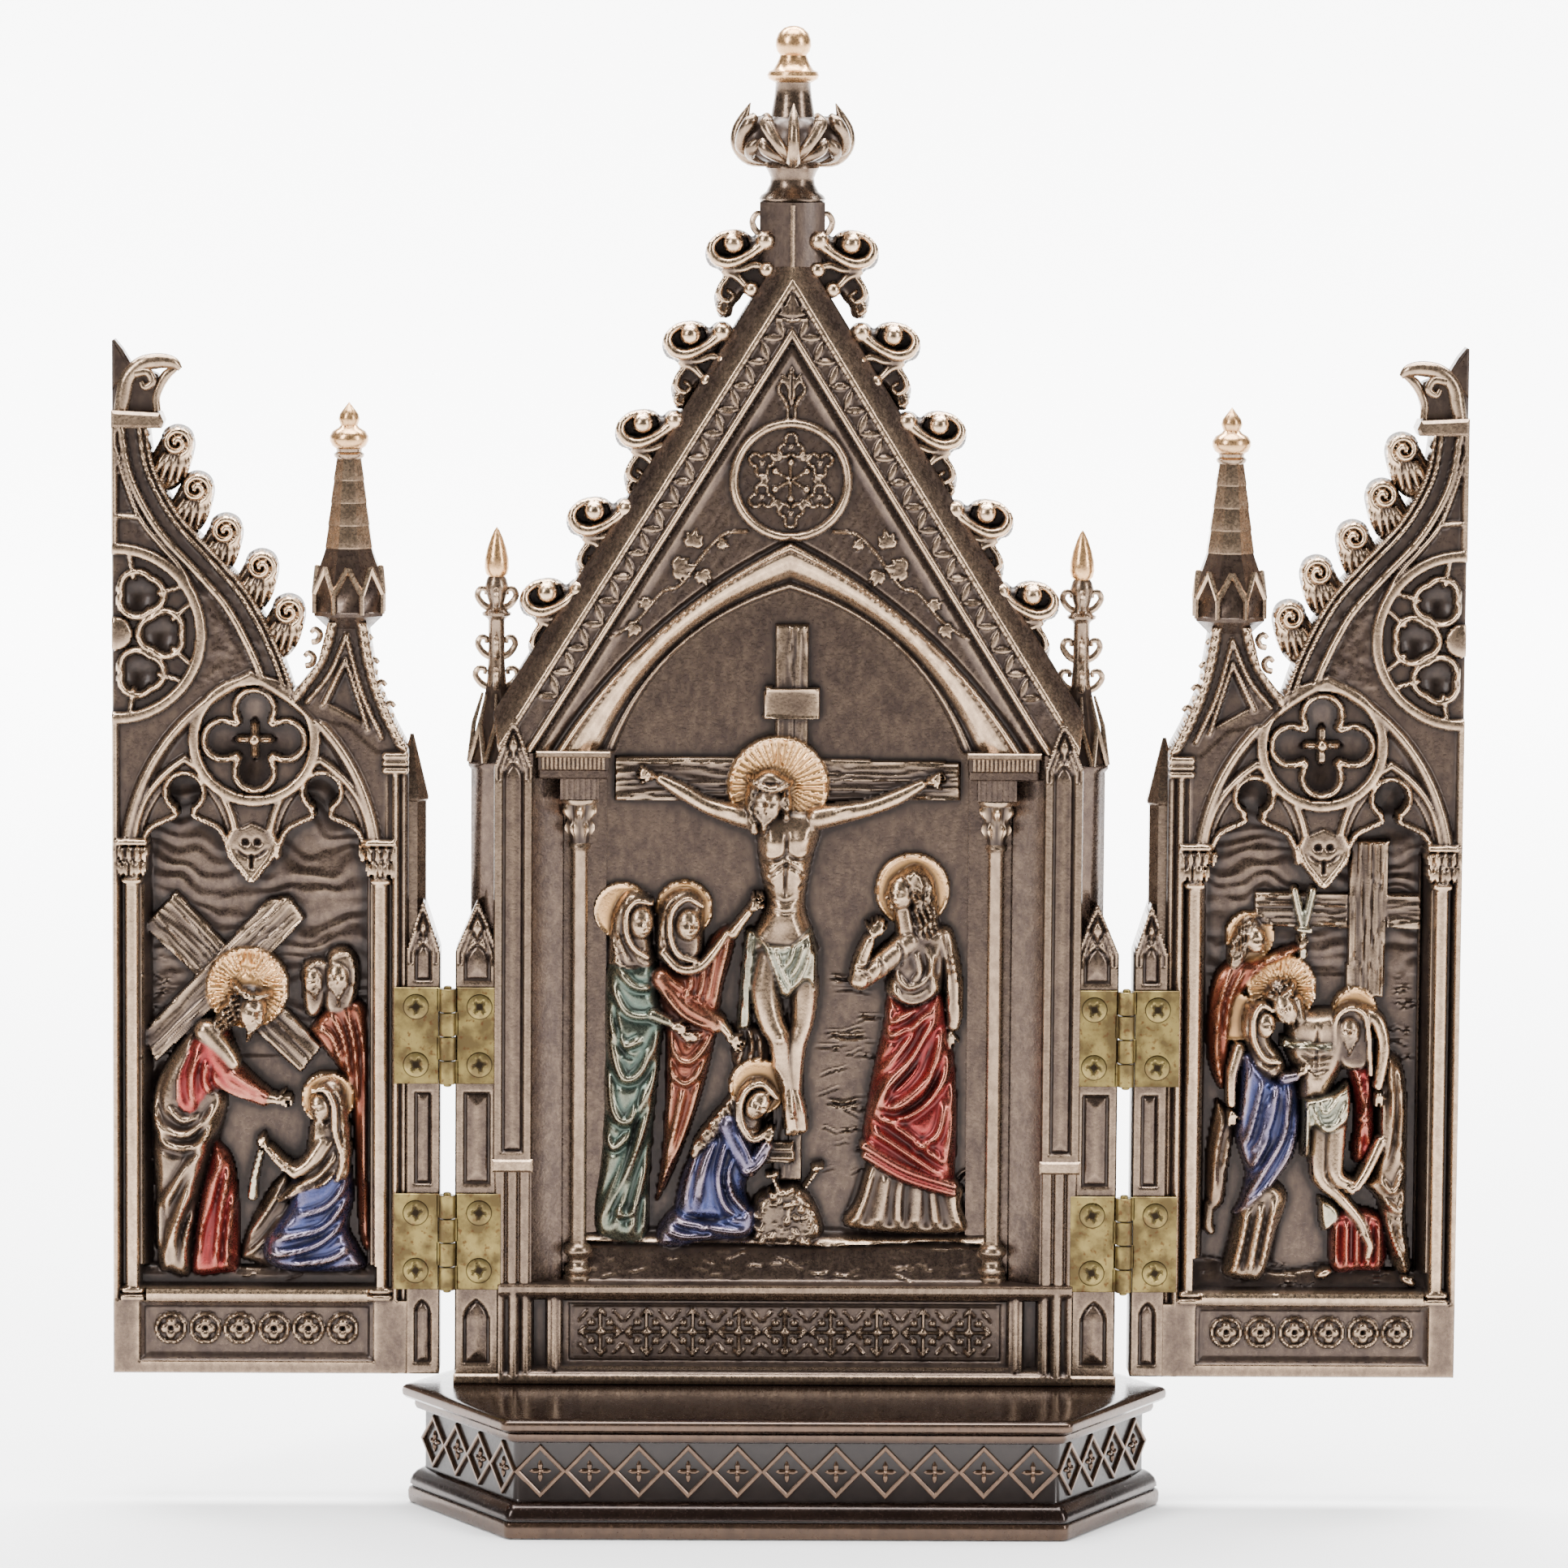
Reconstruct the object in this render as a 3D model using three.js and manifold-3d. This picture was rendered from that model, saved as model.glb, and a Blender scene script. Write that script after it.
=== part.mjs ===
// Desktop triptych altarpiece in cold-cast bronze: a six-sided plinth, a gabled centre panel with
// a carved niche, and two half-gabled wings on brass butt hinges.
// Millimetres: x to the right, y to the back, z up. The origin is the centre of the plinth's
// underside. The front faces of the three panels lie in the plane y = 0.
import * as THREE from 'three';
import { mergeVertices } from 'three/addons/utils/BufferGeometryUtils.js';
import Module from 'manifold-3d';

const wasm = await Module();
wasm.setup();

// ---- driving sizes ----
const plinth = { height: 19.5, tipX: 62, cornerX: 44.8, halfDepth: 30, friezeInset: 3, friezeMiddle: 10.8 };
const centre = {
  foot: 19.5, edge: 53.3, flangeWidth: 7, back: 13, floor: 7, shoulder: 128, coreHalf: 46,
  gableSlope: 1.61, gableApex: 198, chamfer: 3.6, chamferDepth: 3, collar: 209.6,
  sill: 36, spring: 121.9, pilasterX: 44.1, pilasterHalf: 3.1, columnX: 33.5, pierX: 47,
};
const wing = {
  foot: 21, outer: 108.3, inner: 55.8, flangeWidth: 6.6, back: 9, floor: 5.5, frame: 1,
  shoulderX: 60.9, niche: { left: 101.8, right: 67.8, bottom: 36.6 },
  archX: 86.1, archApex: 135, archSpring: 107.6, spireX: 70.6, rosetteX: 107.9, rosetteZ: 140.8,
};
const flangeGable = { eaves: 89.8, apex: 98.2, overhang: 0.4, depth: 3 };
const hinge = {
  pinX: 54.5, pinY: -1.35, length: 15.6, leafWidth: 8.6, leafThickness: 0.8, barrel: 1.35, bore: 0.9,
  pin: 0.65, pinOverhang: 0.4, knuckles: 4, knuckleGap: 0.18, upperZ: 76.3, lowerZ: 42.8, seat: 0.3,
  screwReach: 5.1, screwSpacing: 9.4, headRadius: 2.1, shank: 0.9, shankLength: 5,
  clearance: 0.3,
};

// ---- solids from three.js geometry ----
// Turns a closed geometry into a solid with its faces out, dropping triangles that have no area.
function solid(geometry) {
  const bare = new THREE.BufferGeometry();
  bare.setAttribute('position', geometry.getAttribute('position').clone());
  if (geometry.index) bare.setIndex(geometry.index.clone());
  const merged = mergeVertices(bare, 1e-4);
  const vertices = merged.getAttribute('position').array;
  const corners = [];
  let volume = 0;
  const [a, b, c] = [new THREE.Vector3(), new THREE.Vector3(), new THREE.Vector3()];
  for (let i = 0; i < merged.index.count; i += 3) {
    const [p, q, r] = [0, 1, 2].map((k) => merged.index.getX(i + k));
    if (p === q || q === r || r === p) continue;
    corners.push(p, q, r);
    a.fromArray(vertices, 3 * p);
    b.fromArray(vertices, 3 * q);
    c.fromArray(vertices, 3 * r);
    volume += a.dot(b.cross(c));
  }
  if (volume < 0) {
    for (let i = 0; i < corners.length; i += 3) [corners[i], corners[i + 1]] = [corners[i + 1], corners[i]];
  }
  return new wasm.Manifold(new wasm.Mesh({
    numProp: 3,
    vertProperties: new Float32Array(vertices),
    triVerts: new Uint32Array(corners),
  }));
}

function join(...pieces) {
  return pieces.flat(Infinity).reduce((whole, piece) => whole.add(piece));
}

function cut(whole, ...tools) {
  return tools.flat(Infinity).reduce((left, tool) => left.subtract(tool), whole);
}

// The same solid on the other side of the middle plane.
function mirrored(piece) {
  const mesh = piece.getMesh();
  const geometry = new THREE.BufferGeometry();
  geometry.setAttribute('position', new THREE.BufferAttribute(mesh.vertProperties.slice(), 3));
  geometry.setIndex([...mesh.triVerts]);
  return solid(geometry.scale(-1, 1, 1));
}

function bothSides(...pieces) {
  return pieces.flat(Infinity).flatMap((piece) => [piece, mirrored(piece)]);
}

// A flat outline of [x, z] corners, standing from y = front to y = back.
function plate(outline, front, back, holes = []) {
  const shape = new THREE.Shape(outline.map(([x, z]) => new THREE.Vector2(x, z)));
  shape.holes = holes.map((hole) => new THREE.Path(hole.map(([x, z]) => new THREE.Vector2(x, z))));
  const geometry = new THREE.ExtrudeGeometry(shape, { depth: back - front, bevelEnabled: false });
  return solid(geometry.rotateX(Math.PI / 2).translate(0, back, 0));
}

// A plan outline of [x, y] corners, rising from z = bottom to z = top.
function prism(plan, bottom, top) {
  const shape = new THREE.Shape(plan.map(([x, y]) => new THREE.Vector2(x, y)));
  const geometry = new THREE.ExtrudeGeometry(shape, { depth: top - bottom, bevelEnabled: false });
  return solid(geometry.translate(0, 0, bottom));
}

function block(x0, x1, y0, y1, z0, z1) {
  const geometry = new THREE.BoxGeometry(x1 - x0, y1 - y0, z1 - z0);
  return solid(geometry.translate((x0 + x1) / 2, (y0 + y1) / 2, (z0 + z1) / 2));
}

// Skins a row of rings, each a list of as many points, and closes the first and the last.
function loft(rings) {
  const count = rings[0].length;
  const points = rings.flat();
  const index = [];
  for (let ring = 0; ring + 1 < rings.length; ring += 1) {
    for (let i = 0; i < count; i += 1) {
      const [p, q] = [ring * count + i, ring * count + (i + 1) % count];
      index.push(p, q, q + count, p, q + count, p + count);
    }
  }
  for (const [first, turn] of [[0, -1], [points.length - count, 1]]) {
    const middle = points.length;
    const sum = points.slice(first, first + count).reduce((s, p) => s.add(p), new THREE.Vector3());
    points.push(sum.divideScalar(count));
    for (let i = 0; i < count; i += 1) {
      const ends = [first + i, first + (i + 1) % count];
      index.push(middle, ends[turn > 0 ? 0 : 1], ends[turn > 0 ? 1 : 0]);
    }
  }
  return solid(new THREE.BufferGeometry().setFromPoints(points).setIndex(index));
}

// Outlines of [x, z] corners at several depths, skinned from the front one to the back one.
function stepped(layers) {
  return loft(layers.map(([y, outline]) => outline.map(([x, z]) => new THREE.Vector3(x, y, z))));
}

// A turned piece on an upright axis, from [radius, height] pairs.
function turned(profile, x, y, sides = 10) {
  const points = profile.map(([radius, z]) => new THREE.Vector2(radius, z));
  points.unshift(new THREE.Vector2(0, profile[0][1]));
  points.push(new THREE.Vector2(0, profile.at(-1)[1]));
  const geometry = new THREE.LatheGeometry(points, sides, Math.PI / sides);
  return solid(geometry.rotateX(Math.PI / 2).translate(x, y, 0));
}

function bead(x, y, z, rx, ry = rx, rz = rx, around = 6) {
  const ball = new THREE.SphereGeometry(1, around, 3).rotateX(Math.PI / 2);
  return solid(ball.scale(rx, ry, rz).translate(x, y, z));
}

// A tapered limb through [x, y, z, radius] points.
function limb(points, sides = 4) {
  const centres = points.map(([x, y, z]) => new THREE.Vector3(x, y, z));
  const rings = points.map(([, , , radius], i) => {
    const before = centres[Math.max(i - 1, 0)];
    const along = centres[Math.min(i + 1, centres.length - 1)].clone().sub(before).normalize();
    const level = Math.abs(along.y) > 0.95 ? new THREE.Vector3(1, 0, 0) : new THREE.Vector3(0, 1, 0);
    const across = level.cross(along).normalize();
    const out = new THREE.Vector3().crossVectors(along, across);
    return Array.from({ length: sides }, (_, k) => {
      const angle = (2 * Math.PI * (k + 0.5)) / sides;
      return centres[i].clone().addScaledVector(across, radius * Math.cos(angle))
        .addScaledVector(out, radius * Math.sin(angle));
    });
  });
  return loft(rings);
}

// Draped cloth through [x, z, half width, depth] stations on the niche floor. Its front is
// fluted, with folds ridges across the width.
function robe(stations, floor, folds = 2) {
  const steps = 2 * folds;
  const rings = stations.map(([x, z, halfWidth, depth], i) => {
    const before = stations[Math.max(i - 1, 0)];
    const after = stations[Math.min(i + 1, stations.length - 1)];
    const length = Math.hypot(after[0] - before[0], after[1] - before[1]);
    const [sx, sz] = [(before[1] - after[1]) / length, (after[0] - before[0]) / length];
    const ring = [];
    for (let k = 0; k <= steps; k += 1) {
      const across = Math.cos((Math.PI * k) / steps);
      const swell = Math.sin((Math.PI * k) / steps) * (k % 2 ? 1 : 0.72);
      const reach = halfWidth * across;
      ring.push(new THREE.Vector3(x - sx * reach, floor - depth * swell, z - sz * reach));
    }
    ring.push(new THREE.Vector3(x + sx * halfWidth, floor + 0.6, z + sz * halfWidth));
    ring.push(new THREE.Vector3(x - sx * halfWidth, floor + 0.6, z - sz * halfWidth));
    return ring;
  });
  return loft(rings);
}

// ---- outlines ----
function circle(x, z, radius, sides = 8, start = 0) {
  return Array.from({ length: sides }, (_, k) => {
    const angle = start + (2 * Math.PI * k) / sides;
    return [x + radius * Math.cos(angle), z + radius * Math.sin(angle)];
  });
}

// One flank, from the foot to the apex, that bows out from its chord by bulge times its length.
function flank(foot, apex, bulge, steps) {
  const [dx, dz] = [apex[0] - foot[0], apex[1] - foot[1]];
  const side = Math.sign(dx) || 1;
  return Array.from({ length: steps + 1 }, (_, k) => {
    const t = k / steps;
    const bow = 4 * bulge * t * (1 - t);
    return [foot[0] + dx * t - side * dz * bow, foot[1] + dz * t + side * dx * bow];
  });
}

// A pointed arch from its left spring over its apex to its right spring.
function arch(x, half, spring, apex, bulge, steps = 6) {
  const left = flank([x - half, spring], [x, apex], bulge, steps);
  const right = left.slice(0, -1).reverse().map(([px, pz]) => [2 * x - px, pz]);
  return [...left, ...right];
}

// A strip of even width whose middle follows a row of points.
function strip(points, width) {
  const edge = (side) => points.map(([x, z], i) => {
    const before = points[Math.max(i - 1, 0)];
    const after = points[Math.min(i + 1, points.length - 1)];
    const length = Math.hypot(after[0] - before[0], after[1] - before[1]);
    const reach = (side * width) / 2 / length;
    return [x - (after[1] - before[1]) * reach, z + (after[0] - before[0]) * reach];
  });
  return [...edge(1), ...edge(-1).reverse()];
}

function diamond(x, z, halfWidth, halfHeight) {
  return [[x - halfWidth, z], [x, z - halfHeight], [x + halfWidth, z], [x, z + halfHeight]];
}

// A flat ring, such as a halo, a rosette's rim or a lozenge's frame.
function frame(outer, inner, front, back) {
  return plate(outer, front, back, [inner]);
}

// ---- plinth ----
function plinthOutline(inset) {
  const tip = plinth.tipX - 1.153 * inset;
  const corner = plinth.cornerX - 0.58 * inset;
  const depth = plinth.halfDepth - inset;
  return [[-tip, 0], [-corner, -depth], [corner, -depth], [tip, 0], [corner, depth], [-corner, depth]];
}

function makePlinth() {
  const profile = [
    [0, 0.9], [2.7, 0.9], [3.2, 1.2], [5.6, 2.5], [6.2, plinth.friezeInset], [15.4, plinth.friezeInset],
    [15.7, 2.2], [17.2, 1.8], [17.6, 0.5], [18.5, 0], [19.2, 0.2], [plinth.height, 0.7],
  ];
  const body = loft(profile.map(([z, inset]) => (
    plinthOutline(inset).map(([x, y]) => new THREE.Vector3(x, y, z)))));
  const [left, front, right] = plinthOutline(plinth.friezeInset);
  const lozenges = [[front, right, 11], [left, front, 4], [right, plinthOutline(plinth.friezeInset)[3], 4]];
  const raised = lozenges.flatMap(([from, to, count]) => lozengeRow(from, to, count));
  return join(body, raised);
}

// A row of lozenge frames that stand on one face of the frieze.
function lozengeRow(from, to, count) {
  const run = Math.hypot(to[0] - from[0], to[1] - from[1]);
  const pitch = run / count;
  const turn = new THREE.Matrix4().makeRotationZ(Math.atan2(to[1] - from[1], to[0] - from[0]));
  turn.setPosition(from[0], from[1], plinth.friezeMiddle);
  return Array.from({ length: count }, (_, k) => {
    const outer = diamond((k + 0.5) * pitch, 0, pitch / 2 - 0.15, 4.2);
    const inner = diamond((k + 0.5) * pitch, 0, pitch / 2 - 1.25, 3);
    const flat = frame(outer, inner, -0.6, 0.4);
    return flat.transform(turn.elements);
  });
}

// ---- shared gothic details ----
function archedPanel(x, half, bottom, spring, apex) {
  return [[x - half, bottom], [x + half, bottom], ...arch(x, half, spring, apex, 0.1, 2).reverse()];
}

// The upright strip that carries the hinges, with a small pointed gable and sunk panels.
function flange(edge, width, foot, back, inward) {
  const [near, far] = [edge, edge + inward * width];
  const peak = (near + far) / 2;
  const { eaves, apex, overhang, depth } = flangeGable;
  const outline = [[near, foot], [far, foot], [far, eaves], [peak, apex], [near, eaves]];
  const [eave, eaveFar] = [near - inward * overhang, far + inward * overhang];
  const cap = [[eave, eaves - 0.6], [eave, eaves + 0.6], [peak, apex + 1], [eaveFar, eaves + 0.6],
    [eaveFar, eaves - 0.6], [peak, apex - 2.6]];
  const sunk = [[foot + 2, 33], [52.5, 66.5], [86, 90.5]].map(([bottom, top], k) => {
    const half = width / 2 - 1.6;
    const panel = k === 1
      ? [[peak - half, bottom], [peak + half, bottom], [peak + half, top], [peak - half, top]]
      : archedPanel(peak, half, bottom, top - 3, top);
    return plate(panel, -1, 0.5);
  });
  return cut(join(plate(outline, 0, back), plate(cap, -0.4, depth)), sunk);
}

// A leaf-curl crocket: a cup that holds a ball, a knob against the gable and two lobes below.
function leafCrocket(x, z) {
  const curl = [
    [-4, 1.4], [-3.6, -1.8], [-1.4, -3.6], [-2.6, -6], [-1.6, -9], [2, -9.4], [7.4, -5], [7.4, 2.4],
    [4.6, 2.4], [2.4, -0.6], [-1.4, 2.6],
  ].map(([dx, dz]) => [x + dx, z + dz]);
  return join(plate(curl, 2.2, 7.4), bead(x + 0.2, 3.4, z + 0.8, 1.9, 1.9, 1.9, 5));
}

// ---- centre panel ----
// Half width of the gable's front face at a height, with a margin measured square to its edge.
function gableHalf(z, margin = 0) {
  const slant = Math.hypot(1, centre.gableSlope);
  return (centre.gableApex - z) / centre.gableSlope - (margin * slant) / centre.gableSlope;
}

function gableOutline(margin, bottom, cap = Infinity) {
  const apex = centre.gableApex - margin * Math.hypot(1, centre.gableSlope);
  const [low, high] = [gableHalf(bottom, margin), Math.min(cap, apex)];
  const top = gableHalf(high, margin);
  return [[-low, bottom], [low, bottom], [top, high], [-top, high]];
}

function nicheOutline(half, apex, bulge) {
  return [[half, centre.spring - 3], [-half, centre.spring - 3], ...arch(0, half, centre.spring, apex, bulge)];
}

function makeCentreBody() {
  const { foot, edge, flangeWidth, back, coreHalf, shoulder } = centre;
  const chamferTop = centre.collar - 4.2;
  const gable = stepped([
    [0, gableOutline(0, shoulder, centre.gableApex - 0.5)],
    [centre.chamferDepth, gableOutline(-centre.chamfer, shoulder, chamferTop)],
    [back, gableOutline(-centre.chamfer, shoulder, chamferTop)],
  ]);
  const wall = block(-coreHalf, coreHalf, 0, back, foot, shoulder);
  const neck = stepped([
    [1.5, [[-1, 192], [1, 192], [1, centre.collar], [-1, centre.collar]]],
    [4, [[-4.2, 195], [4.2, 195], [4.2, centre.collar], [-4.2, centre.collar]]],
    [back - 1, [[-4.2, 195], [4.2, 195], [4.2, centre.collar], [-4.2, centre.collar]]],
  ]);
  const footMould = block(-edge - 0.5, edge + 0.5, -1.2, back, foot, foot + 1.4);
  return join(wall, gable, neck, footMould, bothSides(flange(-edge, flangeWidth + 1, foot, 9, 1)));
}

// The niche: splayed jambs below, a broad hollow moulding round the arch, and a flat floor.
function nicheTools() {
  const { floor, sill, spring } = centre;
  const archHollow = stepped([
    [-1, nicheOutline(37.5, 155.9, 0.07)],
    [0.9, nicheOutline(36.9, 155.2, 0.075)],
    [2.4, nicheOutline(33.2, 152.4, 0.1)],
    [2.9, nicheOutline(29.6, 149.6, 0.125)],
    [floor, nicheOutline(28, 147.9, 0.13)],
  ]);
  const jambs = prism([
    [-40.8, -2], [-40.8, 0], [-36, 3.2], [-36, 5.4], [-29.4, 5.8], [-29.4, floor], [29.4, floor],
    [29.4, 5.8], [36, 5.4], [36, 3.2], [40.8, 0], [40.8, -2],
  ], sill, spring - 2.4);
  const tympanum = cut(
    plate(gableOutline(6.2, spring), -1, 1),
    plate(nicheOutline(38.6, 157.1, 0.07), -2, 2),
  );
  const band = cut(plate(gableOutline(0.9, spring), -1, 0.5), plate(gableOutline(4.6, spring - 9), -2, 2));
  return [archHollow, jambs, tympanum, band];
}

function makePilaster() {
  const { foot, pilasterX: x, pilasterHalf: half } = centre;
  const eaves = 119.8;
  const shaft = plate([
    [-x - half, 55], [-x + half, 55], [-x + half, eaves], [-x, 127.6], [-x - half, eaves],
  ], -1.3, 4);
  const cap = plate([[-x - half - 0.6, eaves - 0.6], [-x - half - 0.6, eaves + 0.6], [-x, 128.6],
    [-x + half + 0.6, eaves + 0.6], [-x + half + 0.6, eaves - 0.6], [-x, 124.4]], -1.3, 3);
  const panel = plate(archedPanel(-x, 1.9, 58, 117.5, 121.4), -2, -0.7);
  const ledge = block(-x - half - 0.1, -x + half + 0.5, -1.3, 1, 54.3, 56.2);
  const reeds = [-1.9, 0, 1.9].map((offset) => (
    limb([[-x + offset, 0.2, foot, 1.15], [-x + offset, 0.2, 55, 1.15]], 6)));
  return join(cut(shaft, panel), cap, ledge, reeds);
}

function makeColumn() {
  const { columnX, sill } = centre;
  const y = 3.9;
  const shaft = turned([
    [2.3, sill - 0.5], [2.3, 37.4], [1.7, 38.4], [2, 41], [1.35, 42], [1.35, 106.2], [1.9, 106.9],
    [1.5, 107.8], [2.3, 112.4], [2.3, 113.6],
  ], -columnX, y, 6);
  const cube = prism([[-36.4, 0.9], [-30.5, 0.9], [-30.5, 7.2], [-36.4, 7.2]], 113.5, 117.8);
  const steps = [[1, -0.3, 117.6, 119.7], [2.6, -0.6, 119.7, 121.9]].map(
    ([spread, front, bottom, top]) => block(-37.4 - spread, -29.4 + spread / 3, front, 7.2, bottom, top));
  return join(shaft, cube, steps);
}

// An eight-sided pier behind the flange, with a crocketed pinnacle that ends in a flame.
function makePier() {
  const { pierX: x } = centre;
  const y = 6.6;
  const pier = turned([[4.4, 86], [4.4, 118.6], [4.9, 119], [0.9, 133.8]], -x, y, 8);
  const spike = turned([[1.6, 118], [1.5, 143.2], [2.4, 143.8], [1.4, 144.8], [1.4, 149.4], [2.1, 151.4],
    [1.8, 153.8], [0.3, 157.8]], -x, y, 6);
  const knobs = [[133.6, 4.2], [146.4, 3.4]].map(([z, reach]) => (
    turned([[1.2, z - 2.4], [reach, z], [1.2, z + 2.4]], -x, y, 4)));
  return join(pier, spike, knobs);
}

function makeFinial() {
  const y = 7.5;
  const stem = turned([
    [5, 209.2], [5.4, 210.4], [3.4, 213.2], [4.1, 216], [5.6, 218.4], [5, 222.4], [3.3, 224.2],
    [2.9, 228.8], [4, 230.1], [2, 233.2], [2.9, 235.2], [1.2, 238],
  ], 0, y, 8);
  const leaves = [0, 1, 2, 3].map((k) => {
    const angle = (Math.PI / 2) * k;
    const at = (reach, z, radius) => [reach * Math.cos(angle), y + reach * Math.sin(angle), z, radius];
    return limb([at(3.6, 217.2, 1.8), at(7, 218.4, 2.6), at(7.4, 221.6, 2.4), at(5.6, 225.6, 0.3)]);
  });
  return join(stem, leaves);
}

function makeGableRelief() {
  const ringZ = 165.8;
  const ring = frame(circle(0, ringZ, 9.6, 12), circle(0, ringZ, 8.5, 12), 0.2, 1.6);
  const lobes = Array.from({ length: 6 }, (_, k) => {
    const angle = (Math.PI / 3) * k + Math.PI / 6;
    const [x, z] = [5.1 * Math.cos(angle), ringZ + 5.1 * Math.sin(angle)];
    return plate(circle(x, z, 2.3, 5, angle), 0.5, 1.6);
  });
  const leaf = plate([[-0.5, 176.6], [0.5, 176.6], [1.2, 180.6], [1.6, 182.6], [0, 184.6], [-1.6, 182.6],
    [-1.2, 180.6]], 0.5, 1.6);
  const vines = bothSides([[-13, 152, 1.1], [-17, 150.4, 1.9], [-19, 147.4, 1.5], [-14.8, 156.6, 1.7],
    [-24.6, 141.6, 1.3]].map(([x, z, size]) => plate(diamond(x, z, size, size * 1.2), 0.5, 1.6)));
  return [ring, lobes, leaf, vines];
}

function makePredella() {
  const ledge = stepped([
    [-1.2, [[-41, 35], [41, 35], [41, 36.2], [-41, 36.2]]],
    [2, [[-41, 33.6], [41, 33.6], [41, 37], [-41, 37]]],
    [7.4, [[-36, 33.6], [36, 33.6], [36, 37], [-36, 37]]],
  ]);
  const lozenges = Array.from({ length: 9 }, (_, k) => {
    const x = (k - 4) * 7.4;
    return plate(diamond(x, 27.9, 3.6, 4), 0.2, 1);
  });
  return [ledge, lozenges];
}

// ---- the carved scenes ----
function cross(post, arm, front, floor) {
  return [
    block(post.x - post.half, post.x + post.half, front, floor + 0.5, post.bottom, post.top),
    block(arm.left, arm.right, front, floor + 0.5, arm.z - arm.half, arm.z + arm.half),
  ];
}

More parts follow.
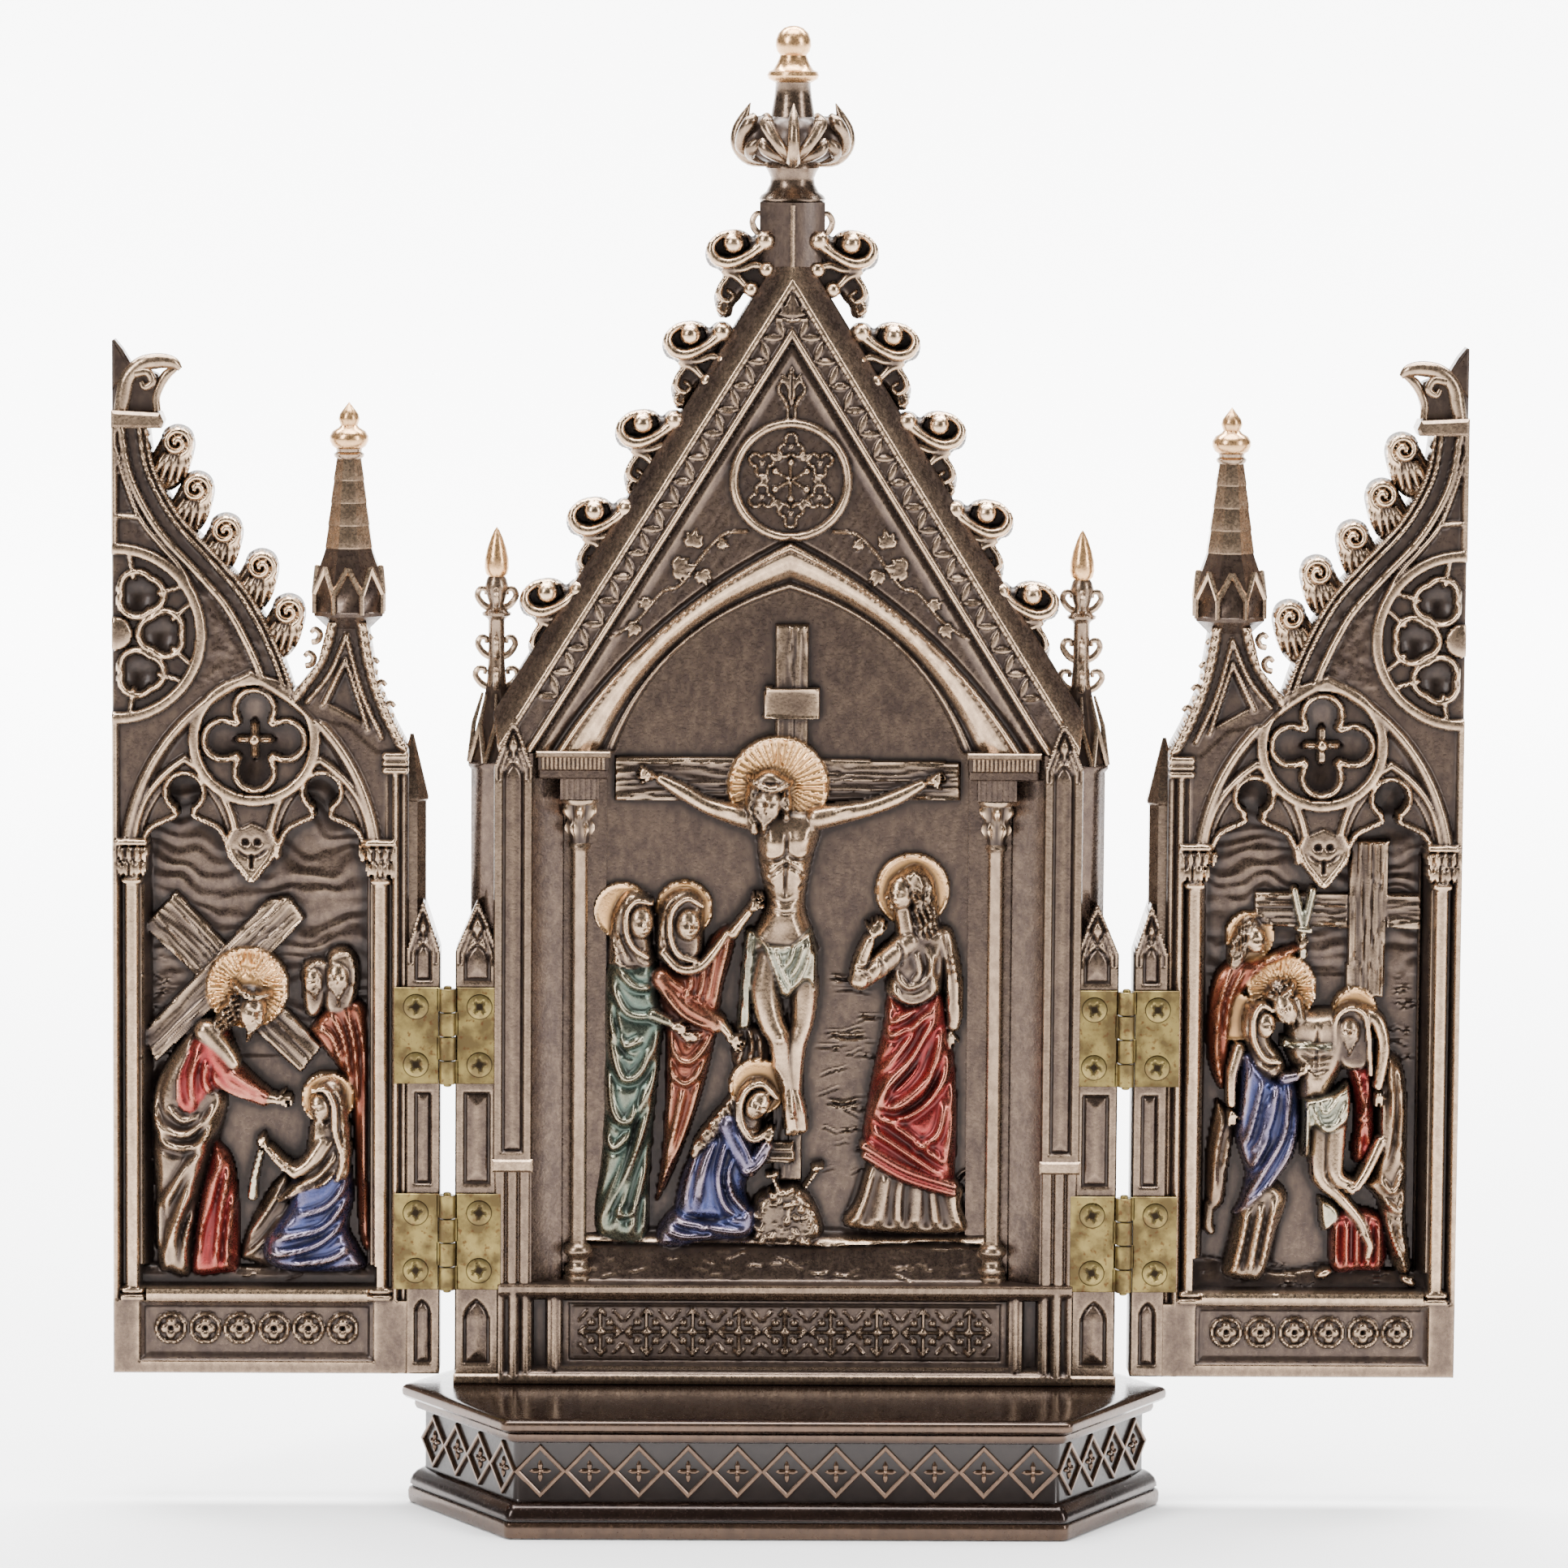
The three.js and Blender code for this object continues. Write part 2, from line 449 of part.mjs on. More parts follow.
function makeCrucifixion() {
  const { floor } = centre;
  const y = floor - 2.2;
  const ground = stepped([
    [3.4, [[-30, 36.4], [30, 36.4], [30, 37.6], [-30, 37.6]]],
    [floor + 0.5, [[-30, 36.4], [30, 36.4], [30, 42], [-30, 42]]],
  ]);
  const timber = [
    cross({ x: 0.6, half: 2.6, bottom: 56, top: 142.2 }, { z: 117.2, half: 3.5, left: -27.6, right: 28 },
      floor - 0.9, floor),
    block(-3.6, 4.7, floor - 1.4, floor, 128, 132),
    block(-2.4, 3.4, floor - 2.6, floor, 55, 58.6),
  ];
  const hanging = [
    plate(circle(-1.6, 116.2, 7.9), floor - 1.5, floor),
    bead(-3, y - 0.6, 114.6, 2.3, 2.3, 3.2),
    bead(-3.2, y - 0.9, 110.2, 1.5, 1.6, 2.2),
    bothSidesOf(0.2, [
      limb([[5.2, y + 0.2, 110.6, 1.7], [13.6, y + 0.6, 113, 1.3], [22.8, y + 0.6, 117.4, 0.9]]),
      bead(24.4, y + 1.2, 118, 1.6, 1.2, 1.4),
    ]),
    robe([[0, 111.4, 5.6, 3.4], [0.2, 106, 5, 4], [0, 98.4, 3.4, 3.2], [-0.2, 92, 4.8, 3.4]], floor),
    robe([[-0.2, 93, 5, 3.8], [0, 86, 5.2, 4.2], [0.2, 81, 2.4, 3.8]], floor),
    robe([[-5.6, 92, 0.9, 3], [-6.6, 84, 1.4, 2.6], [-6.2, 76.8, 0.9, 2]], floor, 1),
    limb([[-1.8, y, 85, 2.3], [0.2, y - 1, 77, 1.7], [0.4, y + 0.4, 66.6, 1.1], [1.2, y, 63.6, 0.8]]),
    limb([[2.6, y, 85, 2.2], [3.4, y - 0.4, 80, 1.7], [2, y + 0.8, 67, 1.1]]),
  ];
  const mourners = [
    plate(circle(-26.7, 96.1, 4.4), floor - 1, floor),
    bead(-24.2, y - 0.2, 94.2, 2.2, 2.3, 2.9),
    robe([[-25, 91, 2.2, 2.6], [-25.4, 87, 4, 3.6], [-24.6, 76, 4.9, 4.4], [-24.6, 60, 4.6, 4],
      [-26.2, 42, 4.6, 3.2]], floor),
    limb([[-22.4, y - 1.4, 80, 1.5], [-18, y - 1.8, 77, 1.1], [-14, y - 1.6, 75.6, 0.7]]),
    plate(circle(-17.2, 96.4, 4.5), floor - 0.8, floor),
    bead(-16.4, y - 0.2, 93.8, 2.2, 2.3, 2.9),
    robe([[-16.2, 91, 2.2, 2.6], [-15.4, 87, 4.4, 3.8], [-14.6, 80, 5.4, 4.2], [-17.4, 62, 3.6, 3],
      [-20.4, 46, 1.4, 1.6]], floor),
    limb([[-14, y + 0.2, 88.4, 2], [-7.4, y + 0.8, 92.4, 1.4], [-4, y + 1, 98, 1]]),
    limb([[-12.4, y - 1.2, 78.6, 1.2], [-7.4, y - 0.8, 74, 0.7]]),
    plate(circle(-4.6, 68.7, 4.9), floor - 2, floor),
    bead(-4.2, y - 0.6, 66, 2.8, 2.6, 3.4),
    robe([[-6.6, 63, 2.6, 3.4], [-9.6, 57.4, 4.6, 4.4], [-10.6, 50, 5.8, 4.8], [-10.4, 42.4, 6, 4.4]], floor),
    robe([[-3.8, 43.6, 2.6, 4.4], [-10, 43.2, 2.8, 3.8], [-18.4, 41.4, 1.4, 2.4]], floor),
    limb([[-8.4, y - 1.6, 59.4, 1.7], [-5.6, y - 1.8, 54, 1.3], [-3.2, y - 1.4, 56.4, 0.9]]),
    plate(circle(20.2, 99.7, 6.2), floor - 1, floor),
    bead(17.9, y - 0.4, 98.6, 2.6, 2.6, 3.4),
    robe([[20.4, 101.8, 2, 2.4], [22, 97, 2.4, 2.8], [22.2, 91.4, 2, 2.6]], floor),
    robe([[19.6, 93.8, 3.6, 3], [20.2, 89, 5.4, 4], [20.2, 82, 6.6, 4], [21.4, 68, 6.4, 4.2],
      [21.8, 53.6, 7, 4.2], [20.4, 49.4, 7.2, 3.6]], floor),
    robe([[19.8, 50, 6, 3], [19.6, 43, 9.2, 3.4]], floor, 5),
    limb([[16.6, y - 1, 90, 1.7], [10.6, y - 0.8, 85.4, 1.4], [13.4, y - 1.4, 93.6, 1]]),
    robe([[27.2, 90, 1, 1.8], [27.8, 80, 1.3, 2], [26.8, 74.6, 0.8, 1.4]], floor, 1),
  ];
  const rocks = [[0.4, 45, 4], [4.6, 43.4, 2.6], [-3, 43, 2.6]].map(
    ([x, z, size]) => bead(x, floor - 1, z, size, size * 0.8, size));
  return [ground, timber, hanging, mourners, rocks];
}

// Copies solids to both sides of an upright plane at x.
function bothSidesOf(x, pieces) {
  return pieces.flatMap((piece) => [piece.translate([x, 0, 0]), mirrored(piece).translate([x, 0, 0])]);
}

function makeBearingTheCross() {
  const { floor } = wing;
  const y = floor - 1.8;
  const beam = (from, to, width, front) => plate(strip([from, to], width), front, floor + 0.5);
  return [
    stepped([
      [2.4, [[-102.6, 36], [-67, 36], [-67, 37], [-102.6, 37]]],
      [floor + 0.5, [[-102.6, 36], [-67, 36], [-67, 40], [-102.6, 40]]],
    ]),
    beam([-103, 98.4], [-77, 71.6], 6.2, floor - 1),
    beam([-103.4, 73], [-79.8, 97.4], 6.2, floor - 1.4),
    plate(circle(-86.8, 83.4, 6.6), floor - 1.9, floor),
    bead(-86.4, y - 1, 79.6, 2.6, 2.6, 3.4),
    bead(-87.4, y - 1, 75.6, 1.8, 1.6, 2.4),
    robe([[-89.6, 79, 3, 3.4], [-93.4, 73.8, 5.4, 4.4], [-95.4, 66, 6.2, 4.6], [-97.2, 54, 5.4, 4.2],
      [-97.2, 42, 4, 3.2], [-97.6, 37.4, 3.6, 2.4]], floor),
    robe([[-93.6, 62, 3.4, 4.2], [-92.6, 50, 3.8, 3.8], [-92, 37.4, 4.6, 3]], floor),
    limb([[-94.6, y - 1.4, 75, 2.4], [-90.8, y - 2, 67.4, 2], [-85, y - 1.8, 66, 1.4],
      [-81, y - 1.6, 64.8, 0.8]]),
    bead(-76, y + 0.6, 84.4, 1.8, 2, 2.8),
    bead(-72.2, y - 0.4, 84, 2.4, 2.2, 3.4),
    robe([[-72.2, 81, 3, 2.6], [-71.6, 74, 4.2, 3.2], [-71, 60, 3.8, 2.6], [-69.8, 40, 2.4, 2]], floor),
    plate(circle(-74, 65.4, 4.3), floor - 2, floor),
    bead(-74.8, y - 0.8, 63.8, 2.2, 2.3, 3),
    robe([[-74, 60.8, 2.2, 3], [-74, 56.4, 4, 4], [-74.6, 49, 4.6, 4.2], [-75.6, 42, 6, 4.4],
      [-76, 37.2, 8.2, 3.6]], floor),
    limb([[-76.4, y - 1.2, 58, 1.6], [-80, y - 1.4, 54, 1.2], [-84.4, y - 1.2, 57.6, 0.8]]),
    robe([[-85, 58, 1, 2.6], [-86.2, 49, 1.1, 2.2]], floor, 1),
  ];
}

function makeDescent() {
  const { floor } = wing;
  const y = floor - 1.8;
  return [
    stepped([
      [2.4, [[67, 36], [102.6, 36], [102.6, 37], [67, 37]]],
      [floor + 0.5, [[67, 36], [102.6, 36], [102.6, 39.4], [67, 39.4]]],
    ]),
    cross({ x: 93.8, half: 3, bottom: 72, top: 108 }, { z: 97, half: 2.9, left: 75.2, right: 102.6 },
      floor - 1, floor),
    plate(circle(74.4, 92.4, 4), floor - 1.2, floor),
    bead(74.8, y, 91.6, 2, 2, 2.8),
    robe([[73.6, 88.6, 2.4, 2.6], [72, 82, 3.2, 2.8], [71.6, 74, 2.4, 2]], floor),
    plate(circle(79.9, 84.1, 5.7), floor - 1.8, floor),
    bead(80, y - 1, 82, 2.4, 2.4, 3),
    robe([[82, 78.8, 3, 3.6], [84.4, 72, 4.4, 4.4], [85.6, 66, 3.8, 4]], floor),
    limb([[80.2, y - 1, 77.8, 1.5], [74, y - 0.4, 72.6, 1.2], [71.8, y, 62, 0.8]]),
    limb([[86.6, y - 1.4, 77.6, 1.6], [94.4, y - 1.6, 78.4, 1.4], [96.4, y - 1.4, 66.8, 0.9]]),
    robe([[85.6, 67, 4.2, 4.2], [87, 62, 4.4, 4.2], [87.4, 57, 2.6, 3.6]], floor),
    limb([[86.4, y - 0.4, 60, 2], [91.2, y - 1.2, 52, 1.5], [93.4, y - 0.4, 43, 1],
      [96, y - 0.6, 41, 0.8]]),
    plate(circle(72.6, 79.6, 4.4), floor - 1, floor),
    bead(76.6, y - 1, 78.4, 2.2, 2.2, 2.9),
    robe([[75.2, 75.6, 2.4, 3.4], [76.4, 70, 4.6, 4.4], [78.6, 58, 4.6, 4.4], [78, 47.6, 4.8, 4],
      [76.6, 36.8, 5.4, 3.2]], floor),
    plate(circle(92, 81.2, 4.4), floor - 0.8, floor),
    bead(91, y - 0.4, 77.4, 2, 2.1, 2.8),
    robe([[96.4, 75, 2.6, 3], [98, 66, 3.4, 3.2], [98.6, 52, 3.2, 3], [99, 37.2, 3.4, 2.4]], floor),
    robe([[91.4, 72.6, 3, 2.6], [92, 62, 3.4, 2.6], [92.4, 50, 4.4, 3], [92.6, 37.2, 5, 2.4]], floor),
  ];
}

function makeCentrePanel() {
  let body = cut(makeCentreBody(), nicheTools());
  const pilasters = bothSides(makePilaster());
  const recess = block(-35.2, 35.2, -2, 0.8, 23, 32.8);
  const sidePanels = bothSides(block(-41, -38.2, -2, 1, 22, 33));
  body = cut(body, recess, sidePanels);
  const crockets = [[202.4, 8.6], [187.4, 15.4], [173.6, 23.2], [159.8, 31.2], [146.4, 38.4]].map(
    ([z, x]) => leafCrocket(-x, z));
  body = join(
    body, pilasters, bothSides(makeColumn(), makePier(), crockets), makeFinial(), makeGableRelief(),
    makePredella(), makeCrucifixion(),
  );
  return cut(body, hingeSeats(1), hingeSeats(-1));
}

// ---- wings, made on the left; the right one is the same carcass mirrored ----
function ogeeEdge() {
  return [[-101.4, 174.6], [-100.2, 166.8], [-97, 159.2], [-91, 152.4], [-85.4, 146.2], [-81.4, 138.2],
    [-79, 129]];
}

function makeWingBody() {
  const { foot, outer, inner, flangeWidth, back, shoulderX, frame: sink } = wing;
  const shell = plate([
    [-outer, foot], [-shoulderX, foot], [-shoulderX, 122], [-63.2, 125.4], [-66.6, 133], [-68.4, 142.6],
    [-73.4, 142.6], [-75.4, 134], [-79, 128], ...ogeeEdge().reverse().slice(1), [-outer, 174.6],
  ], sink, back);
  const rims = [
    plate([[-outer, foot], [-outer, 174.6], [-outer + 2.2, 174.6], [-outer + 2.2, foot]], 0, 2),
    plate(strip(ogeeEdge(), 1.6), 0, 3),
    plate(strip(ogeeEdge().map(([x, z]) => [x - 3.2, z - 2]), 1.1), 0.3, 3),
    block(-outer, -62, 0, 2, foot, 36.6),
  ];
  const scroll = [
    plate([[-outer, 173.8], [-100.2, 173.8], [-99.8, 176.4], [-outer, 176.4]], -0.2, 7),
    plate([[-outer, 176], [-100.9, 176], [-101.4, 179], [-100, 182.2], [-97.6, 183.4], [-99, 184.9],
      [-102, 185], [-104.6, 183.4], [-106.4, 185.6], [-outer, 187.6]], 1, 6),
  ];
  const knobs = [[-98, 171], [-94.8, 163.8], [-90.2, 157.2], [-84.6, 151.4], [-80.2, 144]].map(([x, z]) => (
    plate([[-1.2, 2.2], [-2.6, 0.6], [-4.2, -1], [-2, -6.6], [1, -5], [2.4, -1], [2, 1.2], [0.6, 2.3]]
      .map(([dx, dz]) => [x + dx, z + dz]), 1.6, 6.4)));
  const corner = turned([[1.5, 88], [1.5, 118.6], [2.1, 119.2], [2.1, 121.2]], -62.8, 1.6, 6);
  const pier = turned([[2.6, 86], [2.6, 114], [2.9, 114.4], [0.6, 124]], -60.4, 5.6, 6);
  return join(shell, rims, scroll, knobs, corner, pier, flange(-inner, flangeWidth, foot, back, -1));
}

function makeSpire() {
  const { spireX: x } = wing;
  const y = 4.6;
  const cone = turned([
    [4.2, 138], [5.9, 143.6], [5.9, 149.6], [3.8, 154.6], [1.9, 168.6], [2.4, 169.6], [3.1, 172.2],
    [1.5, 174], [1.7, 175.4], [0.4, 177.7],
  ], -x, y, 8);
  const gable = [
    plate(strip(flank([-61.6, 123], [-68.2, 142.8], -0.08, 4), 1.8), -0.4, 4),
    plate(strip(flank([-79.4, 130.6], [-73.2, 142.8], -0.08, 3), 1.6), -0.2, 4),
    plate([[-65.2, 125.4], [-70.6, 140], [-75.4, 132], [-72.4, 131]], 0.4, 4),
  ];
  return [cone, gable];
}

// Half a rose window, cut off by the wing's outer edge.
function makeRosette() {
  const { rosetteX: x, rosetteZ: z, outer } = wing;
  const half = (radius, sides) => Array.from({ length: sides + 1 }, (_, k) => {
    const angle = -Math.PI / 2 + (Math.PI * k) / sides;
    return [Math.max(-x + radius * Math.cos(angle), -outer), z + radius * Math.sin(angle)];
  });
  const rim = plate([...half(14.4, 9), ...half(12.9, 9).reverse()], -0.1, 1.6);
  const rings = [-1, 0, 1].map((k) => {
    const [cx, cz] = [-x + 7.2 - Math.abs(k) * 2.6, z + k * 6.6];
    return frame(circle(cx, cz, 3.8, 8), circle(cx, cz, 2.7, 8), 0, 1.6);
  });
  const hub = plate([...half(3, 6)], 0, 1.6);
  return [rim, rings, hub];
}

// Pointed arch with a quatrefoil in a circle over two cusped lights and a hanging boss.
function makeTracery() {
  const { archX: x, archApex, archSpring } = wing;
  const outline = (half, apex) => arch(-x, half, archSpring, apex, 0.13, 5);
  const band = plate([...outline(20.9, archApex), ...outline(19.2, archApex - 2.2).reverse()], -0.3, 4);
  const circleZ = 123.6;
  const foils = [0, 1, 2, 3].map((k) => {
    const angle = (Math.PI / 2) * k;
    return circle(-x + 0.4 + 5 * Math.cos(angle), circleZ + 5 * Math.sin(angle), 2.9, 7, angle);
  });
  const disc = plate(circle(-x + 0.4, circleZ, 10, 16), 0.1, 4);
  const hollows = foils.map((foil) => plate(foil, -1, 1.8));
  return [band, cut(disc, hollows)];
}

// The opening of the wing's niche, whose top is two lights with round eyes between three cusps.
function lightsOutline() {
  const { niche, archX: x } = wing;
  const half = (niche.left - niche.right) / 2;
  const middle = (niche.left + niche.right) / 2;
  const eye = (side) => {
    const cx = -middle + side * 10.8;
    return circle(cx, 115.3, 2.7, 8, -Math.PI / 2 + Math.PI / 4).slice(0, 7);
  };
  return [
    [-middle - half, niche.bottom], [-middle + half, niche.bottom], [-middle + half, 104], [-68.4, 109.6],
    [-70.6, 111.4], [-73, 111.4], ...eye(1), [-76.6, 111.4], [-79.6, 111.6], [-82.6, 108.6], [-82, 105.6],
    [-x + 0.2, 101.2], [-89.6, 105.6], [-89, 108.6], [-91.8, 111.6], [-94.8, 111.4], ...eye(-1),
    [-98.4, 111.4], [-101, 111], [-103.2, 108.4], [-middle - half, 104],
  ];
}

function makeWing(scene, right) {
  const { niche, floor } = wing;
  const panel = block(-103.6, -66.8, -2, 0.9, 23.4, 32.2);
  let body = cut(join(makeWingBody(), makeTracery(), makeRosette(), makeSpire()),
    plate(lightsOutline(), -2, floor), panel);
  const colonnette = (x) => turned([
    [1.8, 32.8], [1.8, 33.8], [1.1, 35], [1.1, 100.6], [1.8, 101.4], [1.2, 102.4], [2.3, 106.8], [2.3, 107.8],
  ], x, 1, 6);
  const sill = stepped([
    [-0.4, [[-106, 32.6], [-63.4, 32.6], [-63.4, 33.8], [-106, 33.8]]],
    [floor + 0.3, [[-104, 32.6], [-66, 32.6], [-66, 37], [-104, 37]]],
  ]);
  const roundels = Array.from({ length: 6 }, (_, k) => {
    return plate(circle(-99 + 5.54 * k, 28.2, 2.4), 0.3, 1.2);
  });
  body = join(body, colonnette(-105.1), colonnette(-65.4), sill, roundels);
  body = cut(join(right ? mirrored(body) : body, scene), hingeSeats(right ? 1 : -1));
  return body;
}

// ---- hinges ----
const hingeHeights = { upper: hinge.upperZ, lower: hinge.lowerZ };

// Everything that a leaf and its screws take out of the panel behind them.
function hingeSeats(side) {
  const { pinX, leafWidth, length, clearance, barrel, shankLength, seat } = hinge;
  return Object.values(hingeHeights).flatMap((z) => [
    block(side * pinX - leafWidth - clearance, side * pinX + leafWidth + clearance, -5, seat - clearance,
      z - length / 2 - clearance, z + length / 2 + clearance),
    block(side * pinX - barrel - clearance, side * pinX + barrel + clearance, -5, seat,
      z - length / 2 - clearance, z + length / 2 + clearance),
    ...[-1, 1].flatMap((across) => [-1, 1].map((up) => screwHole(
      side * pinX + across * hinge.screwReach, z + up * hinge.screwSpacing / 2,
      hinge.shank + clearance, shankLength + clearance))),
  ]);
}

function screwHole(x, z, radius, depth) {
  return limb([[x, -4, z, radius], [x, depth, z, radius]], 5);
}

function makeLeaf(pinX, z, reach, first) {
  const { length, leafThickness, leafWidth, barrel, bore, pinY, knuckles, knuckleGap } = hinge;
  const step = length / knuckles;
  const bottom = z - length / 2;
  const ends = [pinX, pinX + reach * leafWidth].sort((p, q) => p - q);
  let leaf = block(ends[0], ends[1], -leafThickness, 0, bottom, bottom + length);
  const clear = barrel + 0.35;
  for (let k = 1 - first; k < knuckles; k += 2) {
    const low = bottom + k * step - (k ? knuckleGap / 2 : 1);
    const high = bottom + (k + 1) * step + (k < knuckles - 1 ? knuckleGap / 2 : 1);
    leaf = cut(leaf, block(pinX - clear, pinX + clear, -3, 1, low, high));
  }
  for (let k = first; k < knuckles; k += 2) {
    const [low, high] = [bottom + k * step + knuckleGap / 2, bottom + (k + 1) * step - knuckleGap / 2];
    leaf = join(leaf, turned([[barrel, low], [barrel, high]], pinX, pinY, 6));
  }
  const hole = turned([[bore, z - length], [bore, z + length]], pinX, pinY, 5);
  const sinks = [-1, 1].map((up) => limb([
    [pinX + reach * hinge.screwReach, -1, z + up * hinge.screwSpacing / 2, hinge.headRadius + 0.3],
    [pinX + reach * hinge.screwReach, 0.5, z + up * hinge.screwSpacing / 2, hinge.shank + 0.35],
  ], 5));
  return cut(leaf, hole, sinks);
}

function makeScrew(x, z) {
  const { headRadius, shank, shankLength, leafThickness } = hinge;
  return limb([
    [x, -leafThickness - 0.2, z, headRadius], [x, 0, z, shank + 0.05], [x, shankLength, z, shank - 0.3],
  ], 5);
}

function makePin(pinX, z) {
  const { pin, length, pinOverhang, pinY } = hinge;
  const half = length / 2 + pinOverhang;
  return turned([[pin, z - half], [pin, z + half]], pinX, pinY, 5);
}

// ---- the scene graph ----
const finish = {
  bronze: { color: '#6b5345', metalness: 0.75, roughness: 0.42 },
  plinthBronze: { color: '#4a352b', metalness: 0.7, roughness: 0.32 },
  brass: { color: '#9a8850', metalness: 1, roughness: 0.38 },
  screwBrass: { color: '#8a7642', metalness: 1, roughness: 0.42 },
};

const altarpiece = new THREE.Group();

function place(name, piece, look) {
  const mesh = piece.getMesh();
  const geometry = new THREE.BufferGeometry();
  geometry.setAttribute('position', new THREE.BufferAttribute(mesh.vertProperties, 3));
  geometry.setIndex(new THREE.BufferAttribute(mesh.triVerts, 1));
  geometry.computeVertexNormals();
  const node = new THREE.Mesh(geometry, new THREE.MeshStandardMaterial(look));
  node.name = name;
  altarpiece.add(node);
}

place('base_plinth', makePlinth(), finish.plinthBronze);
place('centre_panel', makeCentrePanel(), finish.bronze);
place('left_wing', makeWing(makeBearingTheCross(), false), finish.bronze);
place('right_wing', makeWing(makeDescent(), true), finish.bronze);

for (const [sideName, side] of [['left', -1], ['right', 1]]) {
  for (const [heightName, z] of Object.entries(hingeHeights)) {
    const pinX = side * hinge.pinX;
    const name = `hinge_${sideName}_${heightName}`;
    place(`${name}_fixed_leaf`, makeLeaf(pinX, z, -side, 0), finish.brass);
    place(`${name}_wing_leaf`, makeLeaf(pinX, z, side, 1), finish.brass);
    place(`${name}_pin`, makePin(pinX, z), finish.brass);
    for (const [leafName, reach] of [['fixed', -side], ['wing', side]]) {
      [-1, 1].forEach((up, k) => place(`screw_${sideName}_${heightName}_${leafName}_${k + 1}`,
        makeScrew(pinX + reach * hinge.screwReach, z + up * hinge.screwSpacing / 2), finish.screwBrass));
    }
  }
}

export default altarpiece;
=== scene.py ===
# A desktop triptych altarpiece in cold-cast bronze: polished plinth, carved panels and brass hinges.
# Sizes are in millimetres and become metres when a mesh is made. x runs to the right, y to the back
# and z up; a carving's height is measured towards the viewer from the plane y = 0.
import math
import bpy
import numpy as np
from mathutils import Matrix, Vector


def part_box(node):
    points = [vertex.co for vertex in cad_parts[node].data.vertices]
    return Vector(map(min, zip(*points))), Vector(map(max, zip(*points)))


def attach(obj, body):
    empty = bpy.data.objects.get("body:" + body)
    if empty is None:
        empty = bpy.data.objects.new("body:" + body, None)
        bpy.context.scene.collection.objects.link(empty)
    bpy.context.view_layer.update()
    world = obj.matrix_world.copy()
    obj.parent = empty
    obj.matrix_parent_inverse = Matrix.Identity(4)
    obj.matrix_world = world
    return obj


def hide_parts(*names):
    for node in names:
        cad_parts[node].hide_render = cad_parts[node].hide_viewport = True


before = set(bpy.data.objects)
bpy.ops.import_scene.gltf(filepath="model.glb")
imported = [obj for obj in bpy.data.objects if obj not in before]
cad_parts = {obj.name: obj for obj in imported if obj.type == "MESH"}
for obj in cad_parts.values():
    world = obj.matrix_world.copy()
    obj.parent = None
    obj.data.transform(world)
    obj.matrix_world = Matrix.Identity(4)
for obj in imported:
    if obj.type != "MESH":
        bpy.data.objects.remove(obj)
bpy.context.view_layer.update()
millimetre = 0.001
outside = -99.0  # a height below everything, where a shape isn't


def boxOf(node):
    low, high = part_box(node)
    return np.array(low) / millimetre, np.array(high) / millimetre


plinthLow, plinthHigh = boxOf("base_plinth")
centreLow, centreHigh = boxOf("centre_panel")
wingLow, wingHigh = boxOf("left_wing")


def rectangle(left, right, bottom, top):
    return [(left, bottom), (right, bottom), (right, top), (left, top)]


def linear(code):
    # sRGB hex to the linear values that the shaders take
    parts = [int(code[i:i + 2], 16) / 255 for i in (1, 3, 5)]
    return [p / 12.92 if p <= 0.04045 else ((p + 0.055) / 1.055) ** 2.4 for p in parts] + [1.0]


def addNode(tree, kind, links=None, **settings):
    # adds a node, sets its properties or its unlinked inputs, and links {input: socket}
    node = tree.nodes.new(kind)
    for name, value in settings.items():
        setattr(node, name, value)
    for key, value in (links or {}).items():
        if isinstance(value, bpy.types.NodeSocket):
            tree.links.new(value, node.inputs[key])
        else:
            node.inputs[key].default_value = value
    return node


def mixColour(tree, factor, first, second, blend="MIX"):
    node = addNode(tree, "ShaderNodeMix", {"Factor": factor}, data_type="RGBA", blend_type=blend)
    for socket, value in ((node.inputs[6], first), (node.inputs[7], second)):
        if isinstance(value, bpy.types.NodeSocket):
            tree.links.new(value, socket)
        else:
            socket.default_value = value
    return node.outputs[2]


def remap(tree, value, low, high, toLow=0.0, toHigh=1.0):
    links = {"Value": value, "From Min": low, "From Max": high, "To Min": toLow, "To Max": toHigh}
    return addNode(tree, "ShaderNodeMapRange", links).outputs["Result"]


def blendMath(tree, operation, first, second, clamp=False):
    return addNode(tree, "ShaderNodeMath", {0: first, 1: second}, operation=operation,
                   use_clamp=clamp).outputs[0]


def newMaterial(name):
    material = bpy.data.materials.new(name)
    material.use_nodes = True
    tree = material.node_tree
    shader = tree.nodes["Principled BSDF"]
    return material, tree, shader


def grainOf(tree, size, stretch=(1, 1, 1), detail=3.0):
    # noise whose features are about size millimetres across
    place = addNode(tree, "ShaderNodeTexCoord").outputs["Object"]
    scaled = addNode(tree, "ShaderNodeMapping", {"Vector": place, "Scale": stretch}).outputs["Vector"]
    links = {"Vector": scaled, "Scale": 1 / (size * millimetre), "Detail": detail}
    return addNode(tree, "ShaderNodeTexNoise", links).outputs["Fac"]


bronze = {
    "recess": "#1c1412", "body": "#40332d", "bodyWarm": "#4e3f36", "rubbed": "#dab997",
    "roughness": 0.27, "blotch": 6.0, "streak": 1.1, "pits": 0.45, "bump": 0.35, "sheen": 0.06,
}


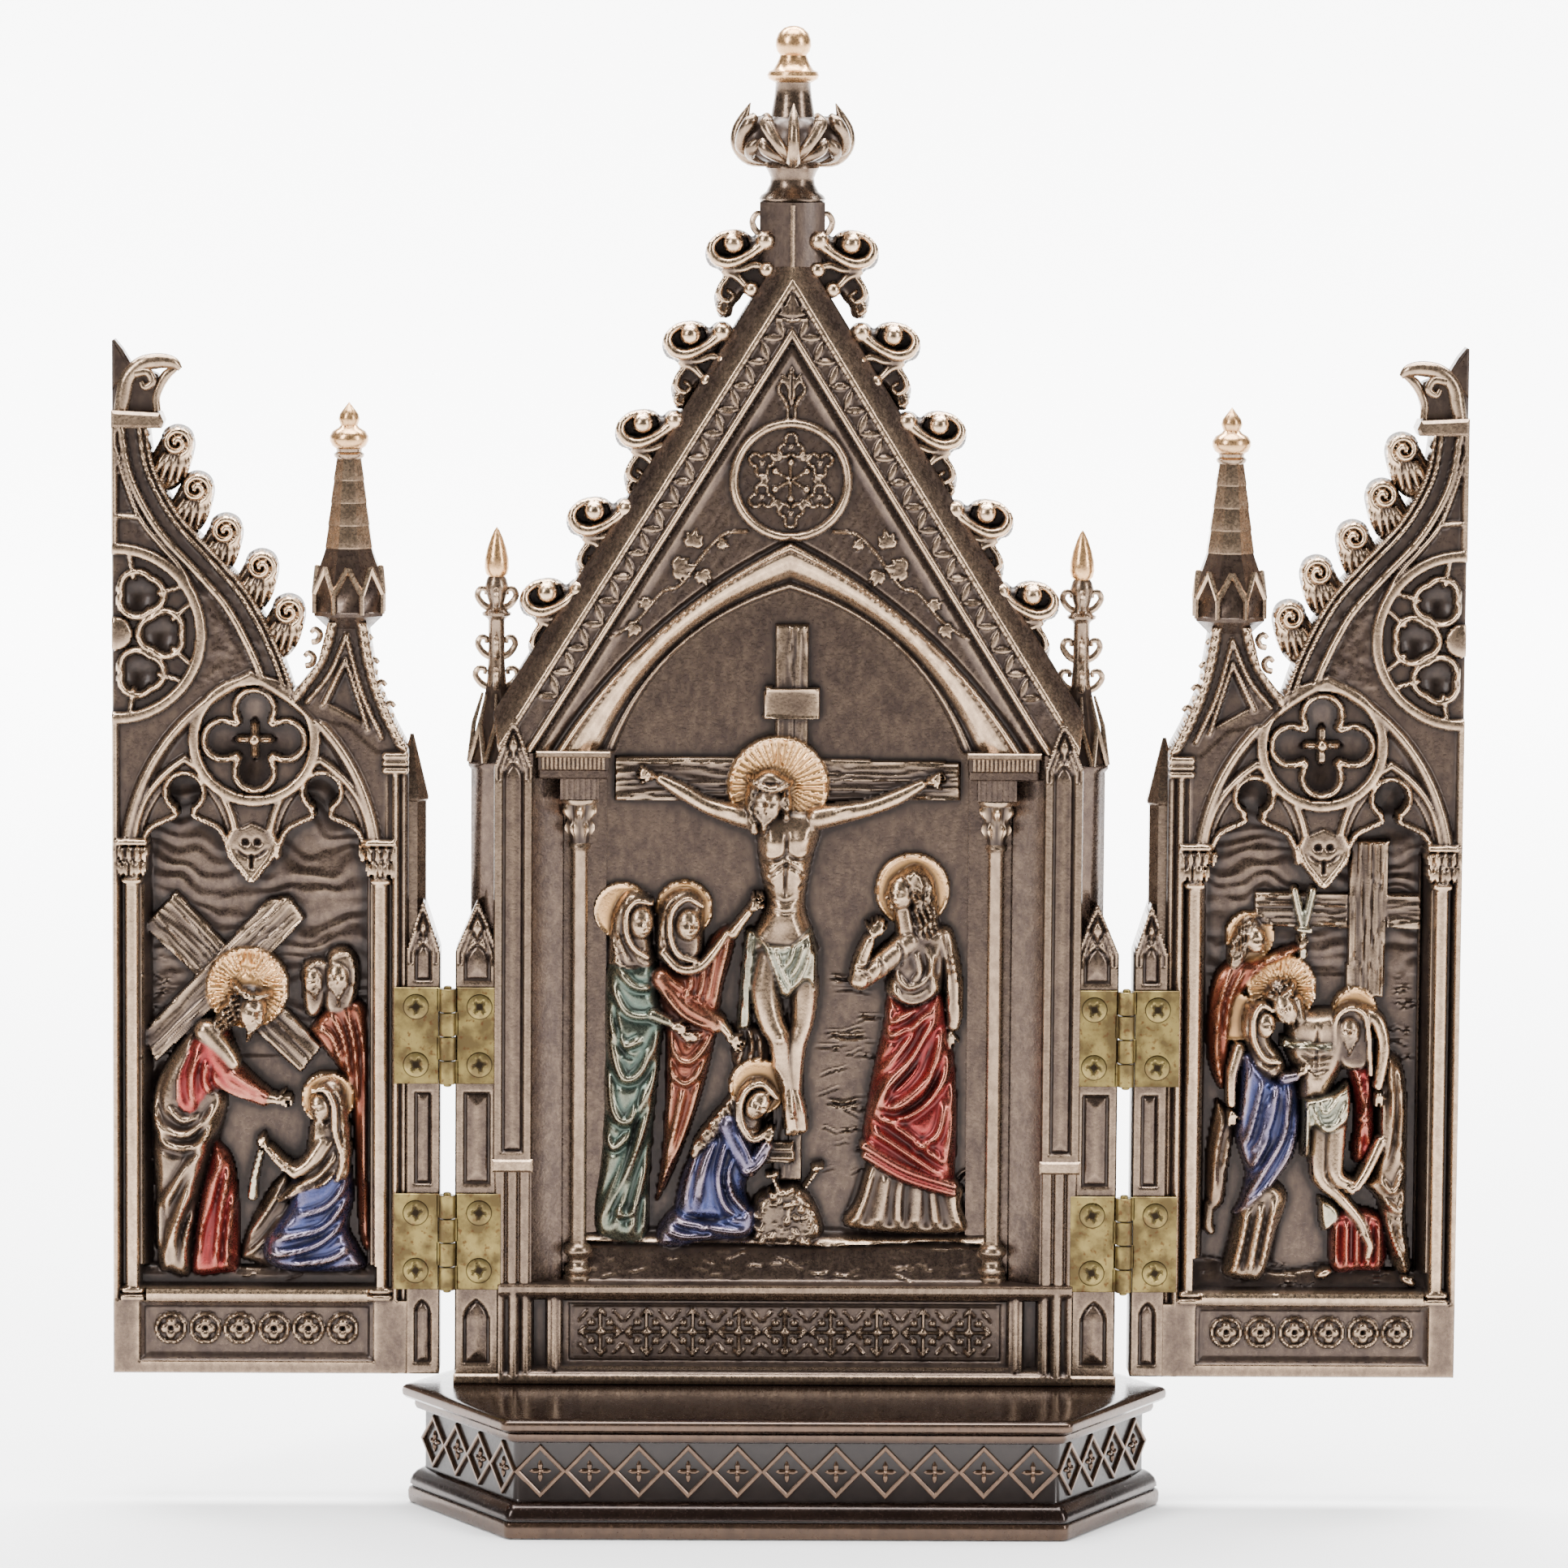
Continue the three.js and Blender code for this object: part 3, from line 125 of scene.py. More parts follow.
def castBronze(name, look):
    # cold-cast bronze with a brown patina: dark in the recesses, worn to bare metal on the ridges. The recess
    # darkening is partly that patina and partly painted shade standing in for ambient occlusion.
    # The mesh says where it is rubbed, darkened in its hollows (patina and painted shade), tinted and gilded.
    material, tree, shader = newMaterial(name)
    rub = addNode(tree, "ShaderNodeAttribute", attribute_name="rub").outputs["Fac"]
    patinaAndShade = addNode(tree, "ShaderNodeAttribute", attribute_name="patinaAndShade").outputs["Fac"]
    tint = addNode(tree, "ShaderNodeAttribute", attribute_name="tint")
    gilt = addNode(tree, "ShaderNodeAttribute", attribute_name="gilt").outputs["Fac"]
    blotch = grainOf(tree, look["blotch"])
    streak = grainOf(tree, look["streak"], (1, 1, 0.6))
    pits = grainOf(tree, look["pits"], detail=1.0)
    worn = blendMath(tree, "MULTIPLY", rub, remap(tree, streak, 0.3, 0.62, 0.6, 1.0), True)
    body = mixColour(tree, remap(tree, blotch, 0.35, 0.65), linear(look["body"]), linear(look["bodyWarm"]))
    body = mixColour(tree, blendMath(tree, "MULTIPLY", remap(tree, streak, 0.4, 0.7), look["sheen"]), body,
                     linear(look["rubbed"]))
    amount = blendMath(tree, "MULTIPLY", tint.outputs["Alpha"], remap(tree, streak, 0.25, 0.6, 0.7, 1.0))
    body = mixColour(tree, amount, body, tint.outputs["Color"])
    body = mixColour(tree, blendMath(tree, "MULTIPLY", gilt, 0.9), body, linear(look["gold"]))
    pale = mixColour(tree, blendMath(tree, "MULTIPLY", tint.outputs["Alpha"], 0.68), linear(look["rubbed"]),
                     tint.outputs["Color"])
    body = mixColour(tree, worn, body, pale)
    # painted shade: the hollows go to the dark recess colour, on top of the real patina there
    body = mixColour(tree, patinaAndShade, body, linear(look["recess"]))
    tree.links.new(body, shader.inputs["Base Color"])
    grit = remap(tree, pits, 0.3, 0.7, look["roughness"] - 0.07, look["roughness"] + 0.07)
    rough = blendMath(tree, "ADD", grit, blendMath(tree, "MULTIPLY", patinaAndShade, 0.25))
    tree.links.new(rough, shader.inputs["Roughness"])
    metal = remap(tree, blendMath(tree, "SUBTRACT", worn, patinaAndShade), -0.6, 0.7, look["metalLow"],
                  look["metalHigh"])
    tree.links.new(metal, shader.inputs["Metallic"])
    bump = addNode(tree, "ShaderNodeBump", {"Strength": look["bump"], "Distance": 0.06 * millimetre,
                                            "Height": pits})
    tree.links.new(bump.outputs["Normal"], shader.inputs["Normal"])
    shader.inputs["Coat Weight"].default_value = look["lacquer"]
    shader.inputs["Coat Roughness"].default_value = 0.18
    return material


panelBronze = castBronze("patinatedColdCastBronze",
                         {**bronze, "gold": "#d9a468", "metalLow": 0.72, "metalHigh": 1.0, "lacquer": 0.12})
plinthBronze = castBronze("polishedColdCastBronze", {
    **bronze,
    "body": "#251813", "bodyWarm": "#2f2019", "recess": "#140e0c", "rubbed": "#8c6c52", "gold": "#d9a468",
    "metalLow": 0.6, "metalHigh": 0.9, "roughness": 0.2, "lacquer": 0.35, "bump": 0.06, "sheen": 0.02})


def cabinetBrass(name, look):
    # rolled brass sheet that has dulled: yellow where it is handled, brown stains and a fine brushed grain
    material, tree, shader = newMaterial(name)
    rub = addNode(tree, "ShaderNodeAttribute", attribute_name="rub").outputs["Fac"]
    patinaAndShade = addNode(tree, "ShaderNodeAttribute", attribute_name="patinaAndShade").outputs["Fac"]
    stain = grainOf(tree, look["stain"], detail=6.0)
    fleck = grainOf(tree, look["fleck"], detail=2.0)
    brushed = grainOf(tree, look["brush"], (1, 1, 0.08))
    colour = mixColour(tree, remap(tree, stain, 0.4, 0.6), linear(look["clean"]), linear(look["dull"]))
    colour = mixColour(tree, blendMath(tree, "MULTIPLY", remap(tree, fleck, 0.58, 0.7), 0.75), colour,
                       linear(look["rust"]))
    colour = mixColour(tree, blendMath(tree, "MULTIPLY", rub, 0.6), colour, linear(look["bright"]))
    # painted shade: the screws' recesses and the rings round their heads are mixed to the dark colour
    colour = mixColour(tree, patinaAndShade, colour, linear(look["dark"]))
    tree.links.new(colour, shader.inputs["Base Color"])
    rough = remap(tree, blendMath(tree, "ADD", stain, blendMath(tree, "MULTIPLY", brushed, 0.5)), 0.5, 1.0,
                  0.26, 0.46)
    tree.links.new(rough, shader.inputs["Roughness"])
    bump = addNode(tree, "ShaderNodeBump", {"Strength": 0.25, "Distance": 0.04 * millimetre,
                                            "Height": blendMath(tree, "ADD", brushed, fleck)})
    tree.links.new(bump.outputs["Normal"], shader.inputs["Normal"])
    shader.inputs["Metallic"].default_value = 0.92
    return material


tarnishedBrass = cabinetBrass("tarnishedCabinetBrass", {
    "clean": "#7d6d41", "dull": "#53452b", "rust": "#4c2f1c", "bright": "#9c8a5c", "dark": "#1c140b",
    "stain": 3.2, "fleck": 0.9, "brush": 0.3})


class Casting:
    # closed skins in millimetres that become one Blender mesh
    def __init__(self):
        self.points, self.marks, self.quads, self.caps, self.count = [], [], [], [], 0

    def add(self, points, quads, caps=(), marks=None):
        # marks holds tint red, green, blue and amount, then rub, hollow darkening (patina and painted shade)
        # and gilt for each point
        points = np.asarray(points, float)
        quads = np.asarray(quads, int).reshape(-1, 4)
        volume = 0.0
        for cap in caps:
            fan = points[np.array(cap)]
            volume += np.einsum("ij,ij->", np.broadcast_to(fan[0], fan[1:-1].shape),
                                np.cross(fan[1:-1], fan[2:]))
        a, b, c, d = (points[quads[:, k]] for k in range(4))
        volume += np.einsum("ij,ij->", a, np.cross(b, c)) + np.einsum("ij,ij->", a, np.cross(c, d))
        if volume < 0:
            quads = quads[:, ::-1]
            caps = [cap[::-1] for cap in caps]
        self.points.append(points)
        self.marks.append(np.zeros((len(points), 7)) if marks is None else marks)
        self.quads.append(quads + self.count)
        self.caps += [[i + self.count for i in cap] for cap in caps]
        self.count += len(points)

    def skin(self, grid, marks=None, ringed=False):
        # rows of points joined into a tube that is capped at both ends, or closed on itself if ringed
        grid = np.asarray(grid, float)
        rows, columns = grid.shape[:2]
        index = np.arange(rows * columns).reshape(rows, columns)
        index = np.hstack([index, index[:, :1]])
        if ringed:
            index = np.vstack([index, index[:1]])
        quads = np.stack([index[:-1, :-1], index[:-1, 1:], index[1:, 1:], index[1:, :-1]], -1)
        caps = [] if ringed else [list(index[0, :columns][::-1]), list(index[-1, :columns])]
        full = None if marks is None else np.broadcast_to(marks, (rows * columns, 7)).copy()
        self.add(grid.reshape(-1, 3), quads, caps, full)

    def merge(self, other, move=(0, 0, 0), turn=0.0, flip=False, size=1.0):
        # takes in another casting's skins, mirrored in x or turned about z, then moved
        c, s = math.cos(turn), math.sin(turn)
        for points, marks in zip(other.points, other.marks):
            facing = size * points * [-1 if flip else 1, 1, 1]
            points = facing @ np.array([[c, s, 0], [-s, c, 0], [0, 0, 1]]) + np.array(move)
            self.points.append(points)
            self.marks.append(marks)
        order = slice(None, None, -1) if flip else slice(None)
        self.quads += [quads[:, order] + self.count for quads in other.quads]
        self.caps += [[i + self.count for i in cap][order] for cap in other.caps]
        self.count += other.count

    def make(self, name, body, material, nodes=(), angle=40):
        points = np.concatenate(self.points) * millimetre
        quads = np.concatenate(self.quads)
        marks = np.concatenate(self.marks)
        corners = np.concatenate([quads.ravel(), *[np.array(cap) for cap in self.caps]]).astype(np.int32)
        sizes = np.array([4] * len(quads) + [len(cap) for cap in self.caps], np.int32)
        mesh = bpy.data.meshes.new(name)
        mesh.vertices.add(len(points))
        mesh.vertices.foreach_set("co", points.astype(np.float32).ravel())
        mesh.loops.add(len(corners))
        mesh.loops.foreach_set("vertex_index", corners)
        mesh.polygons.add(len(sizes))
        mesh.polygons.foreach_set("loop_start", np.concatenate([[0], np.cumsum(sizes)[:-1]]).astype(np.int32))
        mesh.update(calc_edges=True)
        mesh.validate()
        mesh.shade_smooth()
        mesh.set_sharp_from_angle(angle=math.radians(angle))
        tint = mesh.attributes.new("tint", "FLOAT_COLOR", "POINT")
        tint.data.foreach_set("color", marks[:, :4].astype(np.float32).ravel())
        for column, title in ((4, "rub"), (5, "patinaAndShade"), (6, "gilt")):
            layer = mesh.attributes.new(title, "FLOAT", "POINT")
            layer.data.foreach_set("value", marks[:, column].astype(np.float32))
        mesh.materials.append(material)
        piece = bpy.data.objects.new(name, mesh)
        bpy.context.scene.collection.objects.link(piece)
        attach(piece, body)
        if nodes:
            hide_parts(*nodes)
        triangles = 2 * len(quads) + sum(len(cap) - 2 for cap in self.caps)
        print(f"{name}: {triangles} triangles")
        return piece


def mark(rub=0.0, patinaAndShade=0.0, gilt=0.0):
    return np.array([0, 0, 0, 0, rub, patinaAndShade, gilt])


def turned(casting, profile, x, y, sides=32, marks=None, start=0.0):
    # a lathe piece on an upright axis, from (radius, height) pairs
    angles = start + 2 * math.pi * np.arange(sides) / sides
    rows = [[(x + r * math.cos(a), y + r * math.sin(a), z) for a in angles] for r, z in profile]
    casting.skin(rows, marks=marks)


def slab(casting, outline, front, back, bevel=0.4, marks=None):
    # a flat plate with its outline in x and z, bevelled front and back
    ring = np.array(outline, float)
    before, after = np.roll(ring, 1, 0), np.roll(ring, -1, 0)
    first, second = ring - before, after - ring
    first /= np.linalg.norm(first, axis=1)[:, None]
    second /= np.linalg.norm(second, axis=1)[:, None]
    normal = np.stack([first[:, 1] + second[:, 1], -first[:, 0] - second[:, 0]], 1)
    normal /= np.maximum(np.einsum("ij,ij->i", normal, np.stack([second[:, 1], -second[:, 0]], 1)),
                         0.3)[:, None]
    area = np.sum(ring[:, 0] * after[:, 1] - after[:, 0] * ring[:, 1])
    inner = ring - np.sign(area) * normal * bevel
    rows = [np.c_[shape[:, 0], np.full(len(ring), y), shape[:, 1]]
            for shape, y in ((inner, front), (ring, front + bevel), (ring, back - bevel), (inner, back))]
    casting.skin(rows, marks=marks)


def prism(casting, plan, bottom, top, marks=None):
    # an upright bar with its plan in x and y
    casting.skin([[(x, y, z) for x, y in plan] for z in (bottom, top)], marks=marks)


def curve(points, steps=6):
    # a smooth line through rows of numbers
    p = np.array(points, float)
    ends = np.vstack([2 * p[0] - p[1], p, 2 * p[-1] - p[-2]])
    t = (np.arange(steps) / steps)[:, None]
    rows = []
    for a, b, c, d in zip(ends, ends[1:], ends[2:], ends[3:]):
        bend, twist = 2 * a - 5 * b + 4 * c - d, 3 * b - a - 3 * c + d
        rows.append(0.5 * (2 * b + (c - a) * t + bend * t**2 + twist * t**3))
    return np.vstack([*rows, p[-1:]])


def tube(casting, points, sides=10, marks=None, flat=1.0):
    # a tapered round limb through (x, y, z, radius) points
    line = np.array(points, float)
    centres = line[:, :3]
    along = np.gradient(centres, axis=0)
    along /= np.linalg.norm(along, axis=1)[:, None]
    level = np.where(np.abs(along[:, 1:2]) > 0.95, [[1.0, 0, 0]], [[0, 1.0, 0]])
    across = np.cross(level, along)
    across /= np.linalg.norm(across, axis=1)[:, None]
    out = np.cross(along, across)
    angles = 2 * math.pi * np.arange(sides) / sides
    rows = [c + r * (np.outer(np.cos(angles), u) + flat * np.outer(np.sin(angles), v))
            for c, r, u, v in zip(centres, line[:, 3], across, out)]
    casting.skin(rows, marks=marks)


def ball(casting, x, y, z, radius, marks=None, sides=14, tall=1.0):
    steps = [math.pi * k / 8 - math.pi / 2 for k in range(9)]
    profile = [(max(radius * math.cos(s), radius * 0.04), z + tall * radius * math.sin(s)) for s in steps]
    turned(casting, profile, x, y, sides, marks)


def flank(foot, apex, bulge, steps):
    # one side of a pointed arch, bowing out from its chord by bulge times its length
    foot, apex = np.array(foot, float), np.array(apex, float)
    t = np.linspace(0, 1, steps + 1)[:, None]
    chord = apex - foot
    side = math.copysign(1, chord[0])
    return foot + chord * t + side * np.array([-chord[1], chord[0]]) * 4 * bulge * t * (1 - t)


def archLine(x, half, spring, apex, bulge, steps=14):
    left = flank((x - half, spring), (x, apex), bulge, steps)
    return np.vstack([left, left[-2::-1] * [-1, 1] + [2 * x, 0]])


def nearLine(x, z, line):
    # distance to a line of points, the side of it and the share of its length, for every cell
    line = np.asarray(line, float)
    lengths = np.linalg.norm(np.diff(line, axis=0), axis=1)
    total = max(lengths.sum(), 1e-9)
    best = np.full(x.shape, 1e9)
    side, place = np.zeros(x.shape), np.zeros(x.shape)
    start = 0.0
    for (ax, az), (bx, bz), length in zip(line, line[1:], lengths):
        if length < 1e-9:
            continue
        dx, dz = (bx - ax) / length, (bz - az) / length
        s = np.clip((x - ax) * dx + (z - az) * dz, 0, length)
        px, pz = x - ax - s * dx, z - az - s * dz
        far = px * px + pz * pz
        near = far < best
        best = np.where(near, far, best)
        side = np.where(near, np.sign(dx * pz - dz * px), side)
        place = np.where(near, (start + s) / total, place)
        start += length
    return np.sqrt(best), side, place


def insideOf(x, z, outline):
    # signed distance to a closed outline, negative inside
    ring = np.asarray(outline, float)
    ring = np.vstack([ring, ring[:1]])
    far, _, _ = nearLine(x, z, ring)
    inside = np.zeros(x.shape, bool)
    for (ax, az), (bx, bz) in zip(ring, ring[1:]):
        if az == bz:
            continue
        crosses = (az > z) != (bz > z)
        inside ^= crosses & (x < (bx - ax) * (z - az) / (bz - az) + ax)
    return np.where(inside, -far, far)


def lattice(ix, iz, seed):
    # a repeatable value from 0 to 1 for each lattice corner
    n = (ix.astype(np.int64) * 374761393 + iz.astype(np.int64) * 668265263 + seed * 974711) & 0xFFFFFFFF
    n = ((n ^ (n >> 13)) * 1274126177) & 0xFFFFFFFF
    return ((n ^ (n >> 16)) & 0xFFFF) / 65535.0


def roughNoise(x, z, seed=1, octaves=3):
    # smooth value noise from -1 to 1 with features one unit across
    total, size, weight = np.zeros(np.shape(x)), 1.0, 0.0
    for octave in range(octaves):
        u, v = x * size, z * size
        iu, iv = np.floor(u), np.floor(v)
        fu, fv = u - iu, v - iv
        fu, fv = fu * fu * (3 - 2 * fu), fv * fv * (3 - 2 * fv)
        low = lattice(iu, iv, seed + octave) * (1 - fu) + lattice(iu + 1, iv, seed + octave) * fu
        high = lattice(iu, iv + 1, seed + octave) * (1 - fu) + lattice(iu + 1, iv + 1, seed + octave) * fu
        total += (low * (1 - fv) + high * fv - 0.5) * 2 / size
        weight += 1 / size
        size *= 2
    return total / weight


def blurred(field, cells):
    # a soft average over about that many cells, the edges mirrored
    pad = int(4 * cells) + 1
    wide = np.pad(field, pad, mode="reflect" if min(field.shape) > pad else "edge")
    rows, columns = wide.shape
    fr, fc = np.fft.fftfreq(rows)[:, None], np.fft.rfftfreq(columns)[None, :]
    keep = np.exp(-2 * (math.pi * cells) ** 2 * (fr**2 + fc**2))
    return np.fft.irfft2(np.fft.rfft2(wide) * keep, s=wide.shape)[pad:-pad, pad:-pad]


# each finish: tint, its strength, how gilded and how rubbed it is before the wear is worked out
finishes = {
    "bronze": ("#5c4438", 0.0, 0.0, 0.0),
    "skin": ("#7d6753", 0.35, 0.0, 0.16),
    "hair": ("#2c2420", 0.5, 0.0, 0.0),
    "green": ("#3c564d", 0.8, 0.0, 0.02),
    "rust": ("#7a3824", 0.88, 0.0, 0.0),
    "blue": ("#2b396a", 0.86, 0.0, 0.0),
    "red": ("#841c20", 0.92, 0.0, 0.0),
    "linen": ("#848c7c", 0.75, 0.0, 0.15),
    "gold": ("#d9a468", 0.0, 1.0, 0.1),
    "worn": ("#c8a688", 0.0, 0.0, 0.3),
    # paintedSheen is a painted highlight: the sheen along the gable arch's hollow band
    "paintedSheen": ("#c8a688", 0.0, 0.0, 0.42),
    # dark is painted shade in the hollows of crockets and volutes, and the thorn twigs' own dark colour
    "dark": ("#2c2420", 0.6, 0.0, 0.0),
    "wood": ("#3e332d", 0.5, 0.0, 0.04),
    "brown": ("#4c3a2c", 0.5, 0.0, 0.05),
    "rock": ("#3c332e", 0.4, 0.0, 0.1),
}
finishNames = list(finishes)
# the width that the relief is compared over, the ridge that is fully rubbed and by how much, the
# hollow that is fully dark and by how much
wearScales = [(0.35, 0.18, 0.22, 0.16, 0.3), (0.9, 0.6, 0.27, 0.5, 0.45), (2.6, 1.6, 0.25, 1.8, 0.4)]


class Board:
    # a field of heights over part of a panel's face, carved by the calls below
    def __init__(self, left, right, bottom, top, cell, ground):
        self.cell = cell
        self.xs = np.arange(left, right + cell / 2, cell)
        self.zs = np.arange(bottom, top + cell / 2, cell)
        self.x, self.z = np.meshgrid(self.xs, self.zs)
        self.h = np.full(self.x.shape, float(ground))
        self.paint = np.zeros(self.x.shape, int)
        self.ground = ground

    def window(self, line, reach):
        line = np.asarray(line, float)
        low, high = line[:, :2].min(0) - reach, line[:, :2].max(0) + reach
        rows = slice(*np.searchsorted(self.zs, [low[1], high[1]]))
        columns = slice(*np.searchsorted(self.xs, [low[0], high[0]]))
        return rows, columns

    def put(self, at, height, paint=None, soft=0.2):
        # a soft maximum with what is there; the higher one gives the finish
        old = self.h[at].copy()
        t = np.clip(0.5 + (height - old) / (2 * soft), 0, 1)
        joined = old + (height - old) * t + soft * t * (1 - t)
        self.h[at] = np.where(height > outside + 50, joined, old)
        if paint is not None:
            self.paint[at] = np.where(height > old, finishNames.index(paint), self.paint[at])

    def ramp(self, outline, height, paint=None):
        # sets the height inside an outline; height is a number or a function of x and z
        at = self.window(outline, 0.5)
        x, z = self.x[at], self.z[at]
        share = np.clip(0.5 - insideOf(x, z, outline) / self.cell / 1.2, 0, 1)
        level = height(x, z) if callable(height) else height
        self.h[at] = self.h[at] * (1 - share) + level * share
        if paint is not None:
            self.paint[at] = np.where(share > 0.5, finishNames.index(paint), self.paint[at])

    def limb(self, points, paint=None, rise=None, soft=0.25, smooth=True, lift=1.0):
        # a rounded mass along (x, z, radius, crest) points; crest is its height over the board's ground
        line = curve(points, 5) if smooth and len(points) > 2 else np.array(points, float)
        at = self.window(line, line[:, 2].max())
        x, z = self.x[at], self.z[at]
        best = np.full(x.shape, outside)
        for a, b in zip(line, line[1:]):
            step = b[:2] - a[:2]
            t = np.clip(((x - a[0]) * step[0] + (z - a[1]) * step[1]) / max(step @ step, 1e-9), 0, 1)
            radius, crest = a[2] + (b[2] - a[2]) * t, a[3] + (b[3] - a[3]) * t
            far = ((x - a[0] - step[0] * t) ** 2 + (z - a[1] - step[1] * t) ** 2) / radius**2
            depth = np.minimum(radius * 1.15, crest + 0.6) if rise is None else rise
            height = self.ground + crest - depth + depth * np.sqrt(np.clip(1 - far, 0, 1)) ** lift
            best = np.maximum(best, np.where(far < 1, height, outside))
        self.put(at, best, paint, soft)

    def blob(self, x0, z0, rx, rz, crest, paint=None, tilt=0.0, rise=None, soft=0.25, lift=1.0):
        # an egg-shaped swelling, its crest over the board's ground
        reach = max(rx, rz)
        at = self.window([(x0, z0)], reach)
        x, z = self.x[at] - x0, self.z[at] - z0
        c, s = math.cos(math.radians(tilt)), math.sin(math.radians(tilt))
        far = ((x * c + z * s) / rx) ** 2 + ((z * c - x * s) / rz) ** 2
        depth = min(crest + 0.6, min(rx, rz) * 1.2) if rise is None else rise
        height = self.ground + crest - depth + depth * np.sqrt(np.clip(1 - far, 0, 1)) ** lift
        self.put(at, np.where(far < 1, height, outside), paint, soft)

    def cloth(self, outline, crest, paint, rounding=2.0, soft=0.25, swells=(), smooth=True):
        # draped cloth or any flat mass with rounded sides; swells are (x, z, radius, rise)
        ring = curve(np.vstack([outline, outline[:1]]), 5)[:-1] if smooth else np.asarray(outline, float)
        at = self.window(ring, 0.5)
        x, z = self.x[at], self.z[at]
        inside = -insideOf(x, z, ring)
        rounded = 1 - np.clip(inside / rounding, 0, 1)
        height = self.ground + crest * np.sqrt(np.clip(1 - rounded**2, 0, 1))
        for sx, sz, radius, rise in swells:
            height = height + rise * np.exp(-((x - sx) ** 2 + (z - sz) ** 2) / radius**2)
        self.put(at, np.where(inside > 0, height, outside), paint, soft)

    def fold(self, points, width, rise, paint=None, ends=0.18, groove=0.45, smooth=True):
        # a ridge with a hollow on each side; a negative rise cuts a groove
        line = curve([p[:2] for p in points], 6) if smooth and len(points) > 2 else np.array(points, float)
        at = self.window(line, 3 * width)
        x, z = self.x[at], self.z[at]
        far, _, place = nearLine(x, z, line)
        taper = np.clip(place / ends, 0, 1) * np.clip((1 - place) / ends, 0, 1) if ends else 1.0
        shape = np.exp(-((far / width) ** 2)) - groove * np.exp(-(((far - 1.8 * width) / (0.8 * width)) ** 2))
        change = rise * taper * shape
        if paint is not None:
            wanted = [finishNames.index(p) for p in (paint if isinstance(paint, (list, tuple)) else [paint])]
            change = np.where(np.isin(self.paint[at], wanted), change, 0)
        self.h[at] += change

    def line(self, points, width, height, paint=None, soft=0.12, smooth=False, square=2.0):
        # a raised strip with a rounded top at a true height
        path = curve(points, 6) if smooth else np.asarray(points, float)
        at = self.window(path, width)
        far, _, _ = nearLine(self.x[at], self.z[at], path)
        share = np.clip(far / (width / 2), 0, 1)
        rise = min(0.9, width * 0.7)
        self.put(at, np.where(share < 1, height - rise * share**square, outside), paint, soft)

    def leaf(self, start, end, width, height, rise=0.5, paint=None, vein=0.25):
        # a pointed leaf between two points, with a vein
        start, end = np.array(start, float), np.array(end, float)
        at = self.window([start, end], width)
        far, _, place = nearLine(self.x[at], self.z[at], [start, end])
        half = width / 2 * np.sin(math.pi * np.clip(place * 0.94 + 0.03, 0, 1)) ** 0.8
        share = far / np.maximum(half, 1e-6)
        body = height - rise * share**2 - vein * np.exp(-((far / (0.16 * width)) ** 2))
        self.put(at, np.where(share < 1, body, outside), paint, 0.1)

    def grain(self, outline, size, depth, seed, angle=0.0, stretch=6.0, paint=None):
        # long wandering grooves, as in wood or a chiselled ground
        at = self.window(outline, 0.5)
        x, z = self.x[at], self.z[at]
        c, s = math.cos(math.radians(angle)), math.sin(math.radians(angle))
        u, v = (x * c + z * s) / size / stretch, (z * c - x * s) / size
        rough = roughNoise(u + 0.4 * roughNoise(u, v, seed + 9), v, seed, 3) * depth
        keep = insideOf(x, z, outline) < 0
        if paint is not None:
            keep &= self.paint[at] == finishNames.index(paint)
        self.h[at] += np.where(keep, rough, 0)

    def wear(self, edgeRub=1.0):
        # where hands have rubbed the ridges bright, and where the hollows are darkened: patina there and
        # painted shade like ambient occlusion
        table = np.array([[*linear(finishes[n][0])[:3], *finishes[n][1:]] for n in finishNames])
        own = table[self.paint]
        tint = np.stack([blurred(own[..., k], 0.6) for k in range(6)], -1)
        rub = patinaAndShade = 0
        for width, ridge, bright, hollow, dark in wearScales:
            relief = self.h - blurred(self.h, width / self.cell)
            rub = rub + np.clip(relief / ridge, 0, 1) * bright
            # painted shade: the deeper below its surroundings a place lies, the darker it is painted
            patinaAndShade = patinaAndShade + np.clip(-relief / hollow, 0, 1) * dark
        rub = np.clip(rub * edgeRub + tint[..., 5] - 0.4 * patinaAndShade, 0, 1)
        patinaAndShade = np.clip(patinaAndShade - 0.3 * rub, 0, 0.85)
        return np.dstack([tint[..., :4], rub, patinaAndShade, tint[..., 4]])

    def cast(self, casting, outline, back, rounding=0.35, edgeRub=1.0):
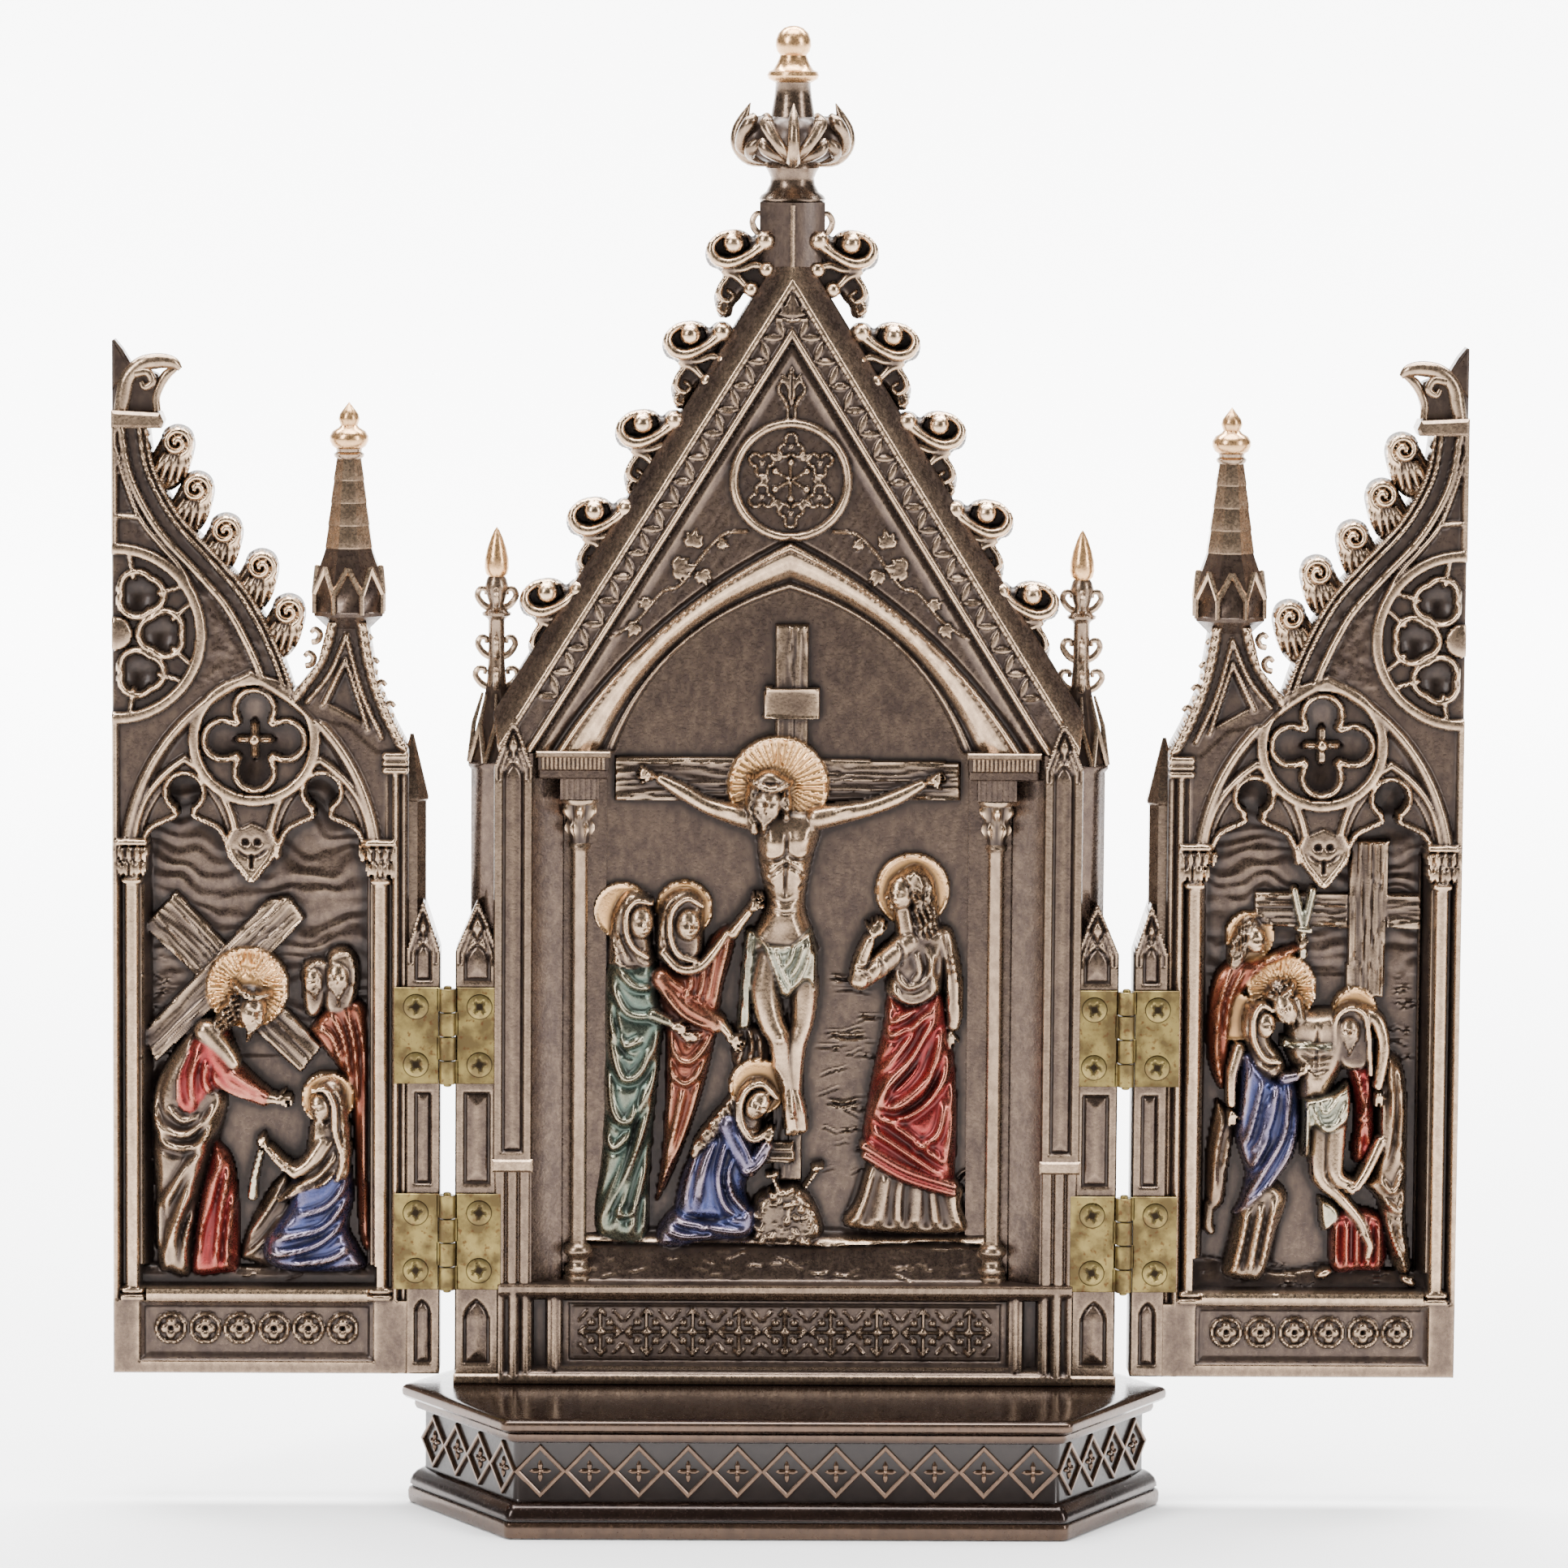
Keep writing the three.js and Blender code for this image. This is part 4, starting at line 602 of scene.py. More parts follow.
        # cuts the board to an outline, snaps its rim to it and closes it with sides and a back
        inside = insideOf(self.x, self.z, outline)
        edge = np.clip(1 + inside / rounding, 0, 1)
        self.h -= rounding * (1 - np.sqrt(np.clip(1 - edge**2, 0, 1)))
        marks = self.wear(edgeRub)
        slopeZ, slopeX = np.gradient(inside, self.cell)
        corner = np.maximum.reduce([inside[:-1, :-1], inside[1:, :-1], inside[:-1, 1:], inside[1:, 1:]])
        used = corner < 0.6 * self.cell
        filled = np.pad(used, 1)
        around = (filled[:-1, :-1].astype(int) + filled[1:, :-1] + filled[:-1, 1:] + filled[1:, 1:])
        x, z = self.x.copy(), self.z.copy()
        rim = (around > 0) & (around < 4) & (np.abs(inside) < 1.5 * self.cell)
        x[rim] -= (inside * slopeX)[rim]
        z[rim] -= (inside * slopeZ)[rim]
        x = np.clip(x, np.min(outline, 0)[0], np.max(outline, 0)[0])
        number = np.full(x.shape, -1)
        number[around > 0] = np.arange((around > 0).sum())
        i, j = np.nonzero(used)
        quads = np.stack([number[i, j], number[i, j + 1], number[i + 1, j + 1], number[i + 1, j]], 1)
        kept = around > 0
        front = np.stack([x[kept], -self.h[kept], z[kept]], 1)
        sides = []
        for di, dj, a, b in ((-1, 0, (0, 0), (0, 1)), (1, 0, (1, 1), (1, 0)), (0, -1, (1, 0), (0, 0)),
                             (0, 1, (0, 1), (1, 1))):
            bare = ~filled[i + 1 + di, j + 1 + dj]
            sides.append(np.stack([number[i + a[0], j + a[1]][bare], number[i + b[0], j + b[1]][bare]], 1))
        sides = np.concatenate(sides)
        rimPoints = np.unique(sides)
        behind = np.full(len(front), -1)
        behind[rimPoints] = len(front) + np.arange(len(rimPoints))
        rear = front[rimPoints].copy()
        rear[:, 1] = back
        quads = np.concatenate([quads, np.stack([sides[:, 1], sides[:, 0], behind[sides[:, 0]],
                                                 behind[sides[:, 1]]], 1)])
        following = {}
        for a, b in sides:
            following.setdefault(behind[a], []).append(behind[b])
        caps = []
        while following:
            start = next(iter(following))
            loop, here = [start], following[start].pop()
            while here != start:
                loop.append(here)
                here = following[here].pop()
            caps.append(loop[::-1])
            following = {k: v for k, v in following.items() if v}
        flat = marks[kept]
        # the back and sides get a little darkening: patina and painted shade
        rearMarks = np.tile(mark(patinaAndShade=0.1), (len(rear), 1))
        casting.add(np.concatenate([front, rear]), quads, caps, np.concatenate([flat, rearMarks]))


plinthSize = {
    "tip": plinthHigh[0], "corner": 44.8, "deep": plinthHigh[1], "frieze": 3.3,
    "middle": 10.7, "halfHeight": 4.45, "frontCount": 11, "sideCount": 4,
    # (height, inset) from the foot roll over the frieze to the glossy top
    "profile": [(0, 1.5), (0.25, 1.1), (0.8, 0.9), (2.0, 0.85), (2.6, 1.0), (2.85, 1.45), (3.05, 1.45),
                (3.2, 1.15),
                (3.8, 1.2), (4.6, 1.5), (5.3, 2.1), (5.7, 2.7), (5.85, 3.2), (6.1, 3.3), (15.2, 3.3),
                (15.4, 2.5),
                (15.6, 2.0), (16.2, 1.75), (16.8, 1.8), (17.05, 2.1), (17.2, 1.5), (17.35, 0.5), (17.8, 0.08),
                (18.5, 0.0), (19.0, 0.12), (19.3, 0.45), (19.45, 1.0), (19.5, 1.8), (19.5, 6.0)],
}


def plinthRing(inset, soft=0.9):
    # the six-sided plan with softened corners
    size = plinthSize
    tip, corner, deep = size["tip"] - 1.153 * inset, size["corner"] - 0.58 * inset, size["deep"] - inset
    plan = np.array([(-tip, 0), (-corner, -deep), (corner, -deep), (tip, 0), (corner, deep), (-corner, deep)])
    ring = []
    for before, here, after in zip(np.roll(plan, 1, 0), plan, np.roll(plan, -1, 0)):
        a = here + (before - here) / np.linalg.norm(before - here) * soft
        b = here + (after - here) / np.linalg.norm(after - here) * soft
        ring += [(1 - t) ** 2 * a + 2 * t * (1 - t) * here + t * t * b for t in (0, 0.25, 0.5, 0.75, 1)]
    return ring


def floret(casting, x, z, out, reach=1.75):
    # four pointed petals round a small boss, on a face that looks along -y
    for k in range(4):
        c, s = math.cos(math.pi / 2 * k), math.sin(math.pi / 2 * k)
        petal = [(x + r * c, out, z + r * s, w) for r,
                 w in ((0.1, 0.2), (0.5, 0.4), (1.0, 0.45), (1.45, 0.28), (reach, 0.05))]
        tube(casting, petal, 8, mark(rub=0.35), flat=0.8)
    ball(casting, x, out - 0.1, z, 0.34, mark(rub=0.5), 8)


def lozenge(casting, x, z, halfWidth, halfHeight, base):
    # a raised diamond frame with a floret in it
    def diamond(share, inset):
        return [(x + (halfWidth - inset) * c, share, z + (halfHeight - inset) * s) for c,
                s in ((1, 0), (0, 1), (-1, 0), (0, -1))]
    rows = [diamond(base + 0.5, 0), diamond(base - 0.42, 0.1), diamond(base - 0.55, 0.3),
            diamond(base - 0.55, 0.85), diamond(base - 0.42, 1.1), diamond(base + 0.5, 1.3)]
    casting.skin(rows, mark(rub=0.3), ringed=True)
    floret(casting, x, z, base - 0.1)


def makePlinth():
    size = plinthSize
    casting = Casting()
    rows, marks = [], []
    for z, inset in size["profile"]:
        ring = plinthRing(inset)
        rows.append([(x, y, z) for x, y in ring])
        # the grooves and the sunk frieze are painted dark: painted shade in the hollows
        groove = 0.7 if 2.7 < z < 3.1 or 17.0 < z < 17.3 or inset > 3.1 and z < 16 else 0.05
        roll = 0.22 if inset < 1.3 and z < 3 or 16 < z < 17 or 17.4 < z < 19.1 else 0.0
        marks += [mark(rub=roll, patinaAndShade=groove)] * len(ring)
    casting.skin(rows, np.array(marks))
    plan = [np.array(p) for p in ((-size["tip"], 0), (-size["corner"], -size["deep"]),
                                  (size["corner"], -size["deep"]), (size["tip"], 0))]
    inset = size["frieze"]
    plan = [np.array((math.copysign(abs(p[0]) - (1.153 if p[1] == 0 else 0.58) * inset, p[0]),
                      min(0, p[1] + inset))) for p in plan]
    for start, end, count in ((plan[0], plan[1], size["sideCount"]), (plan[1], plan[2], size["frontCount"]),
                              (plan[2], plan[3], size["sideCount"])):
        run = np.linalg.norm(end - start)
        row, pitch = Casting(), run / count
        for k in range(count):
            lozenge(row, (k + 0.5) * pitch, size["middle"], pitch / 2 + 0.4, size["halfHeight"],
                    0.02 * (k % 2))
        casting.merge(row, (*start, 0), math.atan2(*(end - start)[::-1]))
    return casting.make("plinthCasting", "stand", plinthBronze, ["base_plinth"], 34)


hingeSize = {"pitch": 9.4, "leafThick": 0.8, "barrel": 1.35, "knuckles": 4, "gap": 0.16, "head": 2.1,
             "reach": 5.1}


def hingeLeaf(side, level, part):
    node = f"hinge_{side}_{level}_{part}_leaf"
    low, high = boxOf(node)
    pinLow, pinHigh = boxOf(f"hinge_{side}_{level}_pin")
    pinX, pinY = (pinLow[0] + pinHigh[0]) / 2, (pinLow[1] + pinHigh[1]) / 2
    size = hingeSize
    casting = Casting()
    outer = low[0] if abs(low[0] - pinX) > abs(high[0] - pinX) else high[0]
    toPin = math.copysign(1, pinX - outer)
    step = (high[2] - low[2]) / size["knuckles"]
    first = 0 if part == "fixed" else 1
    near = pinX - toPin * (size["barrel"] + 0.12)
    slab(casting, rectangle(outer, near, low[2], high[2]), -size["leafThick"], 0.0, 0.09)
    for k in range(first, size["knuckles"], 2):
        bottom, top = low[2] + k * step + size["gap"] / 2, low[2] + (k + 1) * step - size["gap"] / 2
        web = rectangle(near - toPin * 0.3, pinX - toPin * 0.2, bottom, top)
        slab(casting, web, -size["leafThick"], -0.1, 0.05)
        r = size["barrel"]
        turned(casting, [(r - 0.12, bottom), (r, bottom + 0.1), (r, top - 0.1), (r - 0.12, top)], pinX, pinY,
               28)
    body = "stand" if part == "fixed" else f"{side}_wing"
    return casting.make(f"hingeLeaf_{side}_{level}_{part}", body, tarnishedBrass, [node], 32)


def hingePin(side, level):
    node = f"hinge_{side}_{level}_pin"
    low, high = boxOf(node)
    x, y = (low[0] + high[0]) / 2, (low[1] + high[1]) / 2
    casting = Casting()
    profile = [(0.35, low[2]), (0.62, low[2] + 0.12), (0.65, low[2] + 0.4), (0.65, high[2] - 0.4),
               (0.62, high[2] - 0.12), (0.35, high[2])]
    turned(casting, profile, x, y, 20)
    return casting.make(f"hingePin_{side}_{level}", "stand", tarnishedBrass, [node], 40)


def crossRecess(x, z):
    # depth of a cross-head recess at a place on the head
    arm = np.minimum(np.maximum(np.abs(x) - 0.26, np.abs(z) - 1.2),
                     np.maximum(np.abs(z) - 0.26, np.abs(x) - 1.2))
    star = np.hypot(x, z) - 0.62
    return np.clip(0.5 - np.minimum(arm, star) / 0.16, 0, 1) * (0.75 - 0.28 * np.hypot(x, z))


def screw(side, level, part, number, angle):
    node = f"screw_{side}_{level}_{part}_{number}"
    high = boxOf(node)[1]
    leafLow, leafHigh = boxOf(f"hinge_{side}_{level}_{part}_leaf")
    pinLow, pinHigh = boxOf(f"hinge_{side}_{level}_pin")
    size = hingeSize
    outward = -1 if (side == "left") == (part == "wing") else 1
    cx = (pinLow[0] + pinHigh[0]) / 2 + outward * size["reach"]
    cz = (leafLow[2] + leafHigh[2]) / 2 + (size["pitch"] / 2 if number == 2 else -size["pitch"] / 2)
    angles = 2 * math.pi * np.arange(48) / 48 + angle
    face = -size["leafThick"]
    rows, marks = [], []
    radii = [0.05, 0.2, 0.35, 0.5, 0.62, 0.74, 0.86, 0.98, 1.1, 1.22, 1.36, 1.6, 1.85, 1.99, size["head"]]
    for r in radii:
        x, z = r * np.cos(angles - angle), r * np.sin(angles - angle)
        deep = crossRecess(x, z)
        lift = 0.2 * (1 - (r / size["head"]) ** 4)
        y = face - lift + np.minimum(deep, lift - 0.02)
        rows.append(np.stack([cx + r * np.cos(angles), y, cz + r * np.sin(angles)], 1))
        # painted shade in the cross and a painted shadow ring round the head's rim
        rim = 0.85 if r > 1.95 else 0.0
        marks.append(np.stack([mark(patinaAndShade=min(1, d * 1.6 + rim), rub=0.2) for d in deep]))
    # the underside and shank are painted dark: painted shade under the head
    for r, y, dark in ((size["head"], face + 0.12, 0.9), (1.3, 0.1, 0.9), (0.8, 0.6, 0.5),
                       (0.75, high[1] - 0.6, 0.3), (0.2, high[1], 0.3)):
        rows.append(np.stack([cx + r * np.cos(angles), np.full(48, y), cz + r * np.sin(angles)], 1))
        marks.append(np.tile(mark(patinaAndShade=dark), (48, 1)))
    casting = Casting()
    casting.skin(rows, np.concatenate(marks))
    body = "stand" if part == "fixed" else f"{side}_wing"
    return casting.make(f"crossHeadScrew_{side}_{level}_{part}_{number}", body, tarnishedBrass,
                        [node], 38)


def makeHinges():
    random = np.random.default_rng(11)
    for side in ("left", "right"):
        for level in ("upper", "lower"):
            hingePin(side, level)
            for part in ("fixed", "wing"):
                hingeLeaf(side, level, part)
                for number in (1, 2):
                    screw(side, level, part, number, random.uniform(0, math.pi / 2))


def gothicStrip(casting, left, right, bottom, eaves, apex, panels, front, back, cell=0.25):
    # an upright strip with a small gable and sunk panels; panels are (bottom, top, kind)
    middle, half = (left + right) / 2, (right - left) / 2
    board = Board(left - 1, right + 1, bottom - 0.5, apex + 1, cell, front)
    outline = [(left, bottom), (right, bottom), (right, eaves), (middle, apex), (left, eaves)]
    inside = insideOf(board.x, board.z, outline)
    rim = np.clip(1 - np.abs(inside + 0.75) / 0.35, 0, 1) * (board.z > eaves - 2)
    board.h -= 0.4 * rim
    inner = half - 1.35
    for low, high, kind in panels:
        if kind == "square":
            shape = rectangle(middle - inner, middle + inner, low, high)
        else:
            shape = np.vstack([[(middle - inner, low)],
                               archLine(middle, inner, high - inner * 1.5, high, 0.12),
                               [(middle + inner, low)]])
        at = board.window(shape, 0.6)
        depth = -insideOf(board.x[at], board.z[at], shape)
        brink = np.exp(-((depth - 0.25) / 0.24) ** 2) * 0.42
        hollow = np.clip(depth / 0.3, 0, 1) * 0.3 * np.exp(-np.clip(depth - 0.5, 0, 9) ** 2 / 1.4)
        board.h[at] -= np.where(depth > -0.2, brink + hollow, 0)
        if kind == "lancet":
            # a lancet, with a small diamond between its head and the gable
            top = high + (apex - high) * 0.52
            gem = [(middle, high + 0.5), (middle + inner * 0.42, top - 1), (middle, apex - 2.6),
                   (middle - inner * 0.42, top - 1)]
            at = board.window(gem, 0.8)
            depth = -insideOf(board.x[at], board.z[at], gem)
            board.h[at] -= 0.5 * np.exp(-((depth + 0.2) / 0.3) ** 2)
            for side in (-1, 1):
                board.fold([(middle + side * inner, high - inner * 1.4),
                            (middle + side * inner * 0.55, high + 0.6), (middle, high + 2)], 0.28, -0.42,
                           groove=0.0)
    board.cast(casting, outline, back)


def flangeStrip(casting, left, right, foot):
    size = flangeSize
    panels = [(foot + 1.8, size["lowTop"], "pointed"), (size["midBottom"], size["midTop"], "square"),
              (size["upBottom"], size["upTop"], "lancet")]
    gothicStrip(casting, left, right, foot, size["eaves"], size["apex"], panels, 0.0, size["back"])


flangeSize = {"width": 7.0, "eaves": 89.8, "apex": 98.2, "lowTop": 33.2, "midBottom": 52.0, "midTop": 67.0,
              "upBottom": 85.0, "upTop": 91.2, "back": 9.0}


centreSize = {
    "foot": centreLow[2], "edge": 53.3, "back": 12.5, "rear": 13.0, "floor": 7.0, "apex": 198.0,
    "slope": 1.61, "chamfer": 3.4,
    "spring": 121.9, "niche": 28.0, "nicheApex": 147.9, "archHalf": 37.5, "archApex": 155.8, "column": 33.5,
    "columnY": 3.9, "pilaster": 44.1, "pier": 47.0, "sill": 36.0,
}


def edgeDistance(x, z):
    # how far inside the gable's front edge a place is, square to the slope
    size = centreSize
    return (size["apex"] - z - size["slope"] * np.abs(x)) / math.hypot(1, size["slope"])


def gableGround(board):
    # chamfer, fillet, leaf band, rib and sunk tympanum, worked out from the distance to the edge
    e = edgeDistance(board.x, board.z)
    steps = [(-3.4, -3.0), (-0.15, -0.25), (0.05, 0.0), (0.75, 0.0), (0.95, -0.85), (3.95, -0.85),
             (4.15, -0.1), (4.55, 0.0), (5.0, -0.15), (5.3, -1.5), (5.6, -1.15), (6.4, -1.0), (7.4, -1.5)]
    board.h = np.interp(e, *zip(*steps))
    board.paint[:] = 0
    return e


def gableArch(board):
    # broad hollow moulding between an outer and an inner rib
    size = centreSize
    outer = archLine(0, size["archHalf"], size["spring"], size["archApex"], 0.07, 20)
    inner = archLine(0, size["niche"], size["spring"], size["nicheApex"], 0.13, 20)
    outerFar, _, _ = nearLine(board.x, board.z, outer)
    innerFar, _, _ = nearLine(board.x, board.z, inner)
    within = insideOf(board.x, board.z, outer) < 0
    share = outerFar / np.maximum(outerFar + innerFar, 1e-6)
    profile = [(0, -0.6), (0.03, -0.25), (0.08, 0.0), (0.12, -0.25), (0.15, -0.9), (0.2, -0.75), (0.34, -0.9),
               (0.52, -1.6), (0.66, -2.6), (0.72, -3.3), (0.76, -3.7), (0.8, -3.5), (0.86, -3.1),
               (0.93, -3.3), (1.0, -4.4)]
    hollow = np.interp(share, *zip(*profile))
    board.h = np.where(within & (board.z > size["spring"] - 1), hollow, board.h)
    # the broad hollow band is painted bright and more metallic: a painted highlight for the sheen along the
    # hollow
    band = within & (share > 0.15) & (share < 0.7) & (board.z > size["spring"] - 1)
    board.paint[band] = finishNames.index("paintedSheen")
    halo = np.clip(1 - np.abs(outerFar - 0.5) / 0.6, 0, 1) * ~within
    board.h -= 0.5 * halo


def leafBand(board):
    # pairs of leaves that meet in a v against the inner rib
    size = centreSize
    slant = math.hypot(1, size["slope"])
    for side in (-1, 1):
        for k in range(17):
            apexZ = 192.4 - k * 3.83

            def at(e, z):
                return side * (size["apex"] - z - e * slant) / size["slope"], z
            meet = at(3.85, apexZ)
            out = at(1.0, apexZ)
            up = at(1.05, apexZ + 3.4)
            if abs(out[0]) > 45 or apexZ < 128.5 or abs(meet[0]) < 0.9:
                continue
            board.leaf(out, meet, 1.25, -0.3, 0.4, vein=0.18)
            board.leaf(up, meet, 1.25, -0.3, 0.4, vein=0.18)
    board.leaf((0, 191.6), (0, 196.2), 1.5, -0.2, 0.4)
    for side in (-1, 1):
        board.leaf((side * 0.3, 191.8), (side * 1.9, 194.0), 1.1, -0.25, 0.4)
        board.line([(side * 0.2, 191.3), (side * 2.4, 191.6)], 0.6, -0.3)


def medallion(board, x0, z0):
    # a ring round six trefoils, with a six-rayed star between them
    radius = 9.1
    far = np.hypot(board.x - x0, board.z - z0)
    board.h = np.where(far < radius, -1.55, board.h)
    ring = np.where(np.abs(far - radius) < 0.75, -0.35 - 0.6 * ((far - radius) / 0.75) ** 2, outside)
    board.put(np.s_[:, :], ring, None, 0.1)
    for k in range(6):
        angle = math.pi / 3 * k + math.pi / 6
        c, s = math.cos(angle), math.sin(angle)
        cx, cz = x0 + 5.35 * c, z0 + 5.35 * s
        for turn in (-2.2, 0.0, 2.2):
            a = angle + turn * 0.95
            lx, lz = cx + 1.2 * math.cos(a), cz + 1.2 * math.sin(a)
            sweep = np.linspace(a - 2.0, a + 2.0, 12)
            board.line(np.stack([lx + 0.95 * np.cos(sweep), lz + 0.95 * np.sin(sweep)], 1), 0.55, -0.75)
        board.blob(cx, cz, 0.45, 0.45, 0.45, rise=0.4)
        board.line([(x0 + 0.3 * c, z0 + 0.3 * s), (x0 + 2.6 * c, z0 + 2.6 * s)], 0.5, -0.8)
        board.blob(x0 + 2.9 * c, z0 + 2.9 * s, 0.55, 0.55, 0.8, rise=0.6)
        between = angle + math.pi / 6
        bx, bz = x0 + 3.6 * math.cos(between), z0 + 3.6 * math.sin(between)
        for turn in (-0.5, 0.5):
            tip = (bx + 1.9 * math.cos(between + turn), bz + 1.9 * math.sin(between + turn))
            board.leaf((bx, bz), tip, 1.2, -0.75, 0.5)


def palmette(board, x0, z0):
    # two stems that open into a three-tipped leaf with a slit
    for side in (-1, 1):
        board.line([(x0 + side * 0.5, z0 - 4), (x0 + side * 0.8, z0 - 1.2), (x0 + side * 2.1, z0 + 1.0),
                    (x0 + side * 1.5, z0 + 2.6)], 0.6, -0.75, smooth=True)
        board.leaf((x0 + side * 0.4, z0 + 1.4), (x0 + side * 1.5, z0 + 3.6), 1.0, -0.65, 0.5)
    board.leaf((x0, z0 - 1.6), (x0, z0 + 4.8), 1.5, -0.6, 0.5, vein=0.5)


def vineSpray(board, side):
    # a stem from the medallion down to the foot of the gable, with three lobed leaves
    stem = [(side * x, z) for x, z in ((7.0, 157.6), (10.5, 157.2), (13.5, 154.4), (17.6, 149.0),
                                       (20.5, 147.8), (24.5, 143.2), (28.5, 140.6))]
    board.line(stem, 0.6, -0.75, smooth=True)
    for x, z, angle, reach in ((15.6, 155.2, 100, 3.0), (18.6, 151.6, 175, 3.6), (14.2, 151.2, 250, 2.6),
                               (24.6, 142.6, 300, 2.4), (22.6, 145.8, 20, 2.0), (11.5, 155.8, 200, 1.8)):
        for turn in (-62, -31, 0, 31, 62):
            a = math.radians(angle + turn)
            length = reach * (1 - abs(turn) / 150)
            board.leaf((side * x, z), (side * (x + length * math.cos(a)), z + length * math.sin(a)),
                       reach * 0.44, -0.55, 0.5, vein=0.15)


def makeGable():
    size = centreSize
    board = Board(-51.5, 51.5, size["spring"] - 1.5, size["apex"] + 6, 0.243, -1.5)
    gableGround(board)
    leafBand(board)
    medallion(board, 0, 165.8)
    palmette(board, 0, 179.2)
    for side in (-1, 1):
        vineSpray(board, side)
    gableArch(board)
    board.ground = 0.0
    board.grain(rectangle(-52, 52, 120, 206), 0.5, 0.035, 4, 60)
    reach = size["chamfer"] * math.hypot(1, size["slope"]) / size["slope"]
    top = size["apex"] + 5.4
    foot = size["spring"]
    half = (size["apex"] - 128) / size["slope"] + reach
    high = (size["apex"] - top) / size["slope"] + reach * 1.02
    inner = archLine(0, size["niche"], foot, size["nicheApex"], 0.13, 20)
    outline = np.vstack([[(-half, 128), (-46.5, foot)], inner,
                         [(46.5, foot), (half, 128), (abs(high) + 0.2, top), (-abs(high) - 0.2, top)]])
    casting = Casting()
    board.cast(casting, outline, size["back"], 0.3)
    return casting.make("gableCarving", "stand", panelBronze, ["centre_panel"], 50)


def predella(casting):
    # base band: a panel of crossed lozenges between two posts and two sunk side panels
    size = centreSize
    board = Board(-47, 47, size["foot"] - 0.5, 36.5, 0.25, 0.0)
    z = board.z
    steps = [(19, 1.0), (20.4, 1.2), (21.0, 0.9), (21.6, 0.1), (33.4, 0.1), (33.9, 0.5), (34.4, 1.1),
             (35.6, 1.2), (36.4, 0.9)]
    board.h = np.interp(z, *zip(*steps))
    board.ramp(rectangle(-40.8, -38.4, 22, 33.2), -1.4)
    board.ramp(rectangle(38.4, 40.8, 22, 33.2), -1.4)
    board.ramp(rectangle(-36.0, 36.0, 22.4, 33.3), -0.7)
    board.ramp(rectangle(-34.9, 34.9, 23.1, 32.6), -1.1)
    board.line([(-34.4, 23.6), (34.4, 23.6), (34.4, 32.2), (-34.4, 32.2), (-34.4, 23.6)], 0.35, -0.9)
    for side in (-1, 1):
        board.line([(side * 37.2, 22), (side * 37.2, 33.4)], 1.5, 0.5)
        for reed, height in ((41.9, 0.7), (43.8, 1.2), (46.0, 0.8)):
            board.line([(side * reed, 20.5), (side * reed, 36.5)], 1.9, height)
    pitch, middle = 7.45, 27.9
    for k in range(9):
        cx = (k - 4) * pitch
        for sx, sz in ((1, 0), (-1, 0), (0, 1), (0, -1)):
            reach = 3.3 if sx else 3.7
            tip = (cx + sx * reach, middle + sz * reach)
            board.line([(cx, middle), tip], 0.62, -0.55)
            board.line([(tip[0] - sx * 0.9 + sz * 0.8, tip[1] - sz * 0.9 + sx * 0.8), tip,
                        (tip[0] - sx * 0.9 - sz * 0.8, tip[1] - sz * 0.9 - sx * 0.8)], 0.5, -0.55)
        for sx in (-1, 1):
            for sz in (-1, 1):
                board.blob(cx + sx * 1.5, middle + sz * 1.5, 0.62, 0.62, -0.45, rise=0.6)
                board.line([(cx + sx * 2.2, middle + sz * 3.4), (cx + sx * 3.4, middle + sz * 2.0)], 0.45,
                           -0.7)
        board.blob(cx, middle, 0.7, 0.7, -0.35, rise=0.5)
    board.cast(casting, rectangle(-46.4, 46.4, size["foot"], 36), size["back"], edgeRub=0.5)


def jamb(casting, side):
    # the splayed side of the niche behind the column, as an upright extrusion
    size = centreSize
    plan = [(46.4, 0.4), (46.4, 12.5), (29.2, 12.5), (29.2, 6.2), (36, 5.6), (36.2, 3.4), (40.9, 0.2),
            (41.0, 0.0), (41.6, -0.2), (42.0, 0.2)]
    prism(casting, [(side * x, y) for x, y in plan], size["sill"] - 0.5, size["spring"])


